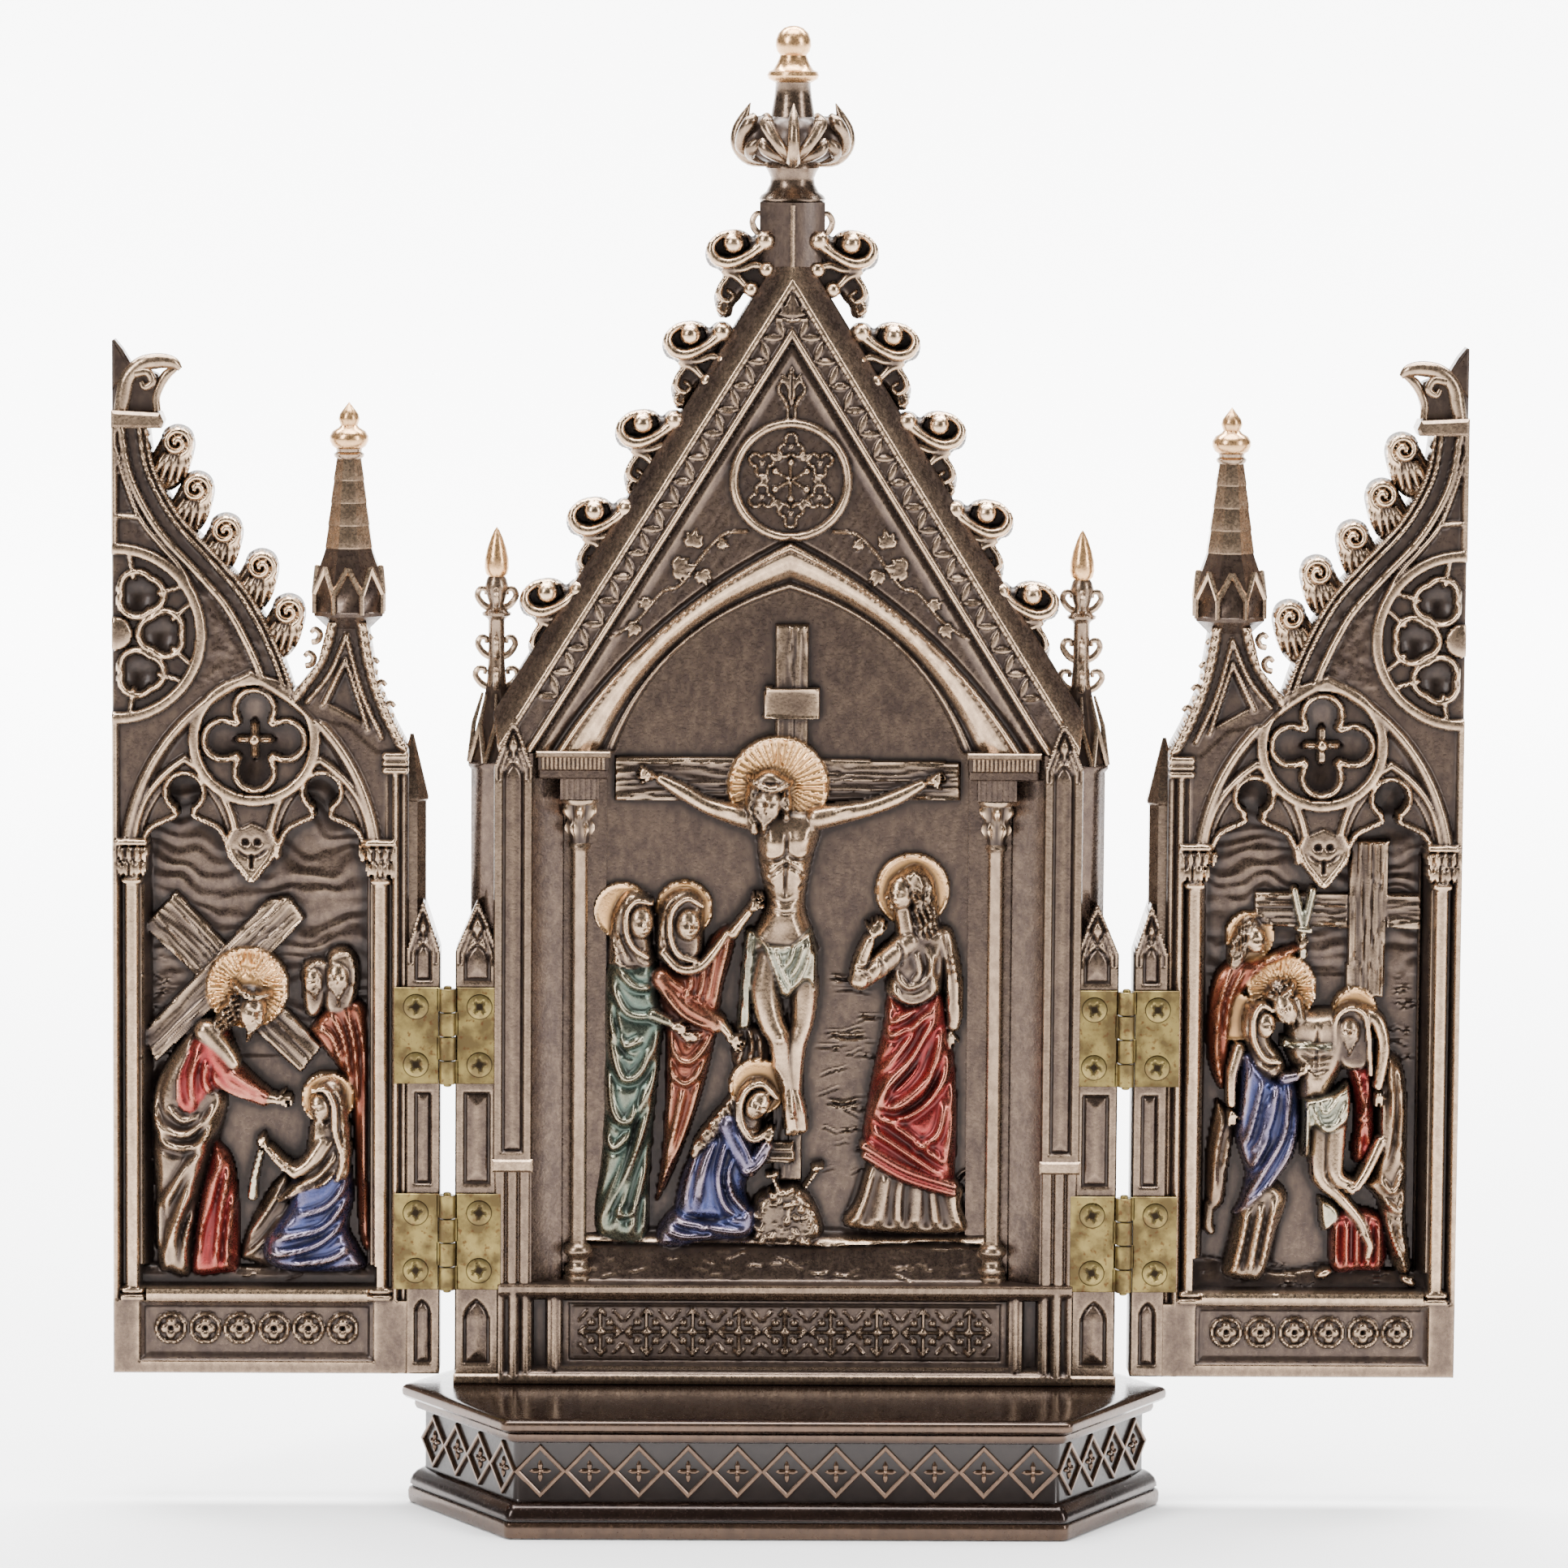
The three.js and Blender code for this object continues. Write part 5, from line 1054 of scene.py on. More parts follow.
def column(casting, side):
    # slender shaft with ringed base, leaf bell, fluted block and a stepped dentil slab
    size = centreSize
    x, y = side * size["column"], size["columnY"]
    shaft = [(2.4, 35.6), (2.4, 36.6), (2.0, 36.9), (2.3, 37.4), (2.3, 37.9), (1.7, 38.4), (1.55, 39.2),
             (1.9, 39.9), (2.35, 40.4), (2.4, 41.0), (2.0, 41.6), (1.45, 42.0), (1.35, 42.8), (1.35, 105.6),
             (1.6, 106.1), (1.85, 106.5), (1.6, 107.0), (1.35, 107.3)]
    turned(casting, shaft, x, y, 28, mark(rub=0.24))
    angles = 2 * math.pi * np.arange(96) / 96
    rows, marks = [], []
    for z in np.linspace(107.0, 113.8, 22):
        t = (z - 107) / 6.8
        body = 1.45 + 1.05 * t**1.6
        low = np.clip(np.cos(angles * 6) * 0.5 + 0.5, 0, 1) * np.exp(-((t - 0.36) / 0.16) ** 2)
        high = np.clip(np.cos(angles * 6 + math.pi) * 0.5 + 0.5, 0, 1) * np.exp(-((t - 0.78) / 0.16) ** 2)
        leafy = 0.75 * low + 0.8 * high - 0.16 * np.cos(angles * 24) * (low + high)
        r = body + leafy
        rows.append(np.stack([x + r * np.cos(angles), y + r * np.sin(angles), np.full(96, z)], 1))
        # between the leaves the bell is painted dark: painted shade
        marks.append(np.stack([mark(rub=min(1, v * 1.2), patinaAndShade=max(0.0, 0.55 - v)) for v in leafy]))
    casting.skin(rows, np.concatenate(marks))
    turned(casting, [(2.7, 113.4), (3.0, 113.8), (3.0, 114.2), (2.6, 114.5)], x, y, 28, mark(rub=0.4))
    # fluted block
    half = 3.1
    plan = []
    for k in range(15):
        u = -half + 2 * half * k / 14
        plan.append((u, -3.0 + (0.28 if k % 2 else 0.0)))
    block = [(x + u, y + v) for u, v in plan] + [(x + half, y + 4), (x - half, y + 4)]
    prism(casting, block, 114.4, 117.9)
    low, high = sorted((side * 40.1, side * 29.0))
    slab(casting, rectangle(low, high, 117.8, 119.4), 0.0, 7.4, 0.25)
    slab(casting, rectangle(low - 0.4, high + 0.4, 121.3, 122.3), -0.75, 7.4, 0.2, mark(rub=0.3))
    # the slab behind the dentils is painted a little darker: painted shade
    slab(casting, rectangle(low - 0.1, high + 0.1, 119.2, 121.6), 0.1, 7.4, 0.1, mark(patinaAndShade=0.3))
    for k in range(15):
        u = low + 0.4 + (high - low - 0.8) * (k + 0.5) / 15
        slab(casting, rectangle(u - 0.22, u + 0.22, 119.35, 121.4), -0.5, 0.4, 0.1, mark(rub=0.55))


def pilaster(casting, side):
    # a tall panelled strip with a gablet over three reeds, split by a small ledge
    size = centreSize
    x, half = side * size["pilaster"], 3.1
    gothicStrip(casting, x - half, x + half, 55.5, 119.7, 127.9, [(57.4, 120.6, "lancet")], 1.0, size["back"])
    slab(casting, rectangle(x - half - 0.2, x + half + 0.2, 54.2, 56.3), -1.3, 4, 0.35,
         mark(rub=0.4))
    for offset in (-2.0, 0.0, 2.0):
        tube(casting, [(x + offset, 0.3, 35, 0.95), (x + offset, 0.3, 54.6, 0.95)], 14, mark(rub=0.12))
    prism(casting, [(x - half, 0.4), (x - half, 12.4), (x + half, 12.4), (x + half, 0.4)], 35.5, 56)


def pinnacle(casting, side):
    # eight-sided pier with gables, a hooked shaft, a ring and a gilded flame
    size = centreSize
    x, y = side * size["pier"], 6.6
    turned(casting, [(4.3, 60), (4.3, 118.8), (4.8, 119.4), (4.8, 120.0), (4.4, 120.2)], x, y, 8, None,
           math.pi / 8)
    # the pier's roof under the hooks is painted darker: painted shade
    turned(casting, [(4.3, 120), (1.2, 134.6)], x, y, 8, mark(patinaAndShade=0.3), math.pi / 8)
    for k in range(8):
        a = math.pi / 4 * k
        c, s = math.cos(a), math.sin(a)
        for turn in (-1, 1):
            foot = (x + 4.3 * c - turn * 1.7 * s, y + 4.3 * s + turn * 1.7 * c)
            tube(casting, [(*foot, 120, 0.42), (x + 3.6 * c, y + 3.6 * s, 126.2, 0.38),
                           (x + 2.2 * c, y + 2.2 * s, 131, 0.2)], 6, mark(rub=0.5))
    shaft = [(1.9, 127), (1.7, 131), (1.35, 136), (1.3, 142.6), (1.5, 143.0), (2.3, 143.5), (2.35, 143.9),
             (1.5, 144.4), (1.2, 145.4), (1.7, 147.0), (1.9, 148.2), (1.6, 149.3), (1.3, 149.8)]
    turned(casting, shaft, x, y, 20, mark(rub=0.2))
    flame = [(1.2, 149.6), (1.75, 150.2), (1.98, 151.2), (1.9, 152.6), (1.5, 154.4), (0.95, 156.0),
             (0.4, 157.2), (0.05, 157.7)]
    turned(casting, flame, x, y, 24, mark(gilt=1.0, rub=0.3))
    for z, reach in ((133.6, 3.4), (138.6, 3.0), (146.4, 3.1)):
        for k in range(4):
            a = math.pi / 2 * k
            hook = [(x + r * math.cos(a), y + r * math.sin(a), z + h, w) for r, h, w in (
                (1.0, -1.8, 0.6), (reach * 0.7, -1.2, 0.55), (reach, 0.2, 0.5), (reach * 0.85, 1.3, 0.48),
                (reach * 0.55, 1.2, 0.4),
                (reach * 0.55, 0.4, 0.3))]
            tube(casting, curve(hook, 3), 8, mark(rub=0.35))


def crocket():
    # a leaf that curls up into an open cup holding a berry, with bulb-ended lobes and a scroll below
    board = Board(-6, 9, -14.6, 3.4, 0.245, -3.0)
    whole = [(-4.0, 1.0), (-2.4, 2.1), (0.2, 2.6), (2.2, 2.2), (3.6, 1.3), (5.0, 2.3), (7.0, 2.3), (8.2, 0.8),
             (8.2, -2), (8.4, -5.6), (6.4, -9.4), (3.9, -10.4), (2.2, -9.6), (1.4, -10.6), (0.2, -12.0),
             (-0.4, -13.9), (-2.4, -14.2), (-3.2, -12.6), (-3.6, -10.2), (-2.9, -8.0), (-2.0, -6.4),
             (-2.6, -5.2), (-4.4, -4.4), (-5.3, -2.6), (-5.0, -0.4)]
    # the leaf's ground is painted dark under the bronze lobes: painted shade between and under them
    board.cloth(whole, 2.4, "dark", 1.6)
    board.cloth([(-3.2, -5), (-0.8, -6), (3.0, -5.4), (6.0, -2.4), (5.2, -0.6), (-4.6, -0.6), (-4.9, -3)],
                3.4, "bronze", 1.8)
    # the cup's inside is painted dark: painted shade in the hollow
    board.ramp([(-3.6, 0.2), (-2.2, 1.6), (0.2, 2.0), (2.4, 1.4), (3.2, -0.4), (1.8, -1.8), (-0.6, -2.6),
                (-2.8, -2.2), (-3.7, -1)], -1.7, "dark")
    rim = [(2.4, 1.6, 0.4, 3.2), (0.2, 2.1, 0.6, 3.3), (-2.2, 1.6, 0.75, 3.9), (-3.9, 0.3, 0.85, 4.6),
           (-4.2, -1.5, 0.95, 5.0), (-3.0, -3.2, 1.05, 5.2), (-0.8, -3.7, 1.05, 5.2), (1.6, -2.9, 0.95, 5.0),
           (3.6, -1.7, 0.9, 4.9), (5.0, -0.6, 1.1, 4.9)]
    board.limb(rim, "worn", 1.1)
    for x, z, radius in ((0, 0, 1.95), (6.1, 0.6, 1.9), (6.4, -4.9, 1.55), (3.4, -8.7, 1.5)):
        board.blob(x, z, radius, radius, 3.4 + radius, "worn", rise=radius)
    for lobe in ([(-1.4, -4.8, 0.7, 3.9), (1.6, -4.8, 0.75, 4.2), (4.0, -4.0, 0.75, 4.2),
                  (5.8, -4.4, 0.7, 4.0)], [(-1.6, -5.4, 0.7, 3.6), (0.6, -6.2, 0.8, 4.0),
                                           (2.0, -7.6, 0.7, 4.0), (3.2, -8.4, 0.7, 3.8)],
                 [(-1.0, -6.2, 0.6, 3.4), (-2.4, -8.0, 0.7, 3.7), (-2.6, -10.0, 0.6, 3.6),
                  (-1.0, -11.0, 0.5, 3.4), (0.1, -9.9, 0.42, 3.3), (-0.9, -9.0, 0.4, 3.2)],
                 [(-2.2, -11.0, 0.5, 3.2), (-2.7, -12.6, 0.5, 3.2), (-1.6, -13.3, 0.4, 3.0),
                  (-1.1, -12.4, 0.3, 3.0)]):
        board.limb(lobe, "bronze", 0.9)
    casting = Casting()
    board.cast(casting, curve(whole + whole[:1], 4)[:-1], 3.6, 0.5)
    return casting


def finial(casting):
    # neck rings, a cluster of four cupped leaves, a tapering shaft and a gilded ball
    y = 7.5
    profile = [(4.4, 205.5), (4.6, 209.2), (5.1, 209.9), (5.3, 210.5), (5.0, 211.0), (4.2, 211.6),
               (3.6, 212.8), (3.5, 213.8), (3.9, 214.8), (4.3, 215.4), (4.2, 216.0), (3.8, 216.4),
               (3.6, 218.0), (3.9, 222.0), (3.5, 223.6), (3.0, 226.6), (2.8, 228.8), (3.1, 229.3)]
    turned(casting, profile, 0, y, 32, mark(rub=0.1))
    gilded = [(3.0, 229.0), (3.9, 229.5), (4.15, 230.1), (3.9, 230.7), (3.2, 231.0), (2.6, 232.0),
              (2.2, 233.0), (2.1, 233.3), (2.6, 233.9), (2.85, 234.8), (2.8, 235.8), (2.4, 236.8),
              (1.6, 237.6), (0.7, 237.95), (0.1, 238.0)]
    turned(casting, gilded, 0, y, 32, mark(gilt=1.0, rub=0.3))
    angles = 2 * math.pi * np.arange(64) / 64
    rows = []
    for z, narrow, wide in ((216.0, 3.2, 3.4), (216.6, 4.6, 5.6), (217.4, 5.2, 7.6), (218.6, 5.6, 8.7),
                            (220.2, 5.8, 9.0), (221.8, 5.6, 8.5), (223.0, 5.0, 7.4), (223.6, 4.4, 6.2),
                            (223.2, 3.6, 4.6)):
        r = narrow + (wide - narrow) * np.abs(np.cos(2 * angles)) ** 0.7
        rows.append(np.stack([r * np.cos(angles), y + r * np.sin(angles), np.full(64, z)], 1))
    # the core between the leaves is painted dark: painted shade
    casting.skin(rows, mark(patinaAndShade=0.5))
    for k in range(4):
        c, s = math.cos(math.pi / 2 * k), math.sin(math.pi / 2 * k)

        def vein(*points, shine=0.3):
            tube(casting, curve([(reach * c - aside * s, y + reach * s + aside * c, z, r) for reach, aside, z,
                                 r in points], 4), 10, mark(rub=shine))
        vein((3.6, 0, 216.5, 1.0), (6.8, 0, 216.9, 1.2), (8.7, 0, 218.8, 1.1), (8.9, 0, 221.2, 0.9),
             (7.8, 0, 223.4, 0.8), (6.8, 0, 225.7, 0.1), shine=0.35)
        for side in (-1, 1):
            vein((6.4, side * 0.4, 217.2, 0.8), (8.2, side * 1.8, 218.6, 0.95), (8.0, side * 3.4, 220.8, 1.0),
                 (6.9, side * 4.3, 222.6, 1.1), (6.0, side * 3.9, 223.6, 0.6))
            vein((4.6, side * 0.8, 216.6, 0.7), (6.6, side * 2.6, 217.4, 0.9), (6.6, side * 4.4, 218.6, 1.1),
                 (5.6, side * 5.0, 219.8, 0.7), shine=0.2)
            place = (6.9 * c - side * 4.2 * s, y + 6.9 * s + side * 4.2 * c)
            ball(casting, *place, 222.6, 1.15, mark(rub=0.3), 12)


def ridge(casting):
    # the gable's top, folded to a sharp ridge under the neck ring
    plan = [(-5.2, 4.6), (-4.8, 12.9), (4.8, 12.9), (5.2, 4.6), (0.3, 1.2), (-0.3, 1.2)]
    # the ridge's faces are painted darker all over: painted shade for the dark facet
    prism(casting, plan, 198.6, 210.0, mark(patinaAndShade=0.35))
    tube(casting, [(0, 1.4, 197.8, 0.45), (0, 1.4, 209.6, 0.45)], 8, mark(rub=0.3))


def makeCentreFrame():
    size = centreSize
    casting = Casting()
    predella(casting)
    for side in (-1, 1):
        jamb(casting, side)
        column(casting, side)
        pilaster(casting, side)
        edges = sorted((side * size["edge"], side * (size["edge"] - flangeSize["width"])))
        flangeStrip(casting, *edges, size["foot"] + 1.4)
        foot = rectangle(edges[0] - 0.2, edges[1] + 0.2, size["foot"], 21.2)
        slab(casting, foot, -1.0, 10, 0.35, mark(rub=0.25))
    # the plain back plate behind everything
    slope, reach = size["slope"], size["chamfer"] * math.hypot(1, size["slope"]) / size["slope"]
    half, top = (size["apex"] - 128) / slope + reach - 0.3, size["apex"] + 5
    high = reach - (top - size["apex"]) / slope
    edge = [(46.2, size["foot"] + 0.1), (46.2, size["spring"]), (half, 128), (high, top)]
    slab(casting, [(-x, z) for x, z in edge] + edge[::-1], 11.6, size["rear"], 0.3)
    return casting.make("centreFrameCasting", "stand", panelBronze, ["centre_panel"])


def makeCrown():
    casting = Casting()
    leaf = crocket()
    for x, z in ((9.4, 203.4), (16.2, 188.8), (23.7, 174.6), (31.4, 160.5), (38.9, 147.4)):
        casting.merge(leaf, (-x, 3.9, z), size=0.84)
        casting.merge(leaf, (x, 3.9, z), flip=True, size=0.84)
    for side in (-1, 1):
        curl = [(3.6, 204.2), (5.6, 205.2), (6.4, 206.8), (5.6, 208.2), (4.4, 207.6), (4.7, 206.6)]
        tube(casting, curve([(side * x, 5.4, z, 0.6 - 0.05 * k) for k, (x, z) in enumerate(curl)], 4), 8,
             mark(rub=0.35))
        pinnacle(casting, side)
    ridge(casting)
    finial(casting)
    return casting.make("crownCrocketsAndFinial", "stand", panelBronze, ["centre_panel"])


def nicheGround(board):
    # flat back wall, with a floor that slopes out to the sill
    z = board.z
    steps = [(33, 1.15), (35.6, 1.2), (36.4, 0.9), (36.9, -0.4), (37.6, -1.2), (38.4, -1.5), (40.6, -2.8),
             (42.6, -4.6), (43.4, -6.6), (44, -7.0)]
    board.h = np.interp(z + 0.5 * roughNoise(board.x / 6, z / 6, 5), *zip(*steps))


def makeNiche():
    size = centreSize
    board = Board(-33.2, 33.2, size["sill"] - 1, size["nicheApex"] + 1, 0.262, -size["floor"])
    nicheGround(board)
    crucifixion(board)
    arch = archLine(0, size["niche"] + 0.2, size["spring"], size["nicheApex"] + 0.3, 0.13, 20)
    outline = np.vstack([[(-32.4, size["sill"] - 0.6), (-32.4, size["spring"] - 2)], arch,
                         [(32.4, size["spring"] - 2), (32.4, size["sill"] - 0.6)]])
    casting = Casting()
    board.cast(casting, outline[::-1], size["back"], 0.2)
    return casting.make("crucifixionRelief", "stand", panelBronze, ["centre_panel"], 70)


# in the figures every list is (x, z) or (x, z, radius, crest) along the form it names
def halo(board, x, z, radius, crest, rays=0):
    # a gilt disc with a raised rim, plain or cut with rays
    board.blob(x, z, radius, radius, crest, "gold", rise=0.5, lift=0.25, soft=0.08)
    at = board.window([(x, z)], radius)
    u, v = board.x[at] - x, board.z[at] - z
    far = np.hypot(u, v) / radius
    if rays:
        cutting = np.clip(np.cos(rays * np.arctan2(v, u)) * 2.2 - 0.9, -1, 1)
        board.h[at] += np.where(far < 0.95, (0.17 * cutting - 0.1) * np.clip((far - 0.2) * 6, 0, 1), 0)
    board.h[at] += 0.28 * np.exp(-(((far - 0.95) * radius / 0.2) ** 2)) * (far < 1)


def folds(board, paint, width, rise, *lines):
    for points in lines:
        board.fold(points, 1.15 * width, 0.9 * rise, paint, groove=0.32)


def locks(board, first, last, count, rise=0.45, wave=0.28, length=2.6, width=0.27, paint="hair"):
    # wavy strands between two guide lines
    t = np.linspace(0, 1, 26)
    a, b = (np.stack([np.interp(t, np.linspace(0, 1, len(g)), g[:, k]) for k in (0, 1)], 1)
            for g in (curve(first, 6), curve(last, 6)))
    for k, share in enumerate(np.linspace(0, 1, count)):
        strand = a * (1 - share) + b * share
        step = np.gradient(strand, axis=0)
        step /= np.maximum(np.linalg.norm(step, axis=1), 1e-6)[:, None]
        along = np.concatenate([[0], np.linalg.norm(np.diff(strand, axis=0), axis=1).cumsum()])
        sway = wave * np.sin(2 * math.pi * (along / length + 0.1 * k))
        strand = strand + np.stack([-step[:, 1], step[:, 0]], 1) * sway[:, None]
        board.fold(strand, width, rise, paint, ends=0.08, groove=0.6, smooth=False)


def face(board, x, z, size, crest, turn=0.0, tilt=0.0, beard=0.0, paint="skin"):
    # a calm, general face on even proportions: eyes halfway down, nose at a quarter, mouth below
    board.blob(x, z, 0.75 * size, size, crest, paint, tilt, rise=0.62 * size)
    c, s = math.cos(math.radians(tilt)), math.sin(math.radians(tilt))
    at = board.window([(x, z)], 1.2 * size)
    px, pz = board.x[at] - x, board.z[at] - z
    u, v = (px * c + pz * s) / size, (pz * c - px * s) / size
    middle, spread = 0.42 * turn, 0.29 * (1 - 0.3 * abs(turn))

    def bump(across, up, wide, tall, rise):
        return rise * size * np.exp(-(((u - across) / wide) ** 2) - ((v - up) / tall) ** 2)
    change = bump(middle, 0.2, 0.42, 0.09, 0.05)
    for side in (-1, 1):
        change += (bump(middle + side * spread, 0.05, 0.16, 0.11, -0.17)
                   + bump(middle + side * spread, 0.03, 0.1, 0.05, 0.12))
        change += (bump(middle + side * spread, 0.19, 0.17, 0.05, 0.06)
                   + bump(middle * 0.8 + side * 0.36, -0.24, 0.18, 0.16, 0.05))
        change += bump(middle + side * 0.12, -0.27, 0.06, 0.06, 0.06)
    for up, wide, rise in ((0.08, 0.06, 0.12), (-0.06, 0.065, 0.16), (-0.2, 0.08, 0.21)):
        change += bump(middle * 1.12, up, wide, 0.1, rise)
    change += bump(middle, -0.36, 0.14, 0.05, -0.06) + bump(middle, -0.44, 0.17, 0.045, 0.08)
    change += (bump(middle, -0.5, 0.19, 0.028, -0.1) + bump(middle, -0.57, 0.14, 0.05, 0.09)
               + bump(middle, -0.67, 0.15, 0.04, -0.06))
    change += bump(middle * 0.9, -0.82, 0.17, 0.11, 0.08)
    board.h[at] += np.where((u / 0.75) ** 2 + v**2 < 1, change, 0)

    def place(across, up):
        return x + size * (across * c - up * s), z + size * (up * c + across * s)
    if abs(turn) > 0.7:
        # seen from the side the nose, lips and chin stand out of the outline
        way = math.copysign(1, turn)
        for across, up, radius, low in ((0.7, 0.06, 0.13, 0.62), (0.83, -0.14, 0.13, 0.6),
                                        (0.9, -0.22, 0.1, 0.6), (0.7, -0.44, 0.12, 0.6),
                                        (0.68, -0.57, 0.11, 0.6), (0.62, -0.8, 0.2, 0.62)):
            board.blob(*place(way * across, up), radius * size, radius * size, low * crest, paint, soft=0.12)
    if beard:
        tip = place(middle * 0.9, -0.9 - beard)
        board.limb([(*place(middle * 0.8, -0.72), 0.42 * size, crest * 0.93),
                    (*tip, 0.12 * size, crest * 0.75)], "hair", rise=0.5 * size, soft=0.1)
        for side in (-1, 1):
            board.limb([(*place(side * 0.56 + 0.2 * middle, 0.0), 0.13 * size, crest * 0.86),
                        (*place(side * 0.5 + middle * 0.5, -0.5), 0.17 * size, crest * 0.9),
                        (*place(middle * 0.8 + side * 0.2, -0.9), 0.2 * size, crest * 0.9)], "hair",
                       rise=0.3 * size, soft=0.1)
            board.limb([(*place(middle, -0.4), 0.06 * size, crest),
                        (*place(middle + side * 0.26, -0.52), 0.06 * size, crest * 0.97)], "hair",
                       rise=0.1 * size, soft=0.05)
        left, right = place(middle * 0.8 - 0.36, -0.5), place(middle * 0.8 + 0.36, -0.5)
        locks(board, [left, tip], [right, (tip[0] + 0.2, tip[1])], 6, 0.3, 0.1, 1.6, 0.2)


def hand(board, x, z, angle, size, crest, spread=12, thumb=1, curl=1.0, paint="skin"):
    # palm, four fingers and a thumb that point along an angle
    a = math.radians(angle)
    along, across = np.array([math.cos(a), math.sin(a)]), np.array([-math.sin(a), math.cos(a)])
    board.blob(x, z, 0.6 * size, 0.44 * size, crest, paint, angle, soft=0.12)
    for k in range(4):
        lean = math.radians(angle + spread * (k - 1.5))
        root = np.array([x, z]) + 0.38 * size * along + across * size * 0.22 * (k - 1.5)
        reach = size * (0.85, 1.0, 0.97, 0.8)[k] * curl
        tip = root + reach * np.array([math.cos(lean), math.sin(lean)])
        board.limb([(*root, 0.15 * size, crest * 0.97), (*tip, 0.11 * size, crest * 0.88)], paint, soft=0.04,
                   smooth=False)
    lean = math.radians(angle + 48 * thumb)
    root = np.array([x, z]) + across * size * 0.36 * thumb
    tip = root + 0.75 * size * np.array([math.cos(lean), math.sin(lean)])
    board.limb([(*root, 0.16 * size, crest), (*tip, 0.11 * size, crest * 0.9)], paint, soft=0.04,
               smooth=False)


def timber(board, outline, height, angle, seed):
    # a squared beam with long grain grooves and softened arrises
    at = board.window(outline, 0.5)
    inside = -insideOf(board.x[at], board.z[at], outline)
    surface = board.ground + height - 0.35 * np.clip(1 - inside / 0.35, 0, 1) ** 2
    board.put(at, np.where(inside > 0, surface, outside), "wood", 0.05)
    c, s = math.cos(math.radians(angle)), math.sin(math.radians(angle))
    x, z = board.x[at], board.z[at]
    along, across = x * c + z * s, z * c - x * s
    bend = across + 0.5 * roughNoise(along / 9, across / 5, seed, 2)
    grooves = roughNoise(along / 16, bend / 0.42, seed + 3, 2)
    top = (inside > 0.25) & (np.abs(board.h[at] - surface) < 0.1)
    board.h[at] += np.where(top, 0.26 * grooves - 0.22 * np.exp(-((grooves / 0.16) ** 2)), 0)


def thorns(board, x, z, radius, crest, tilt):
    # a twisted ring of twigs round the brow
    c, s = math.cos(math.radians(tilt)), math.sin(math.radians(tilt))
    for phase in (0, 2.1, 4.2):
        twig = []
        for t in np.linspace(-1.15, 1.15, 15):
            u, v = radius * t, 0.3 * math.sin(6.4 * t + phase) - 0.8 * (1 - t * t)
            twig.append((x + u * c - v * s, z + v * c + u * s, 0.3, crest + 0.3 * math.cos(6.4 * t + phase)
                         - 1.4 * t * t))
        board.limb(twig, "dark", rise=0.45, soft=0.05)
    for k in range(7):
        t = (k - 3) / 3.1
        u, v = radius * t, 0.75 * (-1) ** k - 0.8 * (1 - t * t)
        board.limb([(x + u * c, z + u * s - 0.8 * (1 - t * t), 0.2, crest - 1.2 * t * t),
                    (x + u * c - v * s, z + v * c + u * s, 0.1, crest + 0.1 - 1.4 * t * t)], "dark",
                   smooth=False, soft=0.04)


def scratched(board, outline, seed, count, length=3.0, width=0.16, depth=-0.16):
    # short chance strokes over a ground
    random = np.random.default_rng(seed)
    low, high = np.min(outline, 0), np.max(outline, 0)
    for _ in range(count):
        x, z = random.uniform(low, high)
        lean, run = random.normal(0, 0.25), length * random.uniform(0.5, 1.4)
        line = [(x + run * (t - 0.5), z + run * lean * (t - 0.5) + random.normal(0, 0.12))
                for t in (0, 0.35, 0.7, 1)]
        board.fold(line, width, depth * random.uniform(0.5, 1.3), ["bronze"], groove=0.5)


def rocks(board, outline, seed, count, size, crest):
    random = np.random.default_rng(seed)
    low, high = np.min(outline, 0), np.max(outline, 0)
    board.cloth(outline, crest, "rock", 2.2)
    placed = 0
    while placed < count:
        x, z = random.uniform(low, high)
        if insideOf(np.array([x]), np.array([z]), outline)[0] > -0.4:
            continue
        rx, rz = size * random.uniform(0.5, 1.3), size * random.uniform(0.4, 1.0)
        board.blob(x, z, rx, rz, crest + random.uniform(-0.2, 0.75), "rock", random.uniform(-80, 80),
                   rise=0.9, soft=0.06, lift=0.6)
        placed += 1


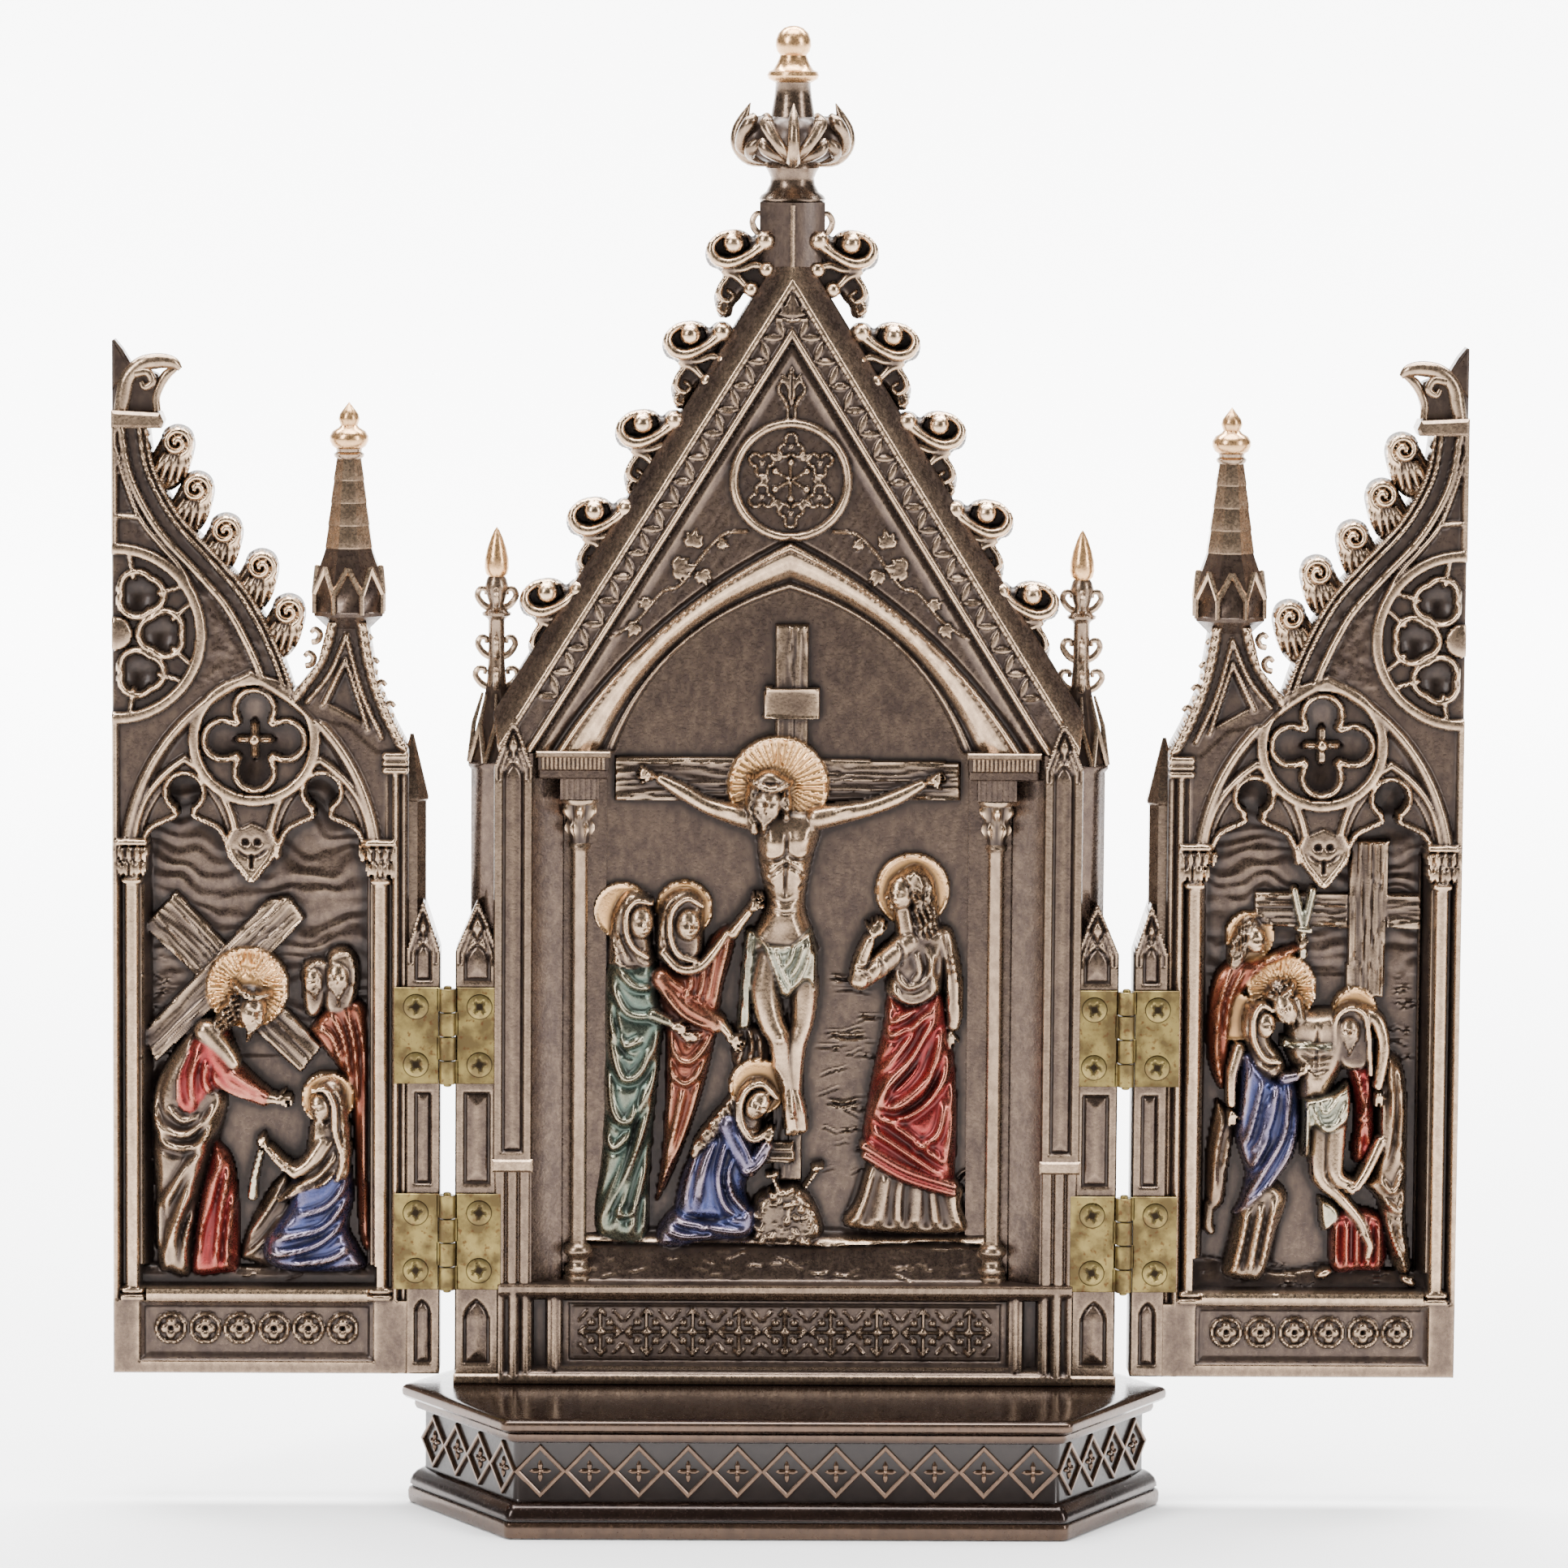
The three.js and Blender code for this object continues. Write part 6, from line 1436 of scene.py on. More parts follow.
def hangingFigure(board):
    # the hanging figure
    for way, reach in ((-1, [(-5.4, 110.9), (-9.2, 111.9), (-13.2, 113.2), (-17, 115.4), (-20.6, 117.4)]),
                       (1, [(4.6, 111.1), (8.8, 112), (13.1, 112.9), (17.6, 114.6), (21.5, 116.7)])):
        radii, crests = (2.0, 1.75, 1.35, 1.3, 0.78), (4.2, 4.2, 4.0, 3.7, 3.2)
        board.limb([(*p, r, c) for p, r, c in zip(reach, radii, crests)], "skin")
        board.blob(reach[1][0], reach[1][1] + 0.5, 2.3, 0.9, 4.3, "skin", 14 * way)
        hand(board, reach[4][0] + way * 1.7, reach[4][1] + 0.6, 90 - 72 * way, 1.75, 3.6, 9, -way, 0.75)
        board.blob(reach[4][0] + way * 1.7, reach[4][1] + 0.5, 0.3, 0.3, 4.1, "hair")
    chest = [(-6, 112), (-5.1, 108.6), (-4.7, 105), (-4.1, 101.4), (-3.5, 98), (-4.2, 95), (-5.8, 92),
             (-5, 89), (4.4, 89), (4.3, 92), (3.1, 95.6), (2.9, 98), (3.4, 101.6), (4.1, 105), (5.2, 108.6),
             (5.8, 111.8), (0.2, 113)]
    board.cloth(chest, 3.7, "skin", 2.8, swells=[(-2.6, 107.2, 2.0, 1.0), (2.3, 107.6, 2.1, 1.05),
                                                 (-2.6, 102.8, 1.5, 0.75), (2.1, 103, 1.5, 0.7),
                                                 (-0.5, 95, 2.4, 0.7), (0.4, 90.8, 3, 0.8)])
    folds(board, "skin", 0.3, -0.5, [(-5, 105.6), (-3.4, 104.4), (-1.2, 104.7), (-0.2, 106)],
          [(4.3, 105.8), (2.9, 104.7), (0.8, 104.8), (-0.2, 106)], [(-0.2, 109.6), (-0.3, 104.4), (-0.5, 98)],
          [(-3.4, 101.2), (-1.4, 103.2), (-0.3, 103.6), (1.2, 103.2), (3, 101.2)])
    folds(board, "skin", 0.24, -0.28, [(-4.3, 102.8), (-2.4, 101.8)], [(-4, 100.9), (-2.2, 99.8)],
          [(3.6, 102.8), (1.9, 101.8)], [(3.3, 100.9), (1.6, 99.8)],
          [(-2.6, 98.4), (-0.4, 97.7), (1.8, 98.4)], [(-2.4, 96.4), (-0.4, 96), (1.6, 96.4)])
    board.blob(-0.5, 94.4, 0.28, 0.3, 3.4, "hair")
    board.limb([(-2.6, 88, 3.0, 4.2), (-3.5, 83, 2.5, 4.6), (-2.5, 78, 2.15, 5.0), (-1.2, 75.4, 1.85, 5.2),
                (-0.6, 71, 1.6, 4.3), (0.3, 66.8, 1.05, 3.9)], "skin")
    board.limb([(2.2, 88, 2.7, 3.9), (2.9, 82.6, 2.2, 4.1), (2.6, 78, 1.8, 4.2), (1.7, 74.6, 1.6, 4.3),
                (1.4, 70.6, 1.4, 3.7), (1.4, 66.6, 1.0, 3.5)], "skin")
    board.blob(-1.1, 75.6, 1.2, 1.3, 5.5, "skin")
    board.limb([(0.4, 66.6, 1.0, 4.0), (0.6, 63.8, 1.15, 4.6), (0.9, 61.0, 1.2, 4.4)], "skin")
    board.limb([(1.5, 66.4, 1.0, 3.6), (2.2, 63.4, 1.1, 3.8), (2.6, 60.8, 1.0, 3.6)], "skin")
    for k in range(5):
        board.limb([(0.1 + 0.42 * k, 60.6, 0.24, 4.5 - 0.15 * k),
                    (0.15 + 0.44 * k, 59.8, 0.22, 4.2 - 0.15 * k)], "skin", soft=0.03, smooth=False)
    board.blob(1.0, 63, 0.4, 0.4, 5.2, "hair")


def loincloth(board):
    # its loincloth, with the hanging end
    board.cloth([(-8, 76.8), (-7.7, 82), (-7.2, 88), (-6.6, 92.8), (-4.8, 92.4), (-4.6, 88), (-5.6, 82),
                 (-5.7, 77.6), (-6.8, 76.6)], 2.9, "linen", 0.8)
    folds(board, "linen", 0.28, 0.5, [(-6.3, 92), (-6.9, 84), (-7.2, 78)],
          [(-5.5, 92), (-6.2, 84), (-6.3, 78)])
    board.cloth([(-6.2, 93), (-2.6, 91), (0.4, 91.2), (3.9, 93.6), (4.9, 89.4), (4.8, 82.6), (3.2, 84.6),
                 (1.6, 83.4), (0.2, 81.7), (-1.4, 82.6), (-2.4, 86), (-4, 90)], 5.3, "linen", 1.2,
                smooth=False)
    folds(board, "linen", 0.34, 0.55, [(-5.4, 92.4), (-2.6, 90.6), (0.6, 90.8), (3.7, 93)],
          [(-3.6, 90.6), (-1.6, 85.6), (0.1, 82.4)], [(-2.2, 90.6), (-0.8, 86.8), (0.7, 83.6)],
          [(4, 92.4), (2.8, 87.6), (1, 83.4)], [(3, 91.6), (1.6, 87.4), (0.2, 85.4)],
          [(1.2, 91), (0.5, 88.6), (-0.8, 87)], [(4.4, 91), (4.4, 87), (4.5, 83.2)])


def bowedHead(board):
    # his bowed head with its hair and the ring of thorns
    board.limb([(-3.4, 111.4, 2.2, 4.0), (-3.2, 113.4, 3.0, 4.0), (-2.6, 116.4, 3.3, 3.6)], "hair")
    board.limb([(-5.4, 116.2, 1.2, 4.4), (-6.0, 112.4, 1.0, 4.6), (-5.5, 109.2, 0.7, 4.8)], "hair")
    board.limb([(-1.0, 116.4, 1.2, 4.4), (-0.5, 113.6, 0.9, 4.6), (-0.3, 111.4, 0.5, 4.4)], "hair")
    board.limb([(-5.0, 116.6, 1.3, 5.0), (-3.2, 117.6, 1.4, 5.4), (-1.2, 116.8, 1.3, 5.0)], "hair")
    face(board, -3.3, 113.8, 3.05, 5.9, -0.2, -6, 0.75)
    locks(board, [(-5.6, 117), (-6.3, 113), (-5.8, 109.4)], [(-4.8, 116), (-5.2, 112.6), (-4.9, 110)], 4, 0.4,
          0.2, 2.2)
    locks(board, [(-1.2, 116.4), (0, 114), (0.8, 112)], [(-1.2, 114.8), (-0.6, 113), (-0.2, 111.6)], 3, 0.4,
          0.2, 2.2)
    thorns(board, -3.0, 117.0, 2.9, 6.6, -6)


def twoWomen(board):
    # the two women on the left
    halo(board, -26.7, 95.8, 4.6, 1.5)
    halo(board, -16.6, 96.2, 4.6, 1.4)
    mantle = [(-28.6, 88), (-29.3, 84), (-29.3, 75), (-29.5, 63), (-30, 54.5), (-31, 47.4), (-30.4, 43),
              (-26.4, 41.4), (-22.5, 42.4), (-22.1, 50), (-21.5, 60), (-20.7, 69), (-20, 75.4), (-19.2, 78.8),
              (-20.6, 81.8), (-21.6, 88)]
    board.cloth(mantle, 3.5, "green", 2.8, swells=[(-25.6, 84.5, 3, 0.6), (-24.4, 75, 3.4, 0.9),
                                                   (-25.6, 66, 3, 0.4), (-25.8, 45, 3, 0.7)])
    folds(board, "green", 0.62, 1.0, [(-29.1, 80), (-28, 73), (-26.1, 68.9), (-23.2, 70.4), (-20.4, 77)],
          [(-29.2, 71), (-28.1, 64), (-25.9, 61.8), (-23.4, 64.6), (-21.2, 70)],
          [(-20.3, 78), (-21.4, 67), (-24, 58.4), (-27.8, 50), (-30.7, 44.4)])
    folds(board, "green", 0.5, 0.75, [(-28.6, 84.6), (-25.6, 79.6), (-20.8, 79)],
          [(-27.4, 87), (-24.6, 84), (-21, 83.6)], [(-22.1, 63), (-25.4, 52.6), (-27.8, 43.6)],
          [(-22, 56), (-24.2, 48), (-25, 42.6)], [(-22.3, 50), (-22.8, 43.4)],
          [(-29.4, 60), (-27.8, 57.6), (-25, 60)], [(-28.4, 77.6), (-26.2, 74.4), (-23, 75.6)],
          [(-27.8, 48), (-26, 46.6), (-23.9, 48)])
    folds(board, "green", 0.35, -0.6, [(-28, 80.6), (-26.6, 73.6), (-24.2, 72)],
          [(-23.4, 68), (-25.2, 57), (-29.2, 47)])
    board.cloth([(-28.9, 87.2), (-28.7, 92), (-28.1, 96.2), (-26, 99.2), (-23.1, 98.9), (-21.7, 96.8),
                 (-21.9, 91.4), (-21.4, 87), (-25, 85.6)], 3.5, "bronze", 1.6)
    folds(board, "bronze", 0.32, 0.5, [(-27.7, 96.6), (-28.2, 92), (-27, 87.6)],
          [(-26.7, 97.8), (-27.3, 92.4), (-25.4, 87)], [(-25.8, 98.4), (-26.4, 93), (-23.9, 88.4), (-22, 87)],
          [(-28.4, 88.4), (-25.6, 86.6), (-22, 86.8)])
    face(board, -23.6, 94.2, 2.8, 4.7, 0.6, -4)
    board.limb([(-21.9, 97.4, 0.4, 4.3), (-24.4, 97.7, 0.45, 4.6), (-25.9, 95.8, 0.5, 4.7),
                (-25.9, 92.6, 0.5, 4.8), (-24.6, 90, 0.5, 4.7), (-22.6, 88.6, 0.5, 4.3)], "bronze", soft=0.1)
    board.limb([(-21.6, 79.2, 1.1, 4.6), (-19.2, 78.2, 0.9, 4.6)], "green")
    hand(board, -17.9, 77.3, -20, 1.6, 4.8, 8, 1)
    hand(board, -16.2, 75.9, -8, 1.5, 4.5, 7, -1)
    rust = [(-20.9, 88), (-20.5, 81), (-19.6, 76.4), (-19.4, 70), (-19.7, 60), (-20.2, 54), (-20.9, 48.6),
            (-19.6, 50.4), (-17.5, 55), (-15, 62), (-13.1, 68), (-11.5, 75), (-10.9, 78.6), (-10.2, 84),
            (-9.0, 88), (-8.2, 92.4), (-9.6, 93.6), (-11.8, 92), (-13.6, 89.2), (-17, 86)]
    board.cloth(rust, 3.2, "rust", 2.2, swells=[(-15.8, 84, 3, 0.6), (-15.6, 72, 2.4, 0.7)])
    board.limb([(-20.2, 85, 1.8, 4.2), (-16.2, 80.4, 1.8, 4.7), (-11.4, 77.8, 1.7, 4.6)], "rust")
    folds(board, "rust", 0.5, 0.85, [(-19.2, 77.2), (-17.8, 72.6), (-15.4, 71.8), (-12.6, 74.8), (-11, 77.6)],
          [(-13.4, 71), (-15.6, 62), (-20.2, 50.6)],
          [(-19.3, 72), (-17.8, 68.8), (-15.4, 68.4), (-12.6, 72.4)],
          [(-16.4, 68.4), (-18.2, 60), (-20.4, 51)], [(-9.2, 92.4), (-10.6, 86), (-11.8, 79.6)])
    folds(board, "rust", 0.4, 0.6, [(-20.4, 83.6), (-16.8, 79.2), (-12, 76.8)],
          [(-19.6, 86.2), (-15.4, 82.2), (-11.4, 79.4)], [(-10.8, 92), (-12, 86), (-13, 80.4)],
          [(-13.2, 88.6), (-13.6, 84.4), (-14.4, 81.4)], [(-15.6, 86.6), (-15.6, 84), (-16.6, 81.6)],
          [(-19, 75), (-18.6, 66), (-20, 56)], [(-17.8, 78), (-16, 75.6), (-13, 76.4)])
    board.cloth([(-21, 88), (-21.2, 94.4), (-19.8, 98.2), (-16.8, 99.8), (-14.2, 98.8), (-13.3, 96),
                 (-13.5, 92), (-13.9, 88.6), (-17.2, 86)], 3.5, "bronze", 1.5)
    face(board, -16.0, 93.9, 2.75, 4.8, 0.5, -4)
    board.limb([(-13.7, 97, 0.42, 4.5), (-16.2, 98.2, 0.5, 4.8), (-18.6, 96.2, 0.55, 4.9),
                (-18.9, 92.4, 0.55, 4.9), (-17.6, 89.2, 0.55, 4.8), (-14.8, 88, 0.5, 4.5)], "bronze",
               soft=0.1)
    folds(board, "bronze", 0.28, 0.45, [(-16.6, 99.2), (-19.4, 97), (-19.9, 92), (-18.6, 88)],
          [(-20.4, 95), (-20.5, 90), (-19, 87)])
    board.limb([(-20, 89.4, 0.7, 4.4), (-17.4, 86.8, 0.8, 4.7), (-14.2, 87, 0.85, 4.6),
                (-11.6, 89.8, 0.7, 4.2), (-9.8, 92.6, 0.4, 3.9)], "bronze", soft=0.12)
    board.limb([(-8.8, 92.4, 0.95, 3.8), (-7.2, 94.6, 0.75, 3.8), (-6, 96.2, 0.7, 3.9)], "skin")
    hand(board, -5.5, 97, 62, 1.6, 5.2, 8, -1)
    board.limb([(-10.6, 77.6, 0.9, 4.3), (-9.4, 76.2, 0.7, 4.3)], "skin")
    hand(board, -8.9, 75.2, -38, 1.7, 4.4, 9, 1)


def womanAtTheFoot(board):
    # the kneeling woman at the foot of the cross
    board.cloth([(-8.6, 77.6), (-5.4, 77.4), (-3, 75), (-3, 70), (-8.4, 70.6)], 1.7, "bronze", 1.2)
    folds(board, "bronze", 0.32, 0.6, [(-7.6, 77), (-7.2, 74), (-7.8, 71)], [(-6, 77), (-5.6, 74), (-6, 71)],
          [(-4.4, 76), (-4.1, 73), (-4.2, 71)])
    halo(board, -4.6, 67.4, 4.6, 2.6)
    blue = [(-8.6, 62.6), (-11.6, 60.2), (-14.6, 57.4), (-16.8, 52.6), (-17.8, 48), (-17, 45), (-6, 45),
            (-5.2, 47), (-6.4, 50.4), (-5.6, 53.6), (-4.2, 57), (-4.8, 60.6)]
    board.cloth(blue, 4.4, "blue", 3.0, swells=[(-13.4, 53, 3, 0.7)])
    board.cloth([(-18, 47.4), (-12, 46.6), (-5.4, 48), (-4.6, 44.4), (-6.8, 42.4), (-13, 42), (-17.4, 41),
                 (-20.4, 41.4), (-20.8, 43.6), (-19.4, 46)], 4.6, "blue", 2.0)
    folds(board, "blue", 0.5, 0.85, [(-11.2, 60), (-13.4, 54), (-14.2, 47.6)],
          [(-9.3, 60), (-10.8, 54), (-10.2, 49), (-7.4, 45.4)], [(-14, 57.6), (-15.8, 52.4), (-16.4, 47.6)],
          [(-9.6, 55), (-8.4, 50), (-5.6, 46.6)], [(-18.4, 46.4), (-13, 44.8), (-6.2, 43.8)],
          [(-19.8, 44.8), (-16.8, 43.4), (-11, 43.2)])
    folds(board, "blue", 0.36, 0.5, [(-12.6, 58.6), (-14.4, 53), (-15, 48)],
          [(-8.2, 57), (-9.4, 52.4), (-8, 48)], [(-17.6, 45.6), (-14, 44.2), (-12, 45.4)])
    board.limb([(-9.2, 61.2, 1.9, 5.2), (-7.6, 57.4, 1.75, 5.6), (-6, 54.6, 1.55, 5.6)], "blue")
    board.limb([(-6, 54.3, 1.5, 5.6), (-4.4, 56, 1.3, 5.4), (-3.2, 58, 1.1, 5.2)], "blue")
    folds(board, "blue", 0.3, 0.5, [(-8.2, 61), (-6.2, 57.4), (-5.4, 55)],
          [(-6.8, 53.6), (-4.4, 54.8), (-2.8, 57)])
    board.limb([(-8.6, 64.6, 1.2, 3.7), (-11, 61.6, 1.3, 4.2), (-13.6, 58.4, 1.1, 4.3),
                (-14.8, 56.4, 0.6, 4.2)], "hair")
    locks(board, [(-8.2, 66.4), (-11.4, 62.8), (-15.2, 57.4)], [(-7.8, 63.6), (-10.2, 60.6), (-13.2, 57)], 5,
          0.55, 0.36, 2.2, 0.28)
    board.limb([(-4.6, 66.4, 3.3, 4.4), (-6.2, 63.2, 2.6, 4.6), (-6, 60, 1.8, 4.8)], "bronze")
    face(board, -4.6, 64.8, 2.55, 6.2, 0.35, -30)
    board.limb([(-1.6, 66, 0.5, 5.4), (-3.8, 68.2, 0.6, 5.6), (-6.4, 67.4, 0.65, 5.7),
                (-7.6, 64.4, 0.65, 5.8), (-7, 61.2, 0.7, 5.9), (-5.2, 59.2, 0.65, 5.8),
                (-2.6, 60.6, 0.45, 5.4)], "bronze", soft=0.1)
    folds(board, "bronze", 0.3, 0.5, [(-7.9, 68), (-8.4, 64.4), (-7.9, 60.6)], [(-5, 69.2), (-7.4, 68.4)],
          [(-6.4, 61), (-4.6, 60.4), (-3, 62.2)], [(-1.4, 65.4), (-2.2, 62.4), (-4.6, 59.6)])
    hand(board, -2.8, 59.4, 78, 1.4, 5.6, 6, 1)


def disciple(board):
    # the disciple on the right
    halo(board, 20.2, 99.4, 6.0, 1.4)
    board.cloth([(13.4, 55.8), (11.8, 49.6), (9.4, 45.2), (12.6, 43.8), (20, 43.2), (26, 43.2), (29.6, 44),
                 (28.6, 48), (27.6, 52)], 3.0, "bronze", 1.4)
    for k in range(6):
        foot = 10.8 + 3.3 * k
        board.fold([(14 + 2.4 * k, 54.6 - 0.6 * k), (12.6 + 2.8 * k + 0.4 * (k % 2), 49.6),
                    (foot + 0.5 * (k % 3), 44.2)], 0.7 + 0.25 * (k % 2), 0.75, "bronze", groove=0.25)
    red = [(16.2, 82.8), (15.6, 77), (14.3, 71), (13.3, 65.4), (12.5, 59.4), (12.7, 55.4), (17.4, 52.6),
           (22, 51), (27, 49.8), (27.5, 54), (27.7, 62), (27.3, 71), (26.2, 77), (24.8, 83), (20.4, 81)]
    board.cloth(red, 3.8, "red", 2.6, swells=[(17.4, 66, 3.6, 0.8), (23, 60, 4, 0.5)])
    folds(board, "red", 0.75, 1.15, [(24.6, 82), (21.4, 74), (16.4, 68.4), (13.6, 62)],
          [(25.4, 78), (23.4, 70), (18.4, 65), (14.2, 64.4)])
    folds(board, "red", 0.55, 0.85, [(16.2, 81.6), (16.8, 78.4), (20, 79.8), (23.6, 82.4)],
          [(15.9, 79), (16.6, 76.2), (20.4, 77.8), (24, 81)],
          [(26.2, 76), (25.4, 69), (20.6, 63.6), (14.4, 62)], [(13.8, 63.8), (18.8, 60.6), (25.8, 55)],
          [(13.4, 61), (18, 58), (26, 52.6)], [(27, 69), (26.7, 61), (25.8, 55)],
          [(26, 66), (24.4, 60), (20, 57.4)], [(22.6, 80.4), (18.8, 74), (15, 69.4)])
    folds(board, "red", 0.4, -0.7, [(23.4, 77), (20, 70.4), (16, 66.4)], [(24.8, 72), (22.6, 66), (17, 62.6)])
    for x0, z0, x1, z1, crest in ((12.8, 58, 27.1, 51.6, 4.4), (13, 56.4, 27, 50.4, 4.1)):
        board.limb([(x0, z0, 0.85, crest), ((x0 + x1) / 2 - 0.6, (z0 + z1) / 2 - 0.6, 0.9, crest + 0.2),
                    (x1, z1, 0.8, crest)], "red", soft=0.1)
    board.cloth([(18.2, 94), (16.8, 90), (16.2, 85.6), (16.2, 82.4), (20.2, 80.4), (24.6, 82.4), (25.6, 86),
                 (26.2, 92.6), (23.4, 94)], 4.0, "bronze", 2.2)
    folds(board, "bronze", 0.42, 0.6, [(16.8, 84.6), (18.6, 81.6), (22, 81.4), (24.2, 84)],
          [(17, 87), (19.6, 84), (22.8, 86), (24, 91)], [(22.6, 91), (23.4, 86), (24.4, 82.6)],
          [(20.6, 90), (21.4, 86.6), (20, 84.4)])
    board.limb([(25.4, 92, 1.5, 3.2), (26.7, 86, 1.6, 3.2), (27.1, 79.6, 1.35, 2.9), (26.9, 77.6, 1.2, 2.8)],
               "bronze")
    folds(board, "bronze", 0.26, 0.45, [(25, 92), (26, 86), (26.2, 79)], [(26, 91), (27.4, 85), (27.7, 79.4)])
    hand(board, 26.5, 75.8, -96, 1.5, 2.8, 7, 1)
    board.limb([(19.6, 91.2, 2.2, 4.8), (15.4, 87.8, 2.0, 5.1), (11.9, 84.9, 1.6, 5.0)], "bronze")
    board.limb([(11.5, 85, 1.5, 4.9), (12.1, 88.4, 1.25, 4.9), (13.2, 91.4, 1.0, 4.9)], "bronze")
    folds(board, "bronze", 0.26, -0.5, [(17.8, 91.6), (18.6, 89.6), (18.2, 87.4)],
          [(14.6, 89.2), (15.4, 87.2), (14.9, 85.2)], [(12, 86.8), (13.2, 85.6), (13, 83.6)],
          [(10.8, 87.4), (12.4, 87.2), (13.4, 87.8)])
    hand(board, 14.0, 92.8, 74, 1.7, 5.1, 6, 1, 0.8)
    hand(board, 14.9, 93.2, 96, 1.5, 4.8, 6, -1, 0.8)
    board.limb([(18.7, 96.2, 1.5, 3.9), (19.2, 93.2, 1.7, 4.1)], "skin")
    board.cloth([(18.2, 102.4), (20.6, 103.8), (23.2, 102), (24.2, 97.6), (24.4, 92), (22.8, 90.6),
                 (20.6, 91.4), (19.8, 95), (19.4, 99)], 4.3, "hair", 1.6)
    face(board, 18.3, 99.2, 2.75, 4.9, -0.9, 6)
    board.cloth([(17.8, 102.2), (20.4, 103.4), (22.4, 101), (21.6, 97.4), (19.8, 97.6), (19.2, 100.2)], 5.2,
                "hair", 0.9)
    locks(board, [(18.2, 102.6), (20.2, 98.6), (20.2, 91.4)], [(20.8, 103.6), (24, 98.6), (24.2, 91.4)], 6,
          0.55, 0.4, 4.4, 0.3)
    rocks(board, [(-5.2, 42), (-5.2, 48.6), (-2.6, 50.8), (1.6, 51.6), (4.6, 48.6), (6.2, 43.6), (3.6, 41.4),
                  (-2, 41.2)], 12, 90, 0.62, 3.7)
    for hx, hz, tx, tz in ((-2.2, 53, -0.9, 50.2), (5.2, 54.2, 3.2, 51.2), (0.6, 48.2, 0.5, 45.6)):
        board.limb([(hx, hz, 0.36, 4.4), (tx, tz, 0.26, 4.2)], "bronze", smooth=False, soft=0.05)
        board.limb([(hx - 0.7, hz + 0.1, 0.34, 4.7), (hx + 0.7, hz + 0.4, 0.34, 4.7)], "bronze", smooth=False,
                   soft=0.05)


def crucifixion(board):
    ledge = [(-33, 34), (33, 34), (33, 41.6), (26, 42.2), (8, 41.4), (-8, 41.8), (-33, 42)]
    board.ramp(ledge, lambda x, z: np.interp(z, [34.0, 35.2, 36.2, 41.0, 42.5],
                                             [-1.0, -1.0, -2.4, -4.8, -6.6]))
    scratched(board, [(-32, 36.4), (32, 41.5)], 5, 46, 2.6, 0.2, 0.2)
    scratched(board, [(6, 52), (14, 84)], 6, 26, 4.5, 0.14, -0.22)
    for points in ([(-28, 51), (-31, 49)], [(7, 85), (9.6, 84.6), (12.8, 84.9)],
                   [(7, 75.6), (10, 75.2), (13, 75.4)], [(6.6, 64.6), (9.4, 64.2), (12.2, 64.9)],
                   [(25, 47), (29, 53), (31, 51)]):
        board.fold(points, 0.24, -0.4, groove=0.7)
    timber(board, [(-2.2, 52), (2.6, 52), (3.2, 142.2), (-2.1, 142.2)], 1.5, 90, 3)
    timber(board, [(-27.9, 113.7), (27.6, 113.9), (27.6, 120.1), (0, 120.7), (-27.9, 120.7)], 1.6, 1, 4)
    board.ramp([(-3.9, 127.4), (4.6, 127.2), (4.8, 131.8), (-3.6, 132)], board.ground + 2.2, "bronze")
    board.line([(-3.9, 127.4), (4.6, 127.2), (4.8, 131.8), (-3.6, 132), (-3.9, 127.4)], 0.45,
               board.ground + 2.4)
    timber(board, [(-3.9, 54.8), (1.6, 55.2), (1.2, 58.4), (-3.6, 58.4)], 3.0, 0, 6)
    halo(board, -1.6, 116.2, 8.1, 2.5, 38)
    hangingFigure(board)
    loincloth(board)
    bowedHead(board)
    twoWomen(board)
    womanAtTheFoot(board)
    disciple(board)


def cloudy(board, left, right, bottom, top, seed):
    # the sky behind a scene: brushed swirls
    at = board.window([(left, bottom), (right, top)], 0)
    x, z = board.x[at], board.z[at]
    low = np.abs(board.h[at] - board.ground) < 0.1
    u, v = x / 9 + 0.9 * roughNoise(x / 8, z / 8, seed,
                                    2), z / 3.4 + 1.2 * roughNoise(x / 7, z / 7, seed + 5, 2)
    board.h[at] += np.where(low, 0.3 * roughNoise(u, v, seed + 1, 3) + 0.06 * np.sin(8 * v), 0)


def menBehind(board):
    # two men behind
    orange = [(-77, 76.6), (-73.6, 80.4), (-69.4, 81.4), (-67.4, 79), (-67, 71), (-67.2, 58), (-66.8, 46),
              (-66.8, 40.4), (-68.8, 43), (-69.8, 60), (-71, 68), (-74.4, 73)]
    board.cloth(orange, 2.6, "rust", 1.7)
    folds(board, "rust", 0.4, 0.7, [(-73.8, 80), (-71.4, 75), (-70, 66)],
          [(-71.4, 81), (-69.6, 74), (-68.9, 62)], [(-69.2, 81), (-68, 72), (-68, 58), (-67.6, 44)],
          [(-76, 77.4), (-73.2, 75.4), (-71.6, 71)])
    board.cloth([(-78.4, 85.6), (-77.6, 87.6), (-75, 88.2), (-73.6, 87), (-74, 82), (-75.6, 78.6),
                 (-77.6, 79.4)], 2.2, "bronze", 1.2)
    face(board, -76.3, 84.6, 2.1, 3.1, 0.1, 4, 0.6)
    board.cloth([(-74.6, 86), (-73.6, 89.4), (-71, 90), (-69, 87.4), (-69.2, 82), (-71, 79), (-74.4, 79.6)],
                2.7, "bronze", 1.3)
    face(board, -72.3, 85.2, 2.5, 3.7, -0.15, 4, 1.0)
    folds(board, "bronze", 0.3, 0.5, [(-73.6, 88.6), (-70.6, 89.2), (-69.6, 86), (-70, 82)],
          [(-78, 86.4), (-75.4, 87.6), (-74, 86.6)])


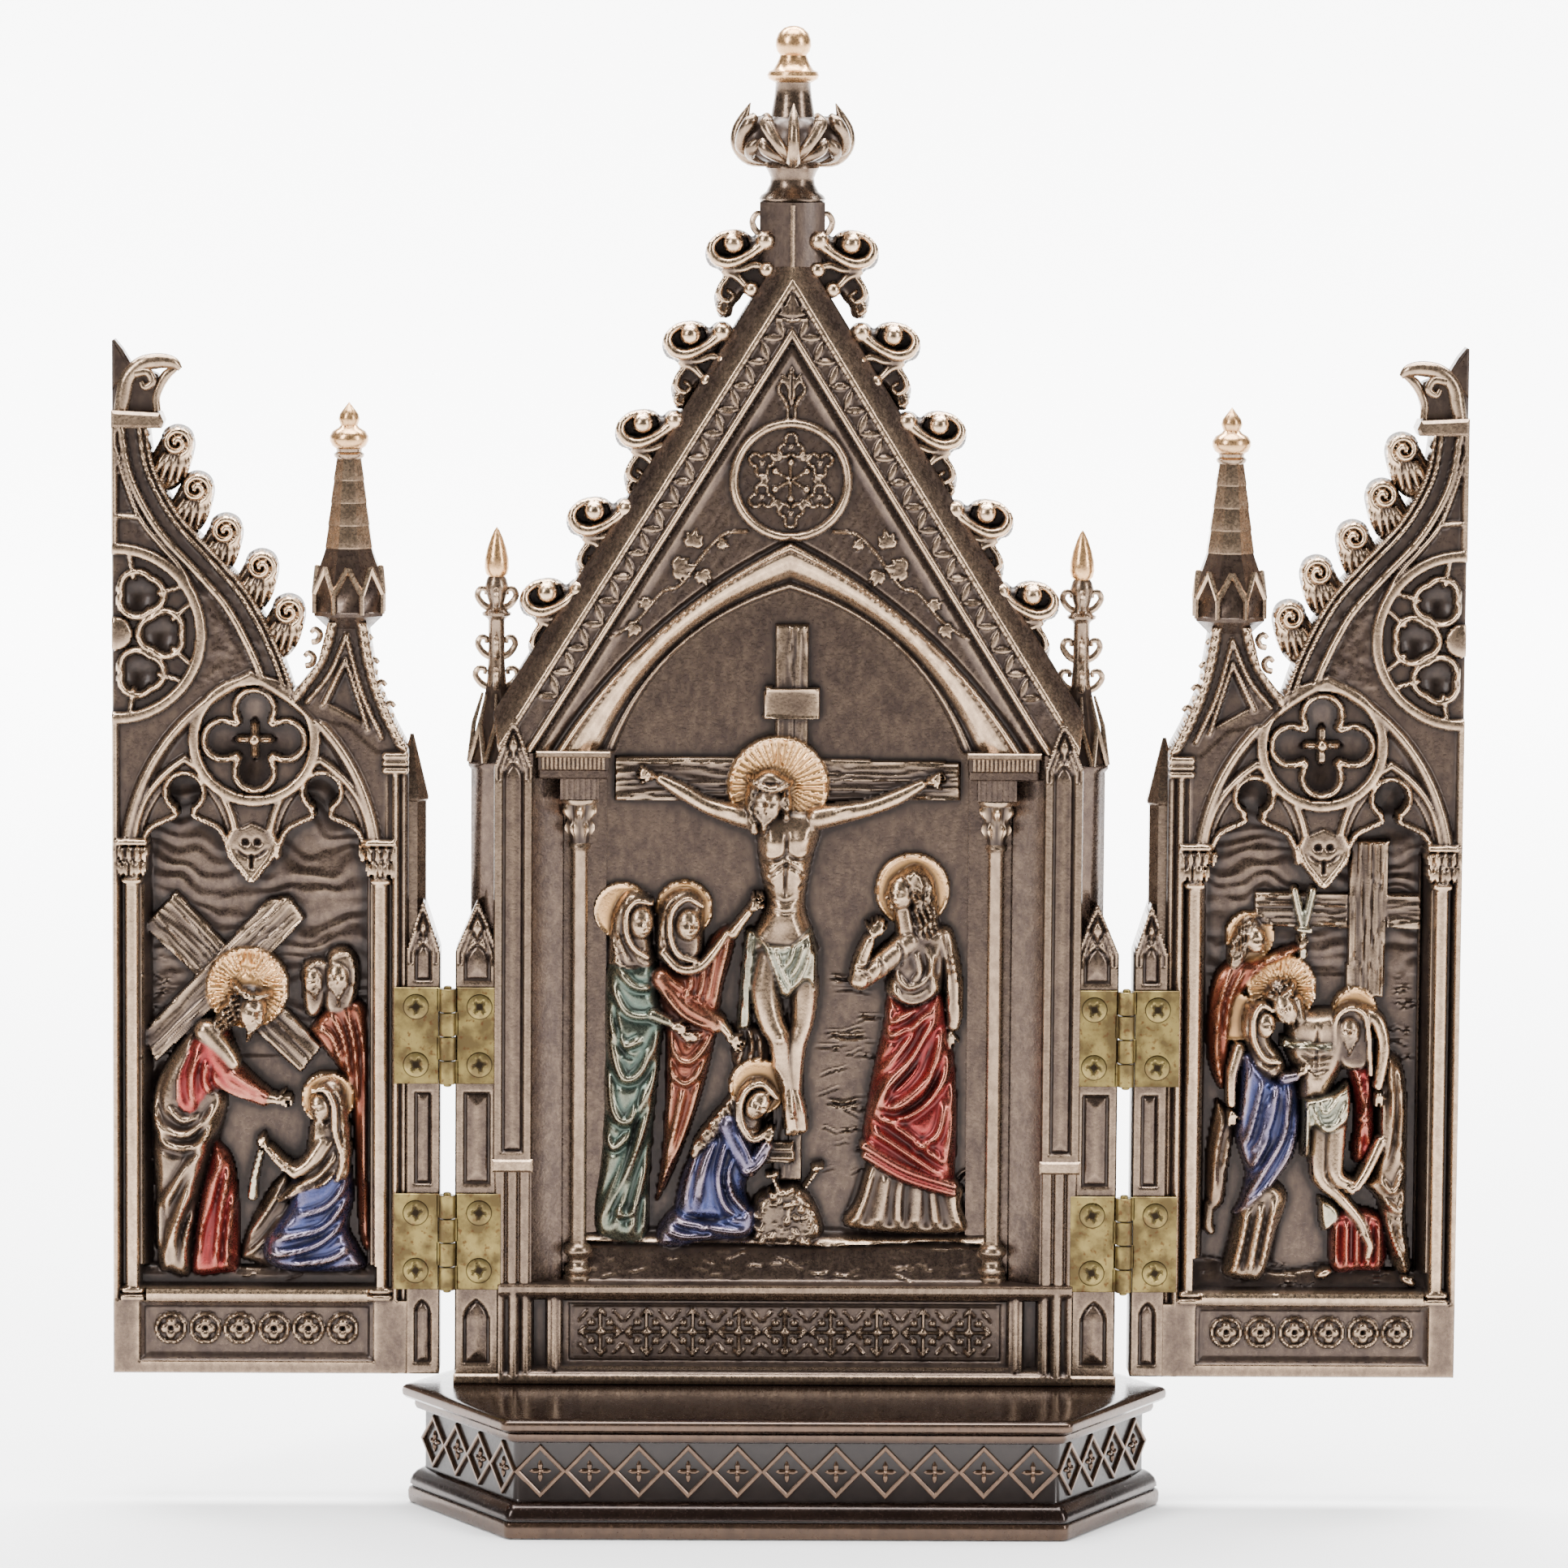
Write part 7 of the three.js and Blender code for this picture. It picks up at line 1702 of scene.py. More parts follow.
def bentFigure(board):
    # the bent figure under the cross
    halo(board, -86.8, 83.4, 6.6, 3.0, 42)
    board.cloth([(-95, 78.2), (-98.4, 73.6), (-101.6, 67.4), (-102.4, 60), (-101.8, 50), (-101.4, 38.4),
                 (-99.6, 36.6), (-95.8, 36.6), (-95, 46), (-92.2, 57), (-90, 64.8), (-91, 68), (-94, 70)],
                4.0, "bronze", 2.8)
    board.cloth([(-92.2, 58.8), (-89.4, 55.6), (-88.4, 50), (-88.2, 42), (-88.4, 37.2), (-90, 36.6),
                 (-95.9, 36.6), (-95.4, 44), (-94.2, 51)], 3.7, "red", 2.2)
    folds(board, "red", 0.46, 0.85, [(-90.8, 56.6), (-92.6, 50), (-94.2, 43.6), (-95, 37.6)],
          [(-89.6, 54.4), (-90.9, 48), (-92.1, 37.4)], [(-88.9, 50), (-89.8, 44), (-90.2, 37.4)],
          [(-92.4, 54), (-94, 48), (-94.8, 42)])
    board.cloth([(-94.4, 77.6), (-97.4, 73.4), (-99.6, 68), (-98.6, 63), (-95, 62), (-92.4, 65.2),
                 (-90, 67.4), (-89, 72)], 4.6, "red", 2.6)
    board.limb([(-92.2, 74.6, 3.0, 5.0), (-90.2, 69.8, 2.7, 5.4), (-86.4, 67, 1.9, 5.2),
                (-84.2, 65.6, 1.4, 4.8)], "red")
    board.limb([(-93.4, 76.4, 2.0, 5.2), (-90.8, 73.6, 1.8, 5.4), (-89, 71.4, 1.2, 5.4)], "bronze")
    folds(board, "red", 0.46, 0.75, [(-96.4, 74), (-98.2, 69.4), (-98, 64.6)],
          [(-94.4, 73.6), (-95.8, 69), (-95.4, 64)], [(-92.6, 70.6), (-90.6, 67), (-86.4, 65)],
          [(-93.4, 72), (-93.4, 68), (-92, 65.6)], [(-89.6, 70.4), (-86.4, 68.2), (-84.2, 66.8)])
    folds(board, "bronze", 0.62, 1.1, [(-102, 65), (-100.8, 61.2), (-97.2, 59.6), (-93.6, 61.8),
                                       (-90.8, 65.4)], [(-91.4, 63.4), (-94.8, 57), (-100.8, 47.4)],
          [(-101.8, 62), (-99.8, 58.4), (-95.6, 57.8), (-92.4, 61)],
          [(-92.2, 60.8), (-95.6, 53), (-98.6, 45), (-100.4, 38)])
    folds(board, "bronze", 0.5, 0.8, [(-94.8, 52), (-98, 45), (-98.6, 38)],
          [(-95.4, 47), (-96.8, 42), (-97, 37.6)], [(-100.4, 71), (-101.8, 66), (-101.4, 60)],
          [(-101.4, 49), (-101.2, 40)], [(-99.6, 64.2), (-97, 62), (-94, 63)])
    board.limb([(-83.4, 65.5, 0.85, 4.6), (-82.4, 65.4, 0.8, 4.6)], "skin")
    hand(board, -81.8, 65.3, -8, 1.6, 4.7, 8, 1)
    board.limb([(-88.4, 80.8, 2.3, 4.6), (-90.6, 78, 1.6, 4.9), (-91.4, 76.8, 1.0, 4.8)], "hair")
    board.blob(-86.4, 81.4, 3.1, 3.3, 4.6, "hair")
    face(board, -86.0, 79.9, 2.8, 5.7, 0.55, -16, 0.9)
    locks(board, [(-88.4, 83.6), (-90.4, 80.4), (-92.2, 77.2)], [(-87.8, 79.6), (-88.8, 77.6), (-89.6, 75.6)],
          5, 0.5, 0.25, 2.4)
    thorns(board, -86.2, 83.2, 2.8, 6.2, -16)


def kneelingWoman(board):
    # the kneeling woman
    board.cloth([(-86, 46), (-82.6, 51.4), (-80, 52), (-80, 38), (-86.6, 38.6), (-88, 40)], 1.9, "bronze",
                1.8)
    folds(board, "bronze", 0.4, 0.6, [(-81.4, 50.6), (-84.4, 46), (-87, 42.6)],
          [(-81, 46.4), (-84, 42.4), (-86.6, 39.8)])
    halo(board, -73.9, 65.4, 4.3, 2.6)
    board.cloth([(-72.8, 60.6), (-70.4, 55.4), (-69.8, 49), (-70.6, 44.6), (-69, 41), (-67.6, 38.2),
                 (-70, 37), (-76, 36.8), (-81.4, 37.2), (-84.2, 39.2), (-84.2, 42.2), (-82.4, 45),
                 (-80.2, 48.4), (-79.8, 52), (-77.6, 55), (-76.4, 60)], 4.5, "blue", 2.6,
                swells=[(-81.6, 41.8, 2.6, 0.8)])
    folds(board, "blue", 0.5, 0.85, [(-70.3, 50), (-74, 45), (-79, 43.4), (-83.4, 43)],
          [(-70.8, 46), (-75, 42.2), (-79.6, 40.6), (-83.6, 40.4)], [(-70, 41.4), (-74, 39.4), (-80, 38.4)],
          [(-79.6, 49.6), (-82, 46), (-83.9, 42.4)], [(-70.1, 53), (-73.6, 48.4), (-79, 46.4)])
    board.cloth([(-76.8, 61.4), (-73, 62.6), (-71.4, 58), (-71.4, 53.6), (-74, 50.6), (-78.6, 49.4),
                 (-82, 48.2), (-81.4, 50), (-78.6, 53), (-77.4, 57)], 4.7, "bronze", 1.6)
    folds(board, "bronze", 0.42, 0.7, [(-71.8, 54.4), (-75.6, 51), (-81.4, 49)],
          [(-72.2, 57), (-75.4, 53), (-79.6, 51.2)], [(-73, 59.4), (-75.4, 55.6), (-78.4, 53.6)])
    board.limb([(-74.6, 58.4, 1.3, 5.4), (-77, 55, 1.15, 5.6), (-79.2, 53.6, 1.0, 5.5)], "bronze")
    board.limb([(-79.3, 53.6, 1.0, 5.5), (-81.6, 55.4, 0.85, 5.2), (-83.4, 57.4, 0.65, 5.0)], "bronze")
    folds(board, "bronze", 0.2, -0.4, [(-82, 57), (-82.8, 55.8)], [(-80.4, 55.4), (-81, 54)])
    hand(board, -84.1, 58.2, 118, 1.3, 5.0, 8, 1, 0.7)
    board.limb([(-84.6, 57, 0.55, 4.6), (-85.6, 53, 0.6, 4.3), (-86, 49.6, 0.85, 4.0)], "linen", soft=0.08)
    board.limb([(-75.2, 61.8, 1.0, 4.7), (-75, 59.8, 1.2, 5.0)], "skin")
    board.limb([(-73.4, 66.4, 2.6, 4.4), (-72.4, 62.6, 1.9, 4.6), (-71.6, 57.4, 1.5, 4.8),
                (-71.6, 53.6, 1.2, 4.9)], "bronze")
    face(board, -75.0, 64.3, 2.35, 5.3, -0.85, 16)
    board.limb([(-76.2, 67, 0.4, 5.2), (-74.2, 67.2, 0.55, 5.6), (-72.8, 64.6, 0.55, 5.7),
                (-72.6, 60.4, 0.55, 5.6), (-71.4, 56, 0.5, 5.5), (-72.2, 52.6, 0.45, 5.3)], "bronze",
               soft=0.1)
    folds(board, "bronze", 0.26, 0.42, [(-74.6, 67.8), (-72, 66), (-71.2, 60), (-70.6, 55)])


def bearingTheCross(board):
    cloudy(board, -103, -66, 72, 118, 41)
    ledge = [(-104, 35), (-66, 35), (-66, 38.4), (-80, 37.6), (-104, 38.2)]
    board.ramp(ledge, lambda x, z: np.interp(z, [35.0, 36.8, 38.4], [-3.6, -3.6, -4.8]))
    scratched(board, [(-103, 36), (-67, 38)], 7, 14, 2.4, 0.16, 0.16)
    scratched(board, [(-103, 72), (-98, 88)], 8, 16, 3, 0.14, -0.2)
    timber(board, [(-103.6, 93.2), (-98.3, 98.8), (-74.9, 73.8), (-78.4, 69.4)], 1.9, -45.6, 11)
    timber(board, [(-103.8, 75.8), (-83.6, 97.6), (-80.3, 98.2), (-77.7, 94.6), (-83.8, 88.2),
                   (-101.6, 71.2)], 2.4, 45, 12)
    board.line([(-80.3, 97.9), (-77.9, 94.6), (-83.2, 89.2)], 0.5, board.ground + 2.5)
    menBehind(board)
    bentFigure(board)
    kneelingWoman(board)


def manAtTheCross(board):
    # the man at the cross
    halo(board, 74.6, 92.5, 4.0, 1.5)
    board.cloth([(71.2, 88.6), (76.2, 89.2), (82.4, 91.4), (82.2, 89.4), (77.2, 86.2), (73, 82), (71.6, 74),
                 (70.6, 67.4), (68.2, 72), (67.9, 80), (69, 86)], 2.6, "rust", 1.6)
    folds(board, "rust", 0.42, 0.75, [(72, 87.6), (70, 82), (69.4, 74), (70, 69)],
          [(74, 87.6), (71.6, 83), (70.8, 76)], [(76, 88.2), (79.4, 89.2), (82, 90.8)],
          [(73.6, 88.6), (77.6, 89.8), (81, 90.8)])
    board.cloth([(69.6, 66), (72.4, 62), (71.6, 54), (70.8, 48.6), (68.4, 48.2), (68, 56)], 1.9, "brown", 1.4)
    folds(board, "brown", 0.4, 0.55, [(71, 64), (69.6, 57), (69.4, 50)], [(72, 60), (71, 54)])
    board.limb([(68.7, 48.6, 0.9, 1.8), (68.5, 45.4, 0.9, 1.9), (69, 44.2, 0.7, 1.7)], "hair")
    hand(board, 82.9, 91.2, 60, 1.3, 3.4, 6, 1, 0.7)
    board.limb([(74.4, 93.6, 2.5, 3.0), (72.8, 90.6, 1.8, 3.2), (72.2, 88.2, 1.1, 3.2)], "hair")
    face(board, 75.4, 92.0, 2.15, 3.9, 0.8, -4)
    locks(board, [(73.4, 95.2), (71.8, 91.6), (71.6, 88)], [(75, 95.4), (74, 91.4), (73.2, 88.2)], 5, 0.4,
          0.2, 2.0, 0.22)


def loweredBody(board):
    # the body being lowered
    halo(board, 79.9, 84.1, 5.6, 2.4, 32)
    halo(board, 72.5, 79.3, 3.9, 2.0)
    halo(board, 91.7, 80.6, 3.6, 2.1)
    board.cloth([(81, 80.4), (84.4, 80.8), (89.4, 80.6), (91.6, 78), (90.4, 72.4), (88.2, 67.6), (88, 65.8),
                 (83, 65.8), (82.4, 70), (80.4, 74.6)], 4.3, "skin", 2.6,
                swells=[(85.4, 77.6, 2.2, 0.8), (85.4, 69.4, 2.2, 0.7)])
    folds(board, "skin", 0.26, -0.4, [(82.6, 74), (84.8, 73), (88, 73.6)],
          [(83.6, 71.4), (85.4, 70.9), (87.4, 71.4)], [(85.6, 79), (85.4, 74), (85.5, 70)])
    board.blob(85.6, 68.6, 0.3, 0.26, 4.6, "hair")
    board.cloth([(79.8, 76.4), (88.2, 75.6), (88.1, 74), (79.6, 74.6)], 5.2, "linen", 0.5, smooth=False)
    folds(board, "linen", 0.2, 0.35, [(80, 75.8), (88, 75.2)], [(80, 75.1), (88, 74.6)])
    board.limb([(86.2, 63, 1.9, 4.2), (86.2, 57.6, 1.6, 4.5), (86.5, 53.2, 1.35, 4.7), (89.4, 50.4, 1.1, 4.4),
                (92.8, 46.4, 0.95, 4.2), (94, 43.6, 0.8, 4.2)], "skin")
    board.limb([(88.9, 63, 1.9, 4.8), (88.7, 57, 1.6, 5.2), (89, 53.6, 1.35, 5.4), (91.4, 52.2, 1.1, 5.2)],
               "skin")
    board.limb([(94, 43.8, 0.75, 4.3), (94.6, 42.2, 0.7, 4.2), (94.3, 40.6, 0.5, 3.9)], "skin")
    board.cloth([(83.2, 66.4), (88.4, 67.6), (90.8, 69), (91.2, 64), (89.4, 61), (86.6, 60.6), (85, 61.6),
                 (84.6, 57.2), (83.2, 57), (83.2, 62)], 5.5, "linen", 0.9)
    folds(board, "linen", 0.32, 0.5, [(83.8, 65.8), (84, 60), (84, 57.6)],
          [(84.8, 65.8), (86, 62.4), (88.6, 62.6), (90.6, 66.4)], [(85.6, 66.4), (87, 64.4), (89.4, 67.6)],
          [(85.4, 62.4), (87.6, 61.4), (90.4, 63.6)])
    board.limb([(73, 74.2, 1.15, 3.6), (71.9, 70, 1.0, 4.0), (71.9, 65.4, 0.8, 4.1)], "skin")
    hand(board, 71.9, 63.6, -86, 1.35, 4.2, 7, 1)


def womanInMantle(board):
    # the woman on the left in a long mantle
    board.cloth([(73, 47.6), (71.6, 41), (70.8, 37.4), (73.6, 36.2), (77.4, 36.6), (79.6, 44), (81.2, 50.4),
                 (77, 53)], 3.9, "bronze", 2.0)
    folds(board, "bronze", 0.55, 0.95, [(74.6, 48.6), (73.6, 43), (72.2, 37.4)],
          [(77.2, 49.4), (75.9, 43), (75, 37.2)], [(79.2, 50.4), (78.2, 44), (77, 37.4)])
    board.cloth([(73.2, 74), (72.9, 66), (72.7, 59.8), (74.4, 54), (73.6, 49.4), (72.5, 47), (76.6, 48.8),
                 (79.8, 53), (82.5, 57.4), (83.1, 64.6), (81.8, 69.8), (78.6, 70), (75.4, 73.6)], 4.5, "blue",
                2.4)
    folds(board, "blue", 0.5, 0.85, [(79.2, 69.4), (77.8, 62), (74.8, 55.2)],
          [(81.2, 69), (80.4, 61), (76.8, 54), (73.2, 48.4)],
          [(82.6, 66), (82.2, 59.6), (78.8, 52.8), (74.4, 48.4)], [(73.1, 60.4), (75, 55.4), (78.4, 61)])
    folds(board, "blue", 0.4, 0.6, [(76.8, 70), (75.6, 64), (73.9, 58)], [(74.6, 71.4), (74, 66), (73.4, 62)],
          [(78, 67), (76.4, 60), (74.4, 57)])
    board.limb([(80.4, 69.6, 1.0, 5.0), (82, 70, 0.85, 5.2)], "blue")
    hand(board, 83.1, 70.8, 34, 1.25, 5.4, 9, 1)
    board.cloth([(73.8, 81.6), (76.2, 82.4), (78, 80.8), (78.2, 76), (80, 73.4), (80.7, 70.8), (78.6, 69.2),
                 (75.8, 70.4), (74.4, 74), (73.2, 78)], 4.4, "bronze", 1.5)
    face(board, 77.2, 78.4, 2.2, 5.4, 0.7, -6)
    board.limb([(78.2, 80.8, 0.4, 5.0), (76.4, 81.6, 0.5, 5.3), (75.1, 79.4, 0.55, 5.5),
                (75.3, 76, 0.55, 5.5), (77, 73, 0.6, 5.6), (79.4, 72.4, 0.5, 5.2)], "bronze", soft=0.1)
    folds(board, "bronze", 0.28, 0.5, [(74.2, 80.6), (73.9, 76.6), (75.4, 72.4), (79.4, 70)],
          [(76.2, 72.4), (78, 71.2), (79.9, 71.8)])


def beardedMan(board):
    # the bearded man on the right
    board.cloth([(88, 47), (92, 48.4), (96.8, 46.6), (97.2, 38.6), (93, 37.8), (88.6, 38.2)], 3.4, "red", 1.6)
    folds(board, "red", 0.42, 0.8, *[[(89 + 1.75 * k, 46.6), (88.9 + 1.8 * k, 42), (89 + 1.75 * k, 38.4)]
                                     for k in range(5)])
    board.cloth([(86.2, 50.2), (86.6, 45.6), (87.6, 44.4), (89.8, 46.8), (88.8, 49)], 3.6, "linen", 0.8)
    board.cloth([(90.6, 71.6), (94.4, 71.6), (95.2, 64), (95, 58), (92.4, 55.4), (91.4, 58), (92, 63)], 3.8,
                "red", 1.6)
    folds(board, "red", 0.36, 0.6, [(92, 70.6), (93.2, 66), (93.2, 63.4)],
          [(93.9, 70.6), (93.8, 66.4), (93.5, 63.4)], [(93.1, 62.8), (92.6, 59), (92.4, 56.4)],
          [(93.5, 62.8), (94.2, 58.4)])
    board.blob(93.3, 63.1, 0.9, 0.8, 4.6, "red")
    board.cloth([(96.8, 74.4), (99.4, 71.8), (100.5, 66), (100.6, 56), (100.6, 46), (101.5, 38.2), (99, 38),
                 (96.8, 44), (95.8, 49.4), (93.6, 52.2), (95.2, 55), (95.4, 64), (95.4, 70)], 4.2, "brown",
                2.0)
    folds(board, "brown", 0.45, 0.8, [(97.2, 73), (97.8, 66), (97, 58), (95.6, 54)],
          [(98.8, 72), (99.5, 64), (99, 56)], [(95.8, 53.6), (98.2, 51.4), (100.4, 56.4)],
          [(96.4, 50), (99.2, 48.2), (100.4, 51.6)], [(97, 47), (98.6, 42.6), (100.6, 38.8)],
          [(96, 69), (96.4, 62), (96, 57)], [(100, 50), (99.6, 45), (100.8, 40)])
    board.limb([(96, 59.4, 1.0, 5.0), (93.8, 54.8, 0.9, 5.6), (92.2, 52.2, 0.8, 5.8)], "skin")
    hand(board, 91.5, 51.8, 190, 1.2, 5.8, 6, 1, 0.7)
    board.cloth([(88.2, 80), (89.6, 82), (92.6, 82), (94.4, 79.4), (94.6, 74), (93.8, 71), (90, 70.8),
                 (87.9, 74)], 3.9, "bronze", 1.3)
    face(board, 90.7, 77.4, 2.35, 5.0, -0.05, 2, 1.1)
    board.limb([(88.3, 75.4, 0.45, 4.6), (88.5, 79.4, 0.5, 4.9), (90.6, 81.2, 0.5, 5.1),
                (93, 80.2, 0.55, 5.1), (93.8, 76.4, 0.5, 5.0), (94.2, 70.4, 0.4, 4.7)], "bronze", soft=0.1)
    board.limb([(92.6, 80.2, 1.4, 4.4), (95.2, 79, 1.3, 4.9), (96.3, 75, 1.1, 5.3), (95.7, 70.4, 0.9, 5.5),
                (95.4, 68.6, 0.75, 5.5)], "skin")
    hand(board, 95.5, 67, -88, 1.35, 5.6, 6, 1)
    for x, z, lean in ((87.2, 37.6, 200), (100.9, 36.4, -30)):
        board.blob(x, z, 1.4, 0.7, 3.6, "skin", lean)
        hand(board, x, z, lean, 1.0, 3.6, 5, 1, 0.6)


def leaningHead(board):
    # the lowered man's head, drawn last, leaning on the woman
    board.blob(79.6, 83.2, 3.0, 2.9, 4.4, "hair")
    board.limb([(82, 82, 1.2, 4.6), (82.6, 79.4, 1.0, 4.8)], "hair")
    face(board, 80.2, 81.2, 2.45, 6.0, -0.1, 24, 0.6)
    locks(board, [(77.6, 83), (78.6, 85.6), (81, 86.2)], [(78.6, 82.2), (79.6, 84), (81.8, 84)], 4, 0.5, 0.3,
          1.6, 0.24)
    thorns(board, 79.6, 83.8, 2.2, 5.4, 24)


def descent(board):
    cloudy(board, 66, 103, 86, 118, 51)
    board.ramp([(66, 35), (104, 35), (104, 37.6), (90, 38.6), (80, 37.4), (66, 40.2)],
               lambda x, z: np.interp(z, [35.0, 35.8, 39.0], [-3.2, -3.4, -4.9]))
    scratched(board, [(68, 35.6), (102, 39)], 17, 20, 4, 0.16, -0.2)
    scratched(board, [(97, 70), (101, 92)], 18, 16, 3, 0.14, -0.2)
    timber(board, [(90.3, 83), (96.3, 82.6), (96.9, 108), (90.7, 108)], 2.0, 90, 13)
    timber(board, [(75.3, 94.2), (90.4, 93.8), (90.4, 99.4), (75.4, 99.7)], 1.8, 0, 14)
    timber(board, [(96.6, 93.9), (102.1, 93.7), (102.1, 99.3), (96.6, 99.3)], 1.8, 0, 15)
    board.limb([(81.7, 100, 0.7, 2.7), (83.1, 94, 0.6, 2.8), (83.2, 89.4, 0.7, 2.6)], "linen", smooth=False,
               soft=0.08)
    board.limb([(84.6, 100, 0.7, 2.6), (83.3, 94, 0.6, 2.8)], "linen", smooth=False, soft=0.08)
    board.limb([(82.4, 93.8, 0.5, 3.3), (84.1, 93.6, 0.5, 3.3)], "linen", smooth=False, soft=0.08)
    manAtTheCross(board)
    loweredBody(board)
    womanInMantle(board)
    beardedMan(board)
    leaningHead(board)


# in the wings u is the distance from the middle of the altarpiece, so one drawing serves both
wingSize = {
    "foot": wingLow[2], "outer": 108.3, "shoulder": 60.9, "back": 9.0, "floor": 5.5, "arch": 86.1,
    "archApex": 135.0,
    "spring": 107.6, "spire": 70.6, "inner": 55.8, "rosette": (107.7, 140.7), "cell": 0.271,
    "ogee": [(102.6, 174.0), (101.4, 167.2), (97.6, 160.0), (91.6, 153.4), (86.2, 147.0), (81.8, 138.6),
             (79.2, 131.4)],
}


def mirrored(side, points):
    return [(side * u, *rest) for u, *rest in points]


def wingOutline(side):
    size = wingSize
    ogee = curve(size["ogee"], 5)
    u = np.vstack([[(size["outer"], size["foot"]), (size["shoulder"], size["foot"]),
                    (size["shoulder"], 122.2), (63.0, 126.2), (66.0, 133.0), (67.6, 142.8), (73.8, 142.8),
                    (75.4, 136.2)], ogee[::-1], [(size["outer"], 174.0)]])
    return u * [side, 1]


def wingMouldings(board, side):
    # the ogee gable's double rim and inner fillet, the outer edge and the top field's strips
    size = wingSize
    ogee = curve(size["ogee"], 5) * [side, 1]
    x, z = board.x, board.z
    far, _, _ = nearLine(x, z, ogee)
    e = np.where(z > 128, far, 9)
    steps = [(0, 0.0), (0.45, 0.0), (0.65, -0.7), (0.85, -0.7), (1.05, -0.05), (1.55, -0.05), (1.8, -1.3),
             (3.5, -1.3), (3.7, -0.15), (4.2, 0.0), (4.7, -0.15), (4.95, -1.25), (6, -1.1)]
    board.h = np.interp(e, *zip(*steps))
    board.h = np.where(z < 128, -1.1, board.h)

    def strip(points, width, height, smooth=True):
        board.line([(side * u, w) for u, w in points], width, height, smooth=smooth)
    strip([(108.0, 20), (108.0, 176)], 1.7, 0.0, False)
    strip([(107.9, 171.2), (106.2, 165.5), (103.8, 159.3), (100.4, 154.9), (97.4, 151.4), (95.0, 147.0)],
          1.15, -0.1)
    strip([(107.8, 159.5), (103.8, 159.4)], 1.1, -0.1, False)
    at = board.window([(side * 96, 134), (side * 84, 150)], 1)
    board.h[at] += 0.12 * roughNoise(x[at] / 1.5, z[at] / 1.5, 8)


def rosette(board, side):
    # half a rose window: a rim, three foiled rings and a hub, with curved strips between
    size = wingSize
    cu, cz = size["rosette"]
    x, z = board.x - side * cu, board.z - cz
    far = np.hypot(x, z)
    board.h = np.where(far < 13.6, -1.5, board.h)
    at = board.window([(side * cu, cz)], 15.5)
    ring = np.where(np.abs(far - 13.6) < 0.95, 0.05 - 0.6 * ((far - 13.6) / 0.95) ** 4, outside)
    board.put(at, ring[at], None, 0.1)
    for k in (-1, 0, 1):
        a = math.radians(-58 * k)
        ru, rz = cu - 7.4 * math.cos(a), cz - 7.4 * math.sin(a) * -1
        outline = []
        for t in np.linspace(0, 2 * math.pi, 46, endpoint=False):
            r = 3.05 + 0.75 * abs(math.cos(1.5 * (t - a - math.pi)))
            outline.append((side * (ru - r * math.cos(t)), rz + r * math.sin(t)))
        outline.append(outline[0])
        board.ramp(outline[:-1], lambda px, pz, ru=ru, rz=rz: -3.3
                   + 0.14 * ((px - side * ru) ** 2 + (pz - rz) ** 2))
        board.line(outline, 1.25, -0.1)
        for turn in (-0.62, 0.62):
            tip = (cu - 12.8 * math.cos(a + turn * 0.62), cz + 12.8 * math.sin(a + turn * 0.62))
            root = (ru - 3.0 * math.cos(a + turn * 1.5), rz + 3.0 * math.sin(a + turn * 1.5))
            board.line([(side * root[0], root[1]), (side * tip[0], tip[1])], 1.0, -0.3)
    hub = far[at]
    board.put(at, np.where(hub < 2.7, 0.0 - 0.5 * (hub / 2.7) ** 4, outside), None, 0.1)


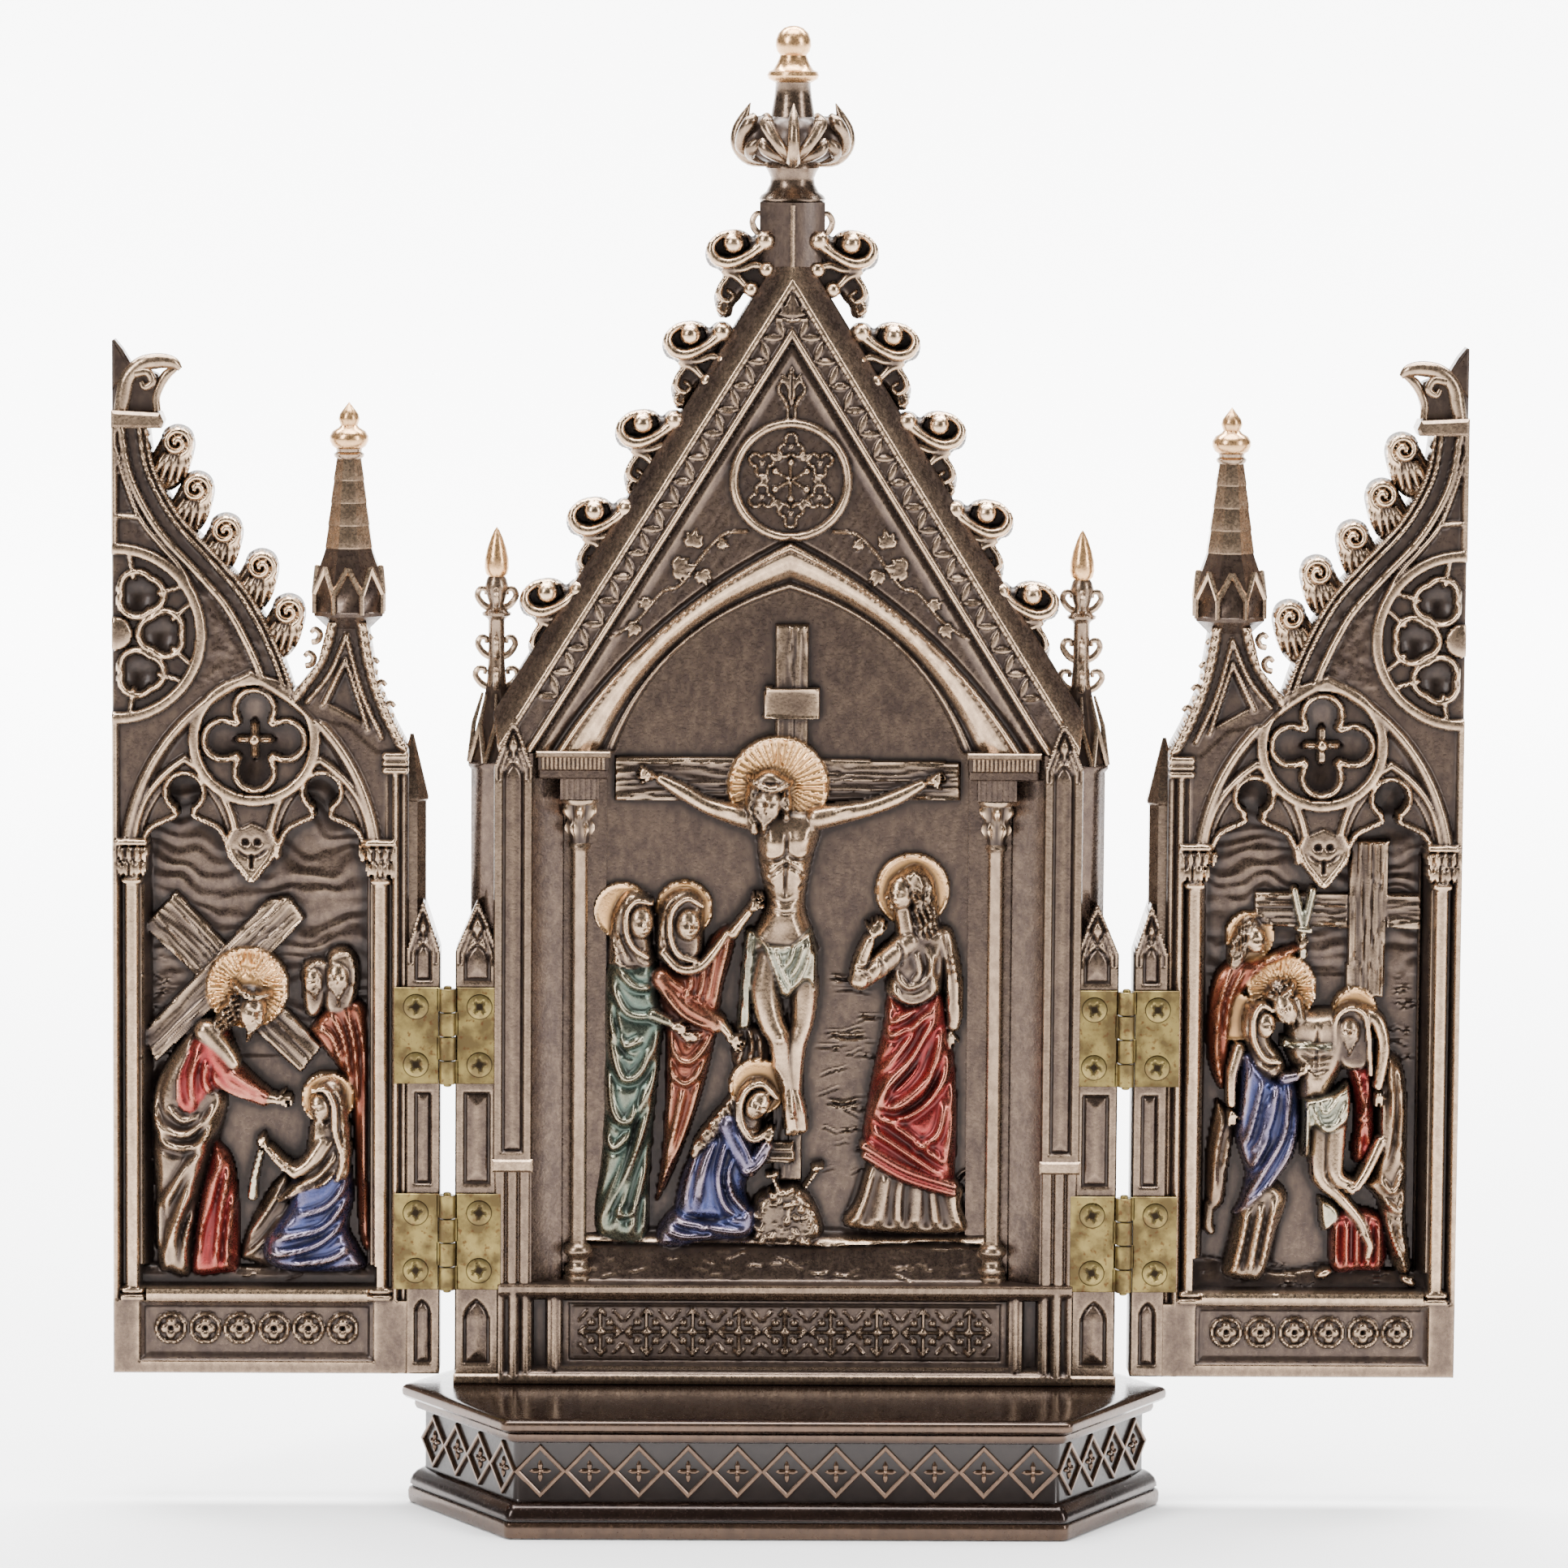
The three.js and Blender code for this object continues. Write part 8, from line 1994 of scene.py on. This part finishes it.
def tracery(board, side):
    # a pointed arch over a quatrefoil in a circle, two cusped lights and a hanging boss
    size = wingSize
    cu, spring, floor = size["arch"], size["spring"], -size["floor"]
    field = mirrored(side, archLine(cu, 19.6, spring - 6, size["archApex"] - 1.2, 0.13, 16))
    board.ramp(field, -1.5)
    for lu, apexZ in ((cu + 10.6, 120.6), (cu - 11.0, 120.6)):
        half = 8.3
        light = archLine(lu, half - 1.3, spring - 1.2, apexZ - 2.2, 0.12, 10)
        board.ramp(mirrored(side, light), -2.2)
        board.line(mirrored(side, archLine(lu, half, spring - 2, apexZ, 0.14, 12)), 1.5, -0.35)
    # the niche's own opening, topped by three cusps on each side and round eyes
    eyes = [(cu + 10.7, 115.2), (cu - 11.3, 115.4)]
    left, right = 67.4, 102.1
    board.ramp(mirrored(side, rectangle(left, right, 36.6, 106.2)), floor)
    for eu, ez in eyes:
        board.ramp(mirrored(side, [(eu + 2.75 * math.cos(t), ez + 2.75 * math.sin(t))
                                   for t in np.linspace(0, 2 * math.pi, 24, endpoint=False)]), floor)
        neck = [(eu - 1.6, ez), (eu + 1.6, ez), (eu + 1.3, 111.4), (eu + 5.6, 108.9), (eu + 7.2, 105.8),
                (eu - 7.2, 105.8), (eu - 5.6, 108.9), (eu - 1.3, 111.4)]
        board.ramp(mirrored(side, neck), floor)
        rim = [(eu + 3.1 * math.cos(t), ez + 3.1 * math.sin(t))
               for t in np.linspace(-1.05, math.pi + 1.05, 20)]
        board.line(mirrored(side, rim), 1.0, -0.55)
        for flip in (-1, 1):
            board.line(mirrored(side, [(eu + flip * 1.7, 112.4), (eu + flip * 1.5, 111.4),
                                       (eu + flip * 3.6, 110.4), (eu + flip * 5.6, 109.2),
                                       (eu + flip * 6.9, 106.6), (eu + flip * 7.2, 104.8)]), 1.0, -0.55,
                       smooth=True)
    # circle with its quatrefoil
    qu, qz = cu - 0.5, 123.6
    far = np.hypot(board.x - side * qu, board.z - qz)
    at = board.window([(side * qu, qz)], 11.5)
    board.h[at] = np.where(far[at] < 9.6, -2.0, board.h[at])
    board.put(at, np.where(np.abs(far - 9.7) < 0.9, -0.15 - 0.5 * ((far - 9.7) / 0.9) ** 4, outside)[at],
              None, 0.1)
    foil = []
    for t in np.linspace(0, 2 * math.pi, 97)[:-1]:
        best = max(5.0 * math.cos(t - q) + math.sqrt(max(3.15**2 - (5.0 * math.sin(t - q)) ** 2, 0))
                   if abs(5.0 * math.sin(t - q)) < 3.15 and math.cos(t - q) > 0 else 3.9
                   for q in (0, math.pi / 2, math.pi, 3 * math.pi / 2))
        foil.append((side * (qu + best * math.cos(t)), qz + best * math.sin(t)))
    board.ramp(foil, lambda px, pz: -3.9 + 0.018 * ((px - side * qu) ** 2 + (pz - qz) ** 2))
    board.line([*foil, foil[0]], 1.15, -0.45)
    # cross-shaped flower in the middle
    for k in range(4):
        c, s = math.cos(math.pi / 2 * k), math.sin(math.pi / 2 * k)
        board.line([(side * qu + r * c, qz + r * s) for r in (0.6, 2.4)], 1.3, -1.7)
        for reach, aside, wide in ((1.7, 0.55, 0.7), (2.6, 0.95, 0.75), (3.5, 0.5, 0.65), (3.7, 0, 0.6)):
            for flip in (-1, 1):
                dot = (side * qu + reach * c - flip * aside * s, qz + reach * s + flip * aside * c)
                board.line([dot, dot], 2 * wide, -1.35)
        board.fold([(side * qu + r * c, qz + r * s) for r in (0.9, 3.6)], 0.2, -0.5, groove=0, ends=0.1)
    board.ground = 0.0
    board.blob(side * qu, qz, 0.95, 0.95, -0.8, rise=0.8)
    # main arch strip over everything
    board.line(mirrored(side, archLine(cu, 20.0, spring, size["archApex"] - 0.9, 0.13, 18)), 2.0, -0.05,
               smooth=False)
    # hanging boss
    boss = [(cu + 3.2, 108.8), (cu + 3.9, 106.8), (cu + 3.3, 104.9), (cu + 1.9, 103.0), (cu, 101.0),
            (cu - 1.9, 103.0), (cu - 3.3, 104.9), (cu - 3.9, 106.8), (cu - 3.2, 108.8), (cu, 110.2)]
    board.ramp(mirrored(side, boss), -0.9)
    board.line(mirrored(side, [*boss[:-1]]), 0.9, -0.35, smooth=True)
    for flip in (-1, 1):
        board.fold(mirrored(side, [(cu + flip * 0.95, 107.2), (cu + flip * 0.97, 107.22)]), 0.5, -1.2,
                   groove=0, ends=0)
    board.fold(mirrored(side, [(cu, 105.4), (cu, 102.6)]), 0.28, -0.8, groove=0)
    board.fold(mirrored(side, [(cu - 2.9, 106.6), (cu - 1.4, 105.2), (cu, 104.8), (cu + 1.4, 105.2),
                               (cu + 2.9, 106.6)]), 0.26, -0.5, groove=0)


def wingPosts(board, side):
    # ledge, colonnettes with their capitals, corner reeds and the sunk predella with its roundels
    size = wingSize
    x, z = board.x, board.z
    u = np.abs(x)
    below = z < 36.8
    ledge = np.interp(z, [33.0, 33.4, 34.2, 35.0, 35.4, 36.8], [0.0, 0.4, 0.45, 0.0, -1.2, -4.4])
    inside = (u > 66.4) & (u < 103.2)
    board.h = np.where(below & inside & (z > 33), ledge, board.h)
    board.h = np.where(below & (z <= 33), 0.0, board.h)

    def box(left, right, bottom, top, height):
        board.ramp(mirrored(side, rectangle(left, right, bottom, top)), height)
    box(66.4, 104.0, 23.0, 32.6, -0.7)
    box(67.0, 103.4, 23.6, 32.0, -1.15)
    board.line(mirrored(side, [(67.4, 24.0), (103.0, 24.0), (103.0, 31.6), (67.4, 31.6), (67.4, 24.0)]), 0.32,
               -1.0)
    for k in range(6):
        cu, cz = 99.1 - 5.54 * k, 28.2
        far = np.hypot(x - side * cu, z - cz)
        at = board.window([(side * cu, cz)], 3.2)
        board.put(at, np.where(np.abs(far - 2.3) < 0.3, -0.55 - 0.3 * ((far - 2.3) / 0.3) ** 2, outside)[at],
                  None, 0.08)
        for q in range(4):
            a = math.pi / 2 * q
            pu, pz = side * cu + 0.95 * math.cos(a), cz + 0.95 * math.sin(a)
            near = np.hypot(x - pu, z - pz)
            board.put(at, np.where(near < 0.78, -0.5 - 0.45 * (near / 0.78) ** 4, outside)[at], None, 0.08)
        board.fold([(side * cu, cz), (side * cu + 0.01, cz)], 0.38, -0.6, groove=0, ends=0)
    # splays beside the niche
    for edge, outerEdge in ((102.1, 103.9), (67.4, 66.6)):
        share = np.clip((u - edge) / (outerEdge - edge), 0, 1)
        between = (u > min(edge, outerEdge)) & (u < max(edge, outerEdge)) & (z > 36.6) & (z < 107)
        board.h = np.where(between, -size["floor"] + share * 3.6, board.h)
    for cu in (105.2, 65.4):
        level = -1.1
        board.ramp(mirrored(side, rectangle(cu - 1.7, cu + 1.7, 34, 107)), level - 0.8)
        board.ground = 0.0
        board.limb(mirrored(side, [(cu, 34.6, 1.15, 0.15), (cu, 101.2, 1.15, 0.15)]), rise=1.15, smooth=False)
        for bz, radius, rise in ((33.4, 1.9, 0.4), (34.5, 1.7, 0.35), (101.0, 1.5, 0.35), (107.2, 2.5, 0.5)):
            board.limb(mirrored(side, [(cu - radius + 0.4, bz, 0.55, rise),
                                       (cu + radius - 0.4, bz, 0.55, rise)]), rise=0.8, smooth=False)
        bell = [(cu - 1.2, 101.4), (cu + 1.2, 101.4), (cu + 2.3, 106.6), (cu - 2.3, 106.6)]
        board.ramp(mirrored(side, bell), -0.4)
        for row, bz in enumerate((101.6, 104.0)):
            for k in range(-2, 3):
                shift = k * (0.85 + 0.3 * row) + (0.4 if row else 0)
                board.leaf(mirrored(side, [(cu + shift, bz)])[0],
                           mirrored(side, [(cu + shift * 1.25, bz + 2.8)])[0], 1.0, 0.25, 0.5)
    # corner reeds towards the hinges
    for cu, height, top in ((61.6, -0.6, 118.6), (63.0, 0.1, 119.2), (64.4, -0.8, 118.6)):
        board.line(mirrored(side, [(cu, 20.5), (cu, top)]), 1.25, height)
    box(60.0, 65.2, 21, 32.6, 0.0)
    for bz in (119.0, 120.2, 121.3):
        board.limb(mirrored(side, [(61.4, bz, 0.6, 0.35), (64.6, bz, 0.6, 0.35)]), rise=0.7, smooth=False)


def spireGable(board, side):
    # the little gable under the spire, edged with rope
    shape = [(61.2, 122.4), (63.2, 126.2), (66.2, 133.2), (67.8, 142.6), (73.6, 142.6), (75.2, 136.6),
             (79.4, 130.4), (76.0, 127.0), (70.6, 126.0), (66.0, 121.8)]
    board.ramp(mirrored(side, shape), -1.2)
    outer = [(61.8, 122.6), (65.0, 129.2), (67.2, 136.0), (68.4, 142.6)]
    other = [(79.0, 130.8), (75.6, 135.6), (74.0, 139.2), (73.2, 142.6)]
    for line in (outer, other):
        path = curve(mirrored(side, line), 8)
        board.line(path, 2.0, 0.15, square=2)
        far, sideOf, place = nearLine(board.x, board.z, path)
        length = np.linalg.norm(np.diff(path, axis=0), axis=1).sum()
        twist = np.sin((place * length / 1.7 + sideOf * far * 0.32 * side) * 2 * math.pi)
        board.h += np.where(far < 0.85, 0.22 * twist, 0)
    board.line(mirrored(side, [(65.2, 124.2), (68.4, 131.4), (70.9, 140.6)]), 0.9, -0.35, smooth=True)
    board.line(mirrored(side, [(77.2, 129.8), (73.6, 134.4), (70.9, 140.6)]), 0.9, -0.35, smooth=True)
    inner = [(68.2, 126.6), (71.0, 135.4), (73.6, 129.6)]
    board.ramp(mirrored(side, inner), -2.2)
    board.line(mirrored(side, [(67.4, 125.4), (71.0, 136.8), (74.6, 129.4)]), 0.9, -0.6)


def spire(casting, side):
    # eight-sided tiled spire over a gabled drum, with a gilded onion knob
    size = wingSize
    x, y = side * size["spire"], 4.6
    turned(casting, [(2.6, 140.6), (5.2, 143.0), (5.9, 143.6), (5.95, 144.2), (5.7, 144.5), (5.7, 149.0),
                     (5.2, 151.0), (4.2, 153.6), (3.9, 154.6)], x, y, 8, mark(patinaAndShade=0.15), math.pi / 8)
    corners = [math.pi / 8 + math.pi / 4 * k for k in range(8)]
    for k in range(8):
        a, b = corners[k], corners[(k + 1) % 8]
        middle = (a + b) / 2 if k < 7 else a + math.pi / 8
        low = (x + 5.85 * math.cos(a), y + 5.85 * math.sin(a), 147.2)
        high = (x + 5.05 * math.cos(middle), y + 5.05 * math.sin(middle), 151.4)
        end = (x + 5.85 * math.cos(a + math.pi / 4), y + 5.85 * math.sin(a + math.pi / 4), 147.2)
        tube(casting, [(*low, 0.5), (*high, 0.5)], 6, mark(rub=0.6))
        tube(casting, [(*high, 0.5), (*end, 0.5)], 6, mark(rub=0.6))
        tube(casting, [(*low[:2], 144.0, 0.4), (*low, 0.42)], 6, mark(rub=0.4))
    rows = 4
    for k in range(rows):
        low, high = 154.4 + 3.6 * k, 154.4 + 3.6 * (k + 1)
        wide, narrow = 3.85 - 0.47 * k, 3.85 - 0.47 * (k + 1)
        turned(casting, [(wide + 0.14, low), (wide + 0.18, low + 0.25), (narrow + 0.1, high)], x, y, 8,
               mark(rub=0.35), math.pi / 8)
        for q in range(8):
            a = math.pi / 4 * q + (0.12 if k % 2 else -0.12)
            tube(casting, [(x + (wide * 0.93) * math.cos(a), y + wide * 0.93 * math.sin(a), low + 0.2, 0.16),
                           (x + (narrow * 0.93) * math.cos(a), y + narrow * 0.93 * math.sin(a), high - 0.2,
                            0.14)], 5, mark(patinaAndShade=0.5))
    turned(casting, [(1.9, 168.6), (2.35, 169.0), (2.45, 169.4), (2.0, 169.8), (2.1, 170.3)], x, y, 28,
           mark(rub=0.3))
    knob = [(2.0, 170.2), (2.7, 170.7), (3.1, 171.5), (3.1, 172.3), (2.6, 173.1), (1.7, 173.6), (1.35, 174.0),
            (1.5, 174.4), (1.7, 175.0), (1.5, 175.8), (0.9, 176.6), (0.35, 177.3), (0.05, 177.7)]
    turned(casting, knob, x, y, 28, mark(gilt=0.8, rub=0.25))


def volute():
    # a curled leaf seen from the side: a snail's coil with combed leaf strokes below
    board = Board(-5.4, 3.6, -8.6, 3.4, 0.235, -2.4)
    whole = [(-2.7, 0.4), (-2.0, 2.0), (0, 2.8), (2.0, 2.0), (2.8, 0), (2.5, -2.2), (1.8, -4.6), (0.6, -6.6),
             (-1.4, -7.9), (-3.6, -6.6), (-4.7, -4.2), (-4.0, -2.0)]
    # the leaf's ground is painted dark between the strokes and the coil: painted shade
    board.cloth(whole, 2.0, "dark", 1.0)
    for k in range(5):
        foot = (1.4 - 1.35 * k, -5.6 - 0.9 * math.sin(math.pi * k / 4))
        board.limb([(1.9 - 0.95 * k, -1.2 - 0.2 * k, 0.5, 3.0), (1.9 - 1.15 * k, -3.4, 0.62, 3.3),
                    (*foot, 0.4, 2.5)], "bronze", 0.7)
    coil = []
    for k in range(24):
        t = k / 23
        a = math.radians(-70 + 610 * t)
        r = 2.2 * (1 - t) ** 0.85 + 0.2
        coil.append((r * math.cos(a), r * math.sin(a), 0.66 - 0.2 * t, 3.5 + 0.7 * t))
    board.limb(coil, "worn", 0.8, smooth=False)
    casting = Casting()
    board.cast(casting, curve(whole + whole[:1], 4)[:-1], 3.4, 0.4)
    return casting


def scrollTop(casting, side):
    # the half finial at the outer corner: a collar, a hooked leaf and a spike
    slab(casting, mirrored(side, [(108.3, 173.6), (100.3, 173.6), (99.9, 174.6), (100.5, 176.0),
                                  (108.3, 176.4)]), -0.3, 7.4, 0.5, mark(rub=0.3))
    slab(casting, mirrored(side, [(108.3, 175.8), (101.0, 175.8), (100.9, 178.0), (100.3, 180.0),
                                  # the back plates behind the rails are painted darker: painted shade
                                  (101.0, 182.0), (104.6, 183.6), (108.3, 181.5)]), 2.4, 7.0, 0.5,
         mark(patinaAndShade=0.5))
    slab(casting, mirrored(side, [(108.3, 179.5), (105.0, 182.6), (105.4, 184.0), (106.6, 186.0),
                                  (107.9, 187.6), (108.3, 187.4)]), 2.2, 6.6, 0.4, mark(patinaAndShade=0.25))
    rail = [(106.9, 175.9, 1.2), (106.5, 178.4, 1.3), (105.8, 181.4, 1.3), (103.6, 183.6, 1.3),
            (100.8, 184.2, 1.25), (98.6, 183.9, 1.0), (97.4, 182.9, 0.45)]
    tube(casting, curve([(side * u, 2.6, z, r) for u, z, r in rail], 5), 12, mark(rub=0.4))
    rail = [(101.2, 176.2, 0.7), (101.3, 178.4, 0.7), (100.6, 180.4, 0.75), (99.6, 182.0, 0.8),
            (98.2, 183.0, 0.5)]
    tube(casting, curve([(side * u, 2.8, z, r) for u, z, r in rail], 5), 10, mark(rub=0.4))
    curl = [(104.6, 182.2, 0.75), (102.6, 182.4, 0.7), (101.8, 180.9, 0.65), (103.0, 180.0, 0.55),
            (103.6, 180.9, 0.4)]
    tube(casting, curve([(side * u, 1.9, z, r) for u, z, r in curl], 5), 10, mark(rub=0.45))


def makeWing(name, side, scene):
    size = wingSize
    low, high = sorted((side * (size["outer"] + 0.6), side * (size["shoulder"] - 0.6)))
    board = Board(low, high, size["foot"] - 0.6, 174.8, size["cell"], -1.1)
    wingMouldings(board, side)
    rosette(board, side)
    tracery(board, side)
    wingPosts(board, side)
    spireGable(board, side)
    board.ground = -size["floor"]
    scene(board)
    casting = Casting()
    board.cast(casting, wingOutline(side), size["back"], 0.3)
    casting.make(f"{name}Carving", name, panelBronze, [name], 50)
    extras = Casting()
    edges = sorted((side * size["inner"], side * (size["inner"] + 5.4)))
    gothicStrip(extras, *edges, size["foot"], flangeSize["eaves"], flangeSize["apex"],
                [(size["foot"] + 1.8, flangeSize["lowTop"], "pointed"),
                 (flangeSize["midBottom"], flangeSize["midTop"], "square"),
                 (flangeSize["upBottom"], flangeSize["upTop"], "lancet")], 0.0, size["back"])
    spire(extras, side)
    leaf = volute()
    for u, z in ((98.0, 171.2), (94.9, 163.8), (90.3, 157.1), (84.6, 151.4), (80.3, 144.2)):
        extras.merge(leaf, (side * u, 2.6, z), flip=side > 0)
    for k, (u, z) in enumerate(((63.4, 128.4), (64.8, 131.8), (66.0, 135.4), (67.0, 139.2), (76.4, 140.2),
                                (77.4, 136.4))):
        hook = [(0, 0.5, -0.9, 0.5), (-0.9, 0.2, -0.6, 0.5), (-1.3, 0, 0.5, 0.5), (-0.5, -0.1, 1.3, 0.45),
                (0.2, 0, 0.7, 0.35)]
        turn = 1 if k > 3 else -1
        tube(extras, curve([(side * (u - turn * dx * -1), 2.4 + dy, z + dz, r) for dx, dy, dz, r in hook], 3),
             8, mark(rub=0.4))
    # eight-sided buttress behind the flange
    turned(extras, [(2.5, 60), (2.5, 113.6), (2.9, 114.0), (2.9, 114.4), (0.3, 124.4)], side * 60.5, 5.6, 8,
           mark(rub=0.1), math.pi / 8)
    scrollTop(extras, side)
    extras.make(f"{name}Trim", name, panelBronze, [name])


studio = {
    "distance": 1.2, "target": (0.0, 0.0, 0.1172), "yaw": 1.0, "pitch": 6.4, "roll": 0.42,
    "lens": 172.0, "shift": -0.0031,
    "sensor": 36.0, "paper": "#fbfbfb", "paperRoughness": 0.9, "air": "#e8ecf2", "airStrength": 0.11,
    # name, place, the point it faces, width, height and watts
    "lights": [
        ("keySoftbox", (-0.8, -0.85, 0.75), (0, 0, 0.12), 0.3, 0.8, 17),
        ("fillSoftbox", (0.95, -0.7, 0.5), (0, 0, 0.12), 0.25, 0.8, 11),
        ("topSoftbox", (0, -0.1, 1.3), (0, 0, 0.12), 1.0, 0.6, 38),
        ("backdropLight", (0, 1.2, 2.4), (0, 3.2, 0.2), 4, 1.4, 1000),
    ],
}


def makeCamera():
    look = studio
    yaw, pitch = math.radians(look["yaw"]), math.radians(look["pitch"])
    back = Vector((-math.sin(yaw) * math.cos(pitch), -math.cos(yaw) * math.cos(pitch), math.sin(pitch)))
    camera = bpy.data.objects.new("studioCamera", bpy.data.cameras.new("studioCamera"))
    camera.data.lens, camera.data.sensor_width = look["lens"], look["sensor"]
    camera.data.shift_x = look["shift"]
    camera.location = Vector(look["target"]) + back * look["distance"]
    turn = (-back).to_track_quat("-Z", "Y").to_euler()
    camera.rotation_euler = turn
    camera.rotation_euler.rotate_axis("Z", math.radians(look["roll"]))
    camera.data.clip_start, camera.data.clip_end = 0.01, 50
    bpy.context.scene.collection.objects.link(camera)
    bpy.context.scene.camera = camera


def areaLight(name, place, target, width, height, power, colour="#ffffff"):
    light = bpy.data.objects.new(name, bpy.data.lights.new(name, "AREA"))
    light.data.shape, light.data.size, light.data.size_y = "RECTANGLE", width, height
    light.data.energy, light.data.color = power, linear(colour)[:3]
    light.location = place
    light.rotation_euler = (Vector(target) - Vector(place)).to_track_quat("-Z", "Y").to_euler()
    bpy.context.scene.collection.objects.link(light)


def makeStudio():
    # a pale floor that curves up into a backdrop, and large soft boxes
    casting = Casting()
    sweep = [(-6.0, 0.0), (2.0, 0.0)] + [(2.0 + 3 * math.sin(a), 3 - 3 * math.cos(a))
                                         for a in np.linspace(0.1, math.pi / 2, 12)] + [(5.0, 6.0)]
    line = np.array(sweep)
    under = line + [0.0, -0.02]
    rows = [[(x / millimetre, y / millimetre, z / millimetre) for y, z in np.vstack([line, under[::-1]])]
            for x in (-6.0, 6.0)]
    casting.skin(rows)
    points = np.concatenate(casting.points) * millimetre
    mesh = bpy.data.meshes.new("paleFloor")
    mesh.from_pydata(points.tolist(), [], [q.tolist() for q in np.concatenate(casting.quads)])
    mesh.shade_smooth()
    material, _, shader = newMaterial("palePaper")
    shader.inputs["Base Color"].default_value = linear(studio["paper"])
    shader.inputs["Roughness"].default_value = studio["paperRoughness"]
    mesh.materials.append(material)
    floor = bpy.data.objects.new("paleFloor", mesh)
    bpy.context.scene.collection.objects.link(floor)
    for light in studio["lights"]:
        areaLight(*light)
    world = bpy.data.worlds.new("studioWorld")
    world.use_nodes = True
    world.node_tree.nodes["Background"].inputs["Color"].default_value = linear(studio["air"])
    world.node_tree.nodes["Background"].inputs["Strength"].default_value = studio["airStrength"]
    bpy.context.scene.world = world


print("camera and studio")
makeCamera()
makeStudio()
print("plinth and hinges")
makePlinth()
makeHinges()
print("centre panel")
makeCentreFrame()
makeGable()
makeNiche()
makeCrown()
print("wings")
makeWing("left_wing", -1, bearingTheCross)
makeWing("right_wing", 1, descent)
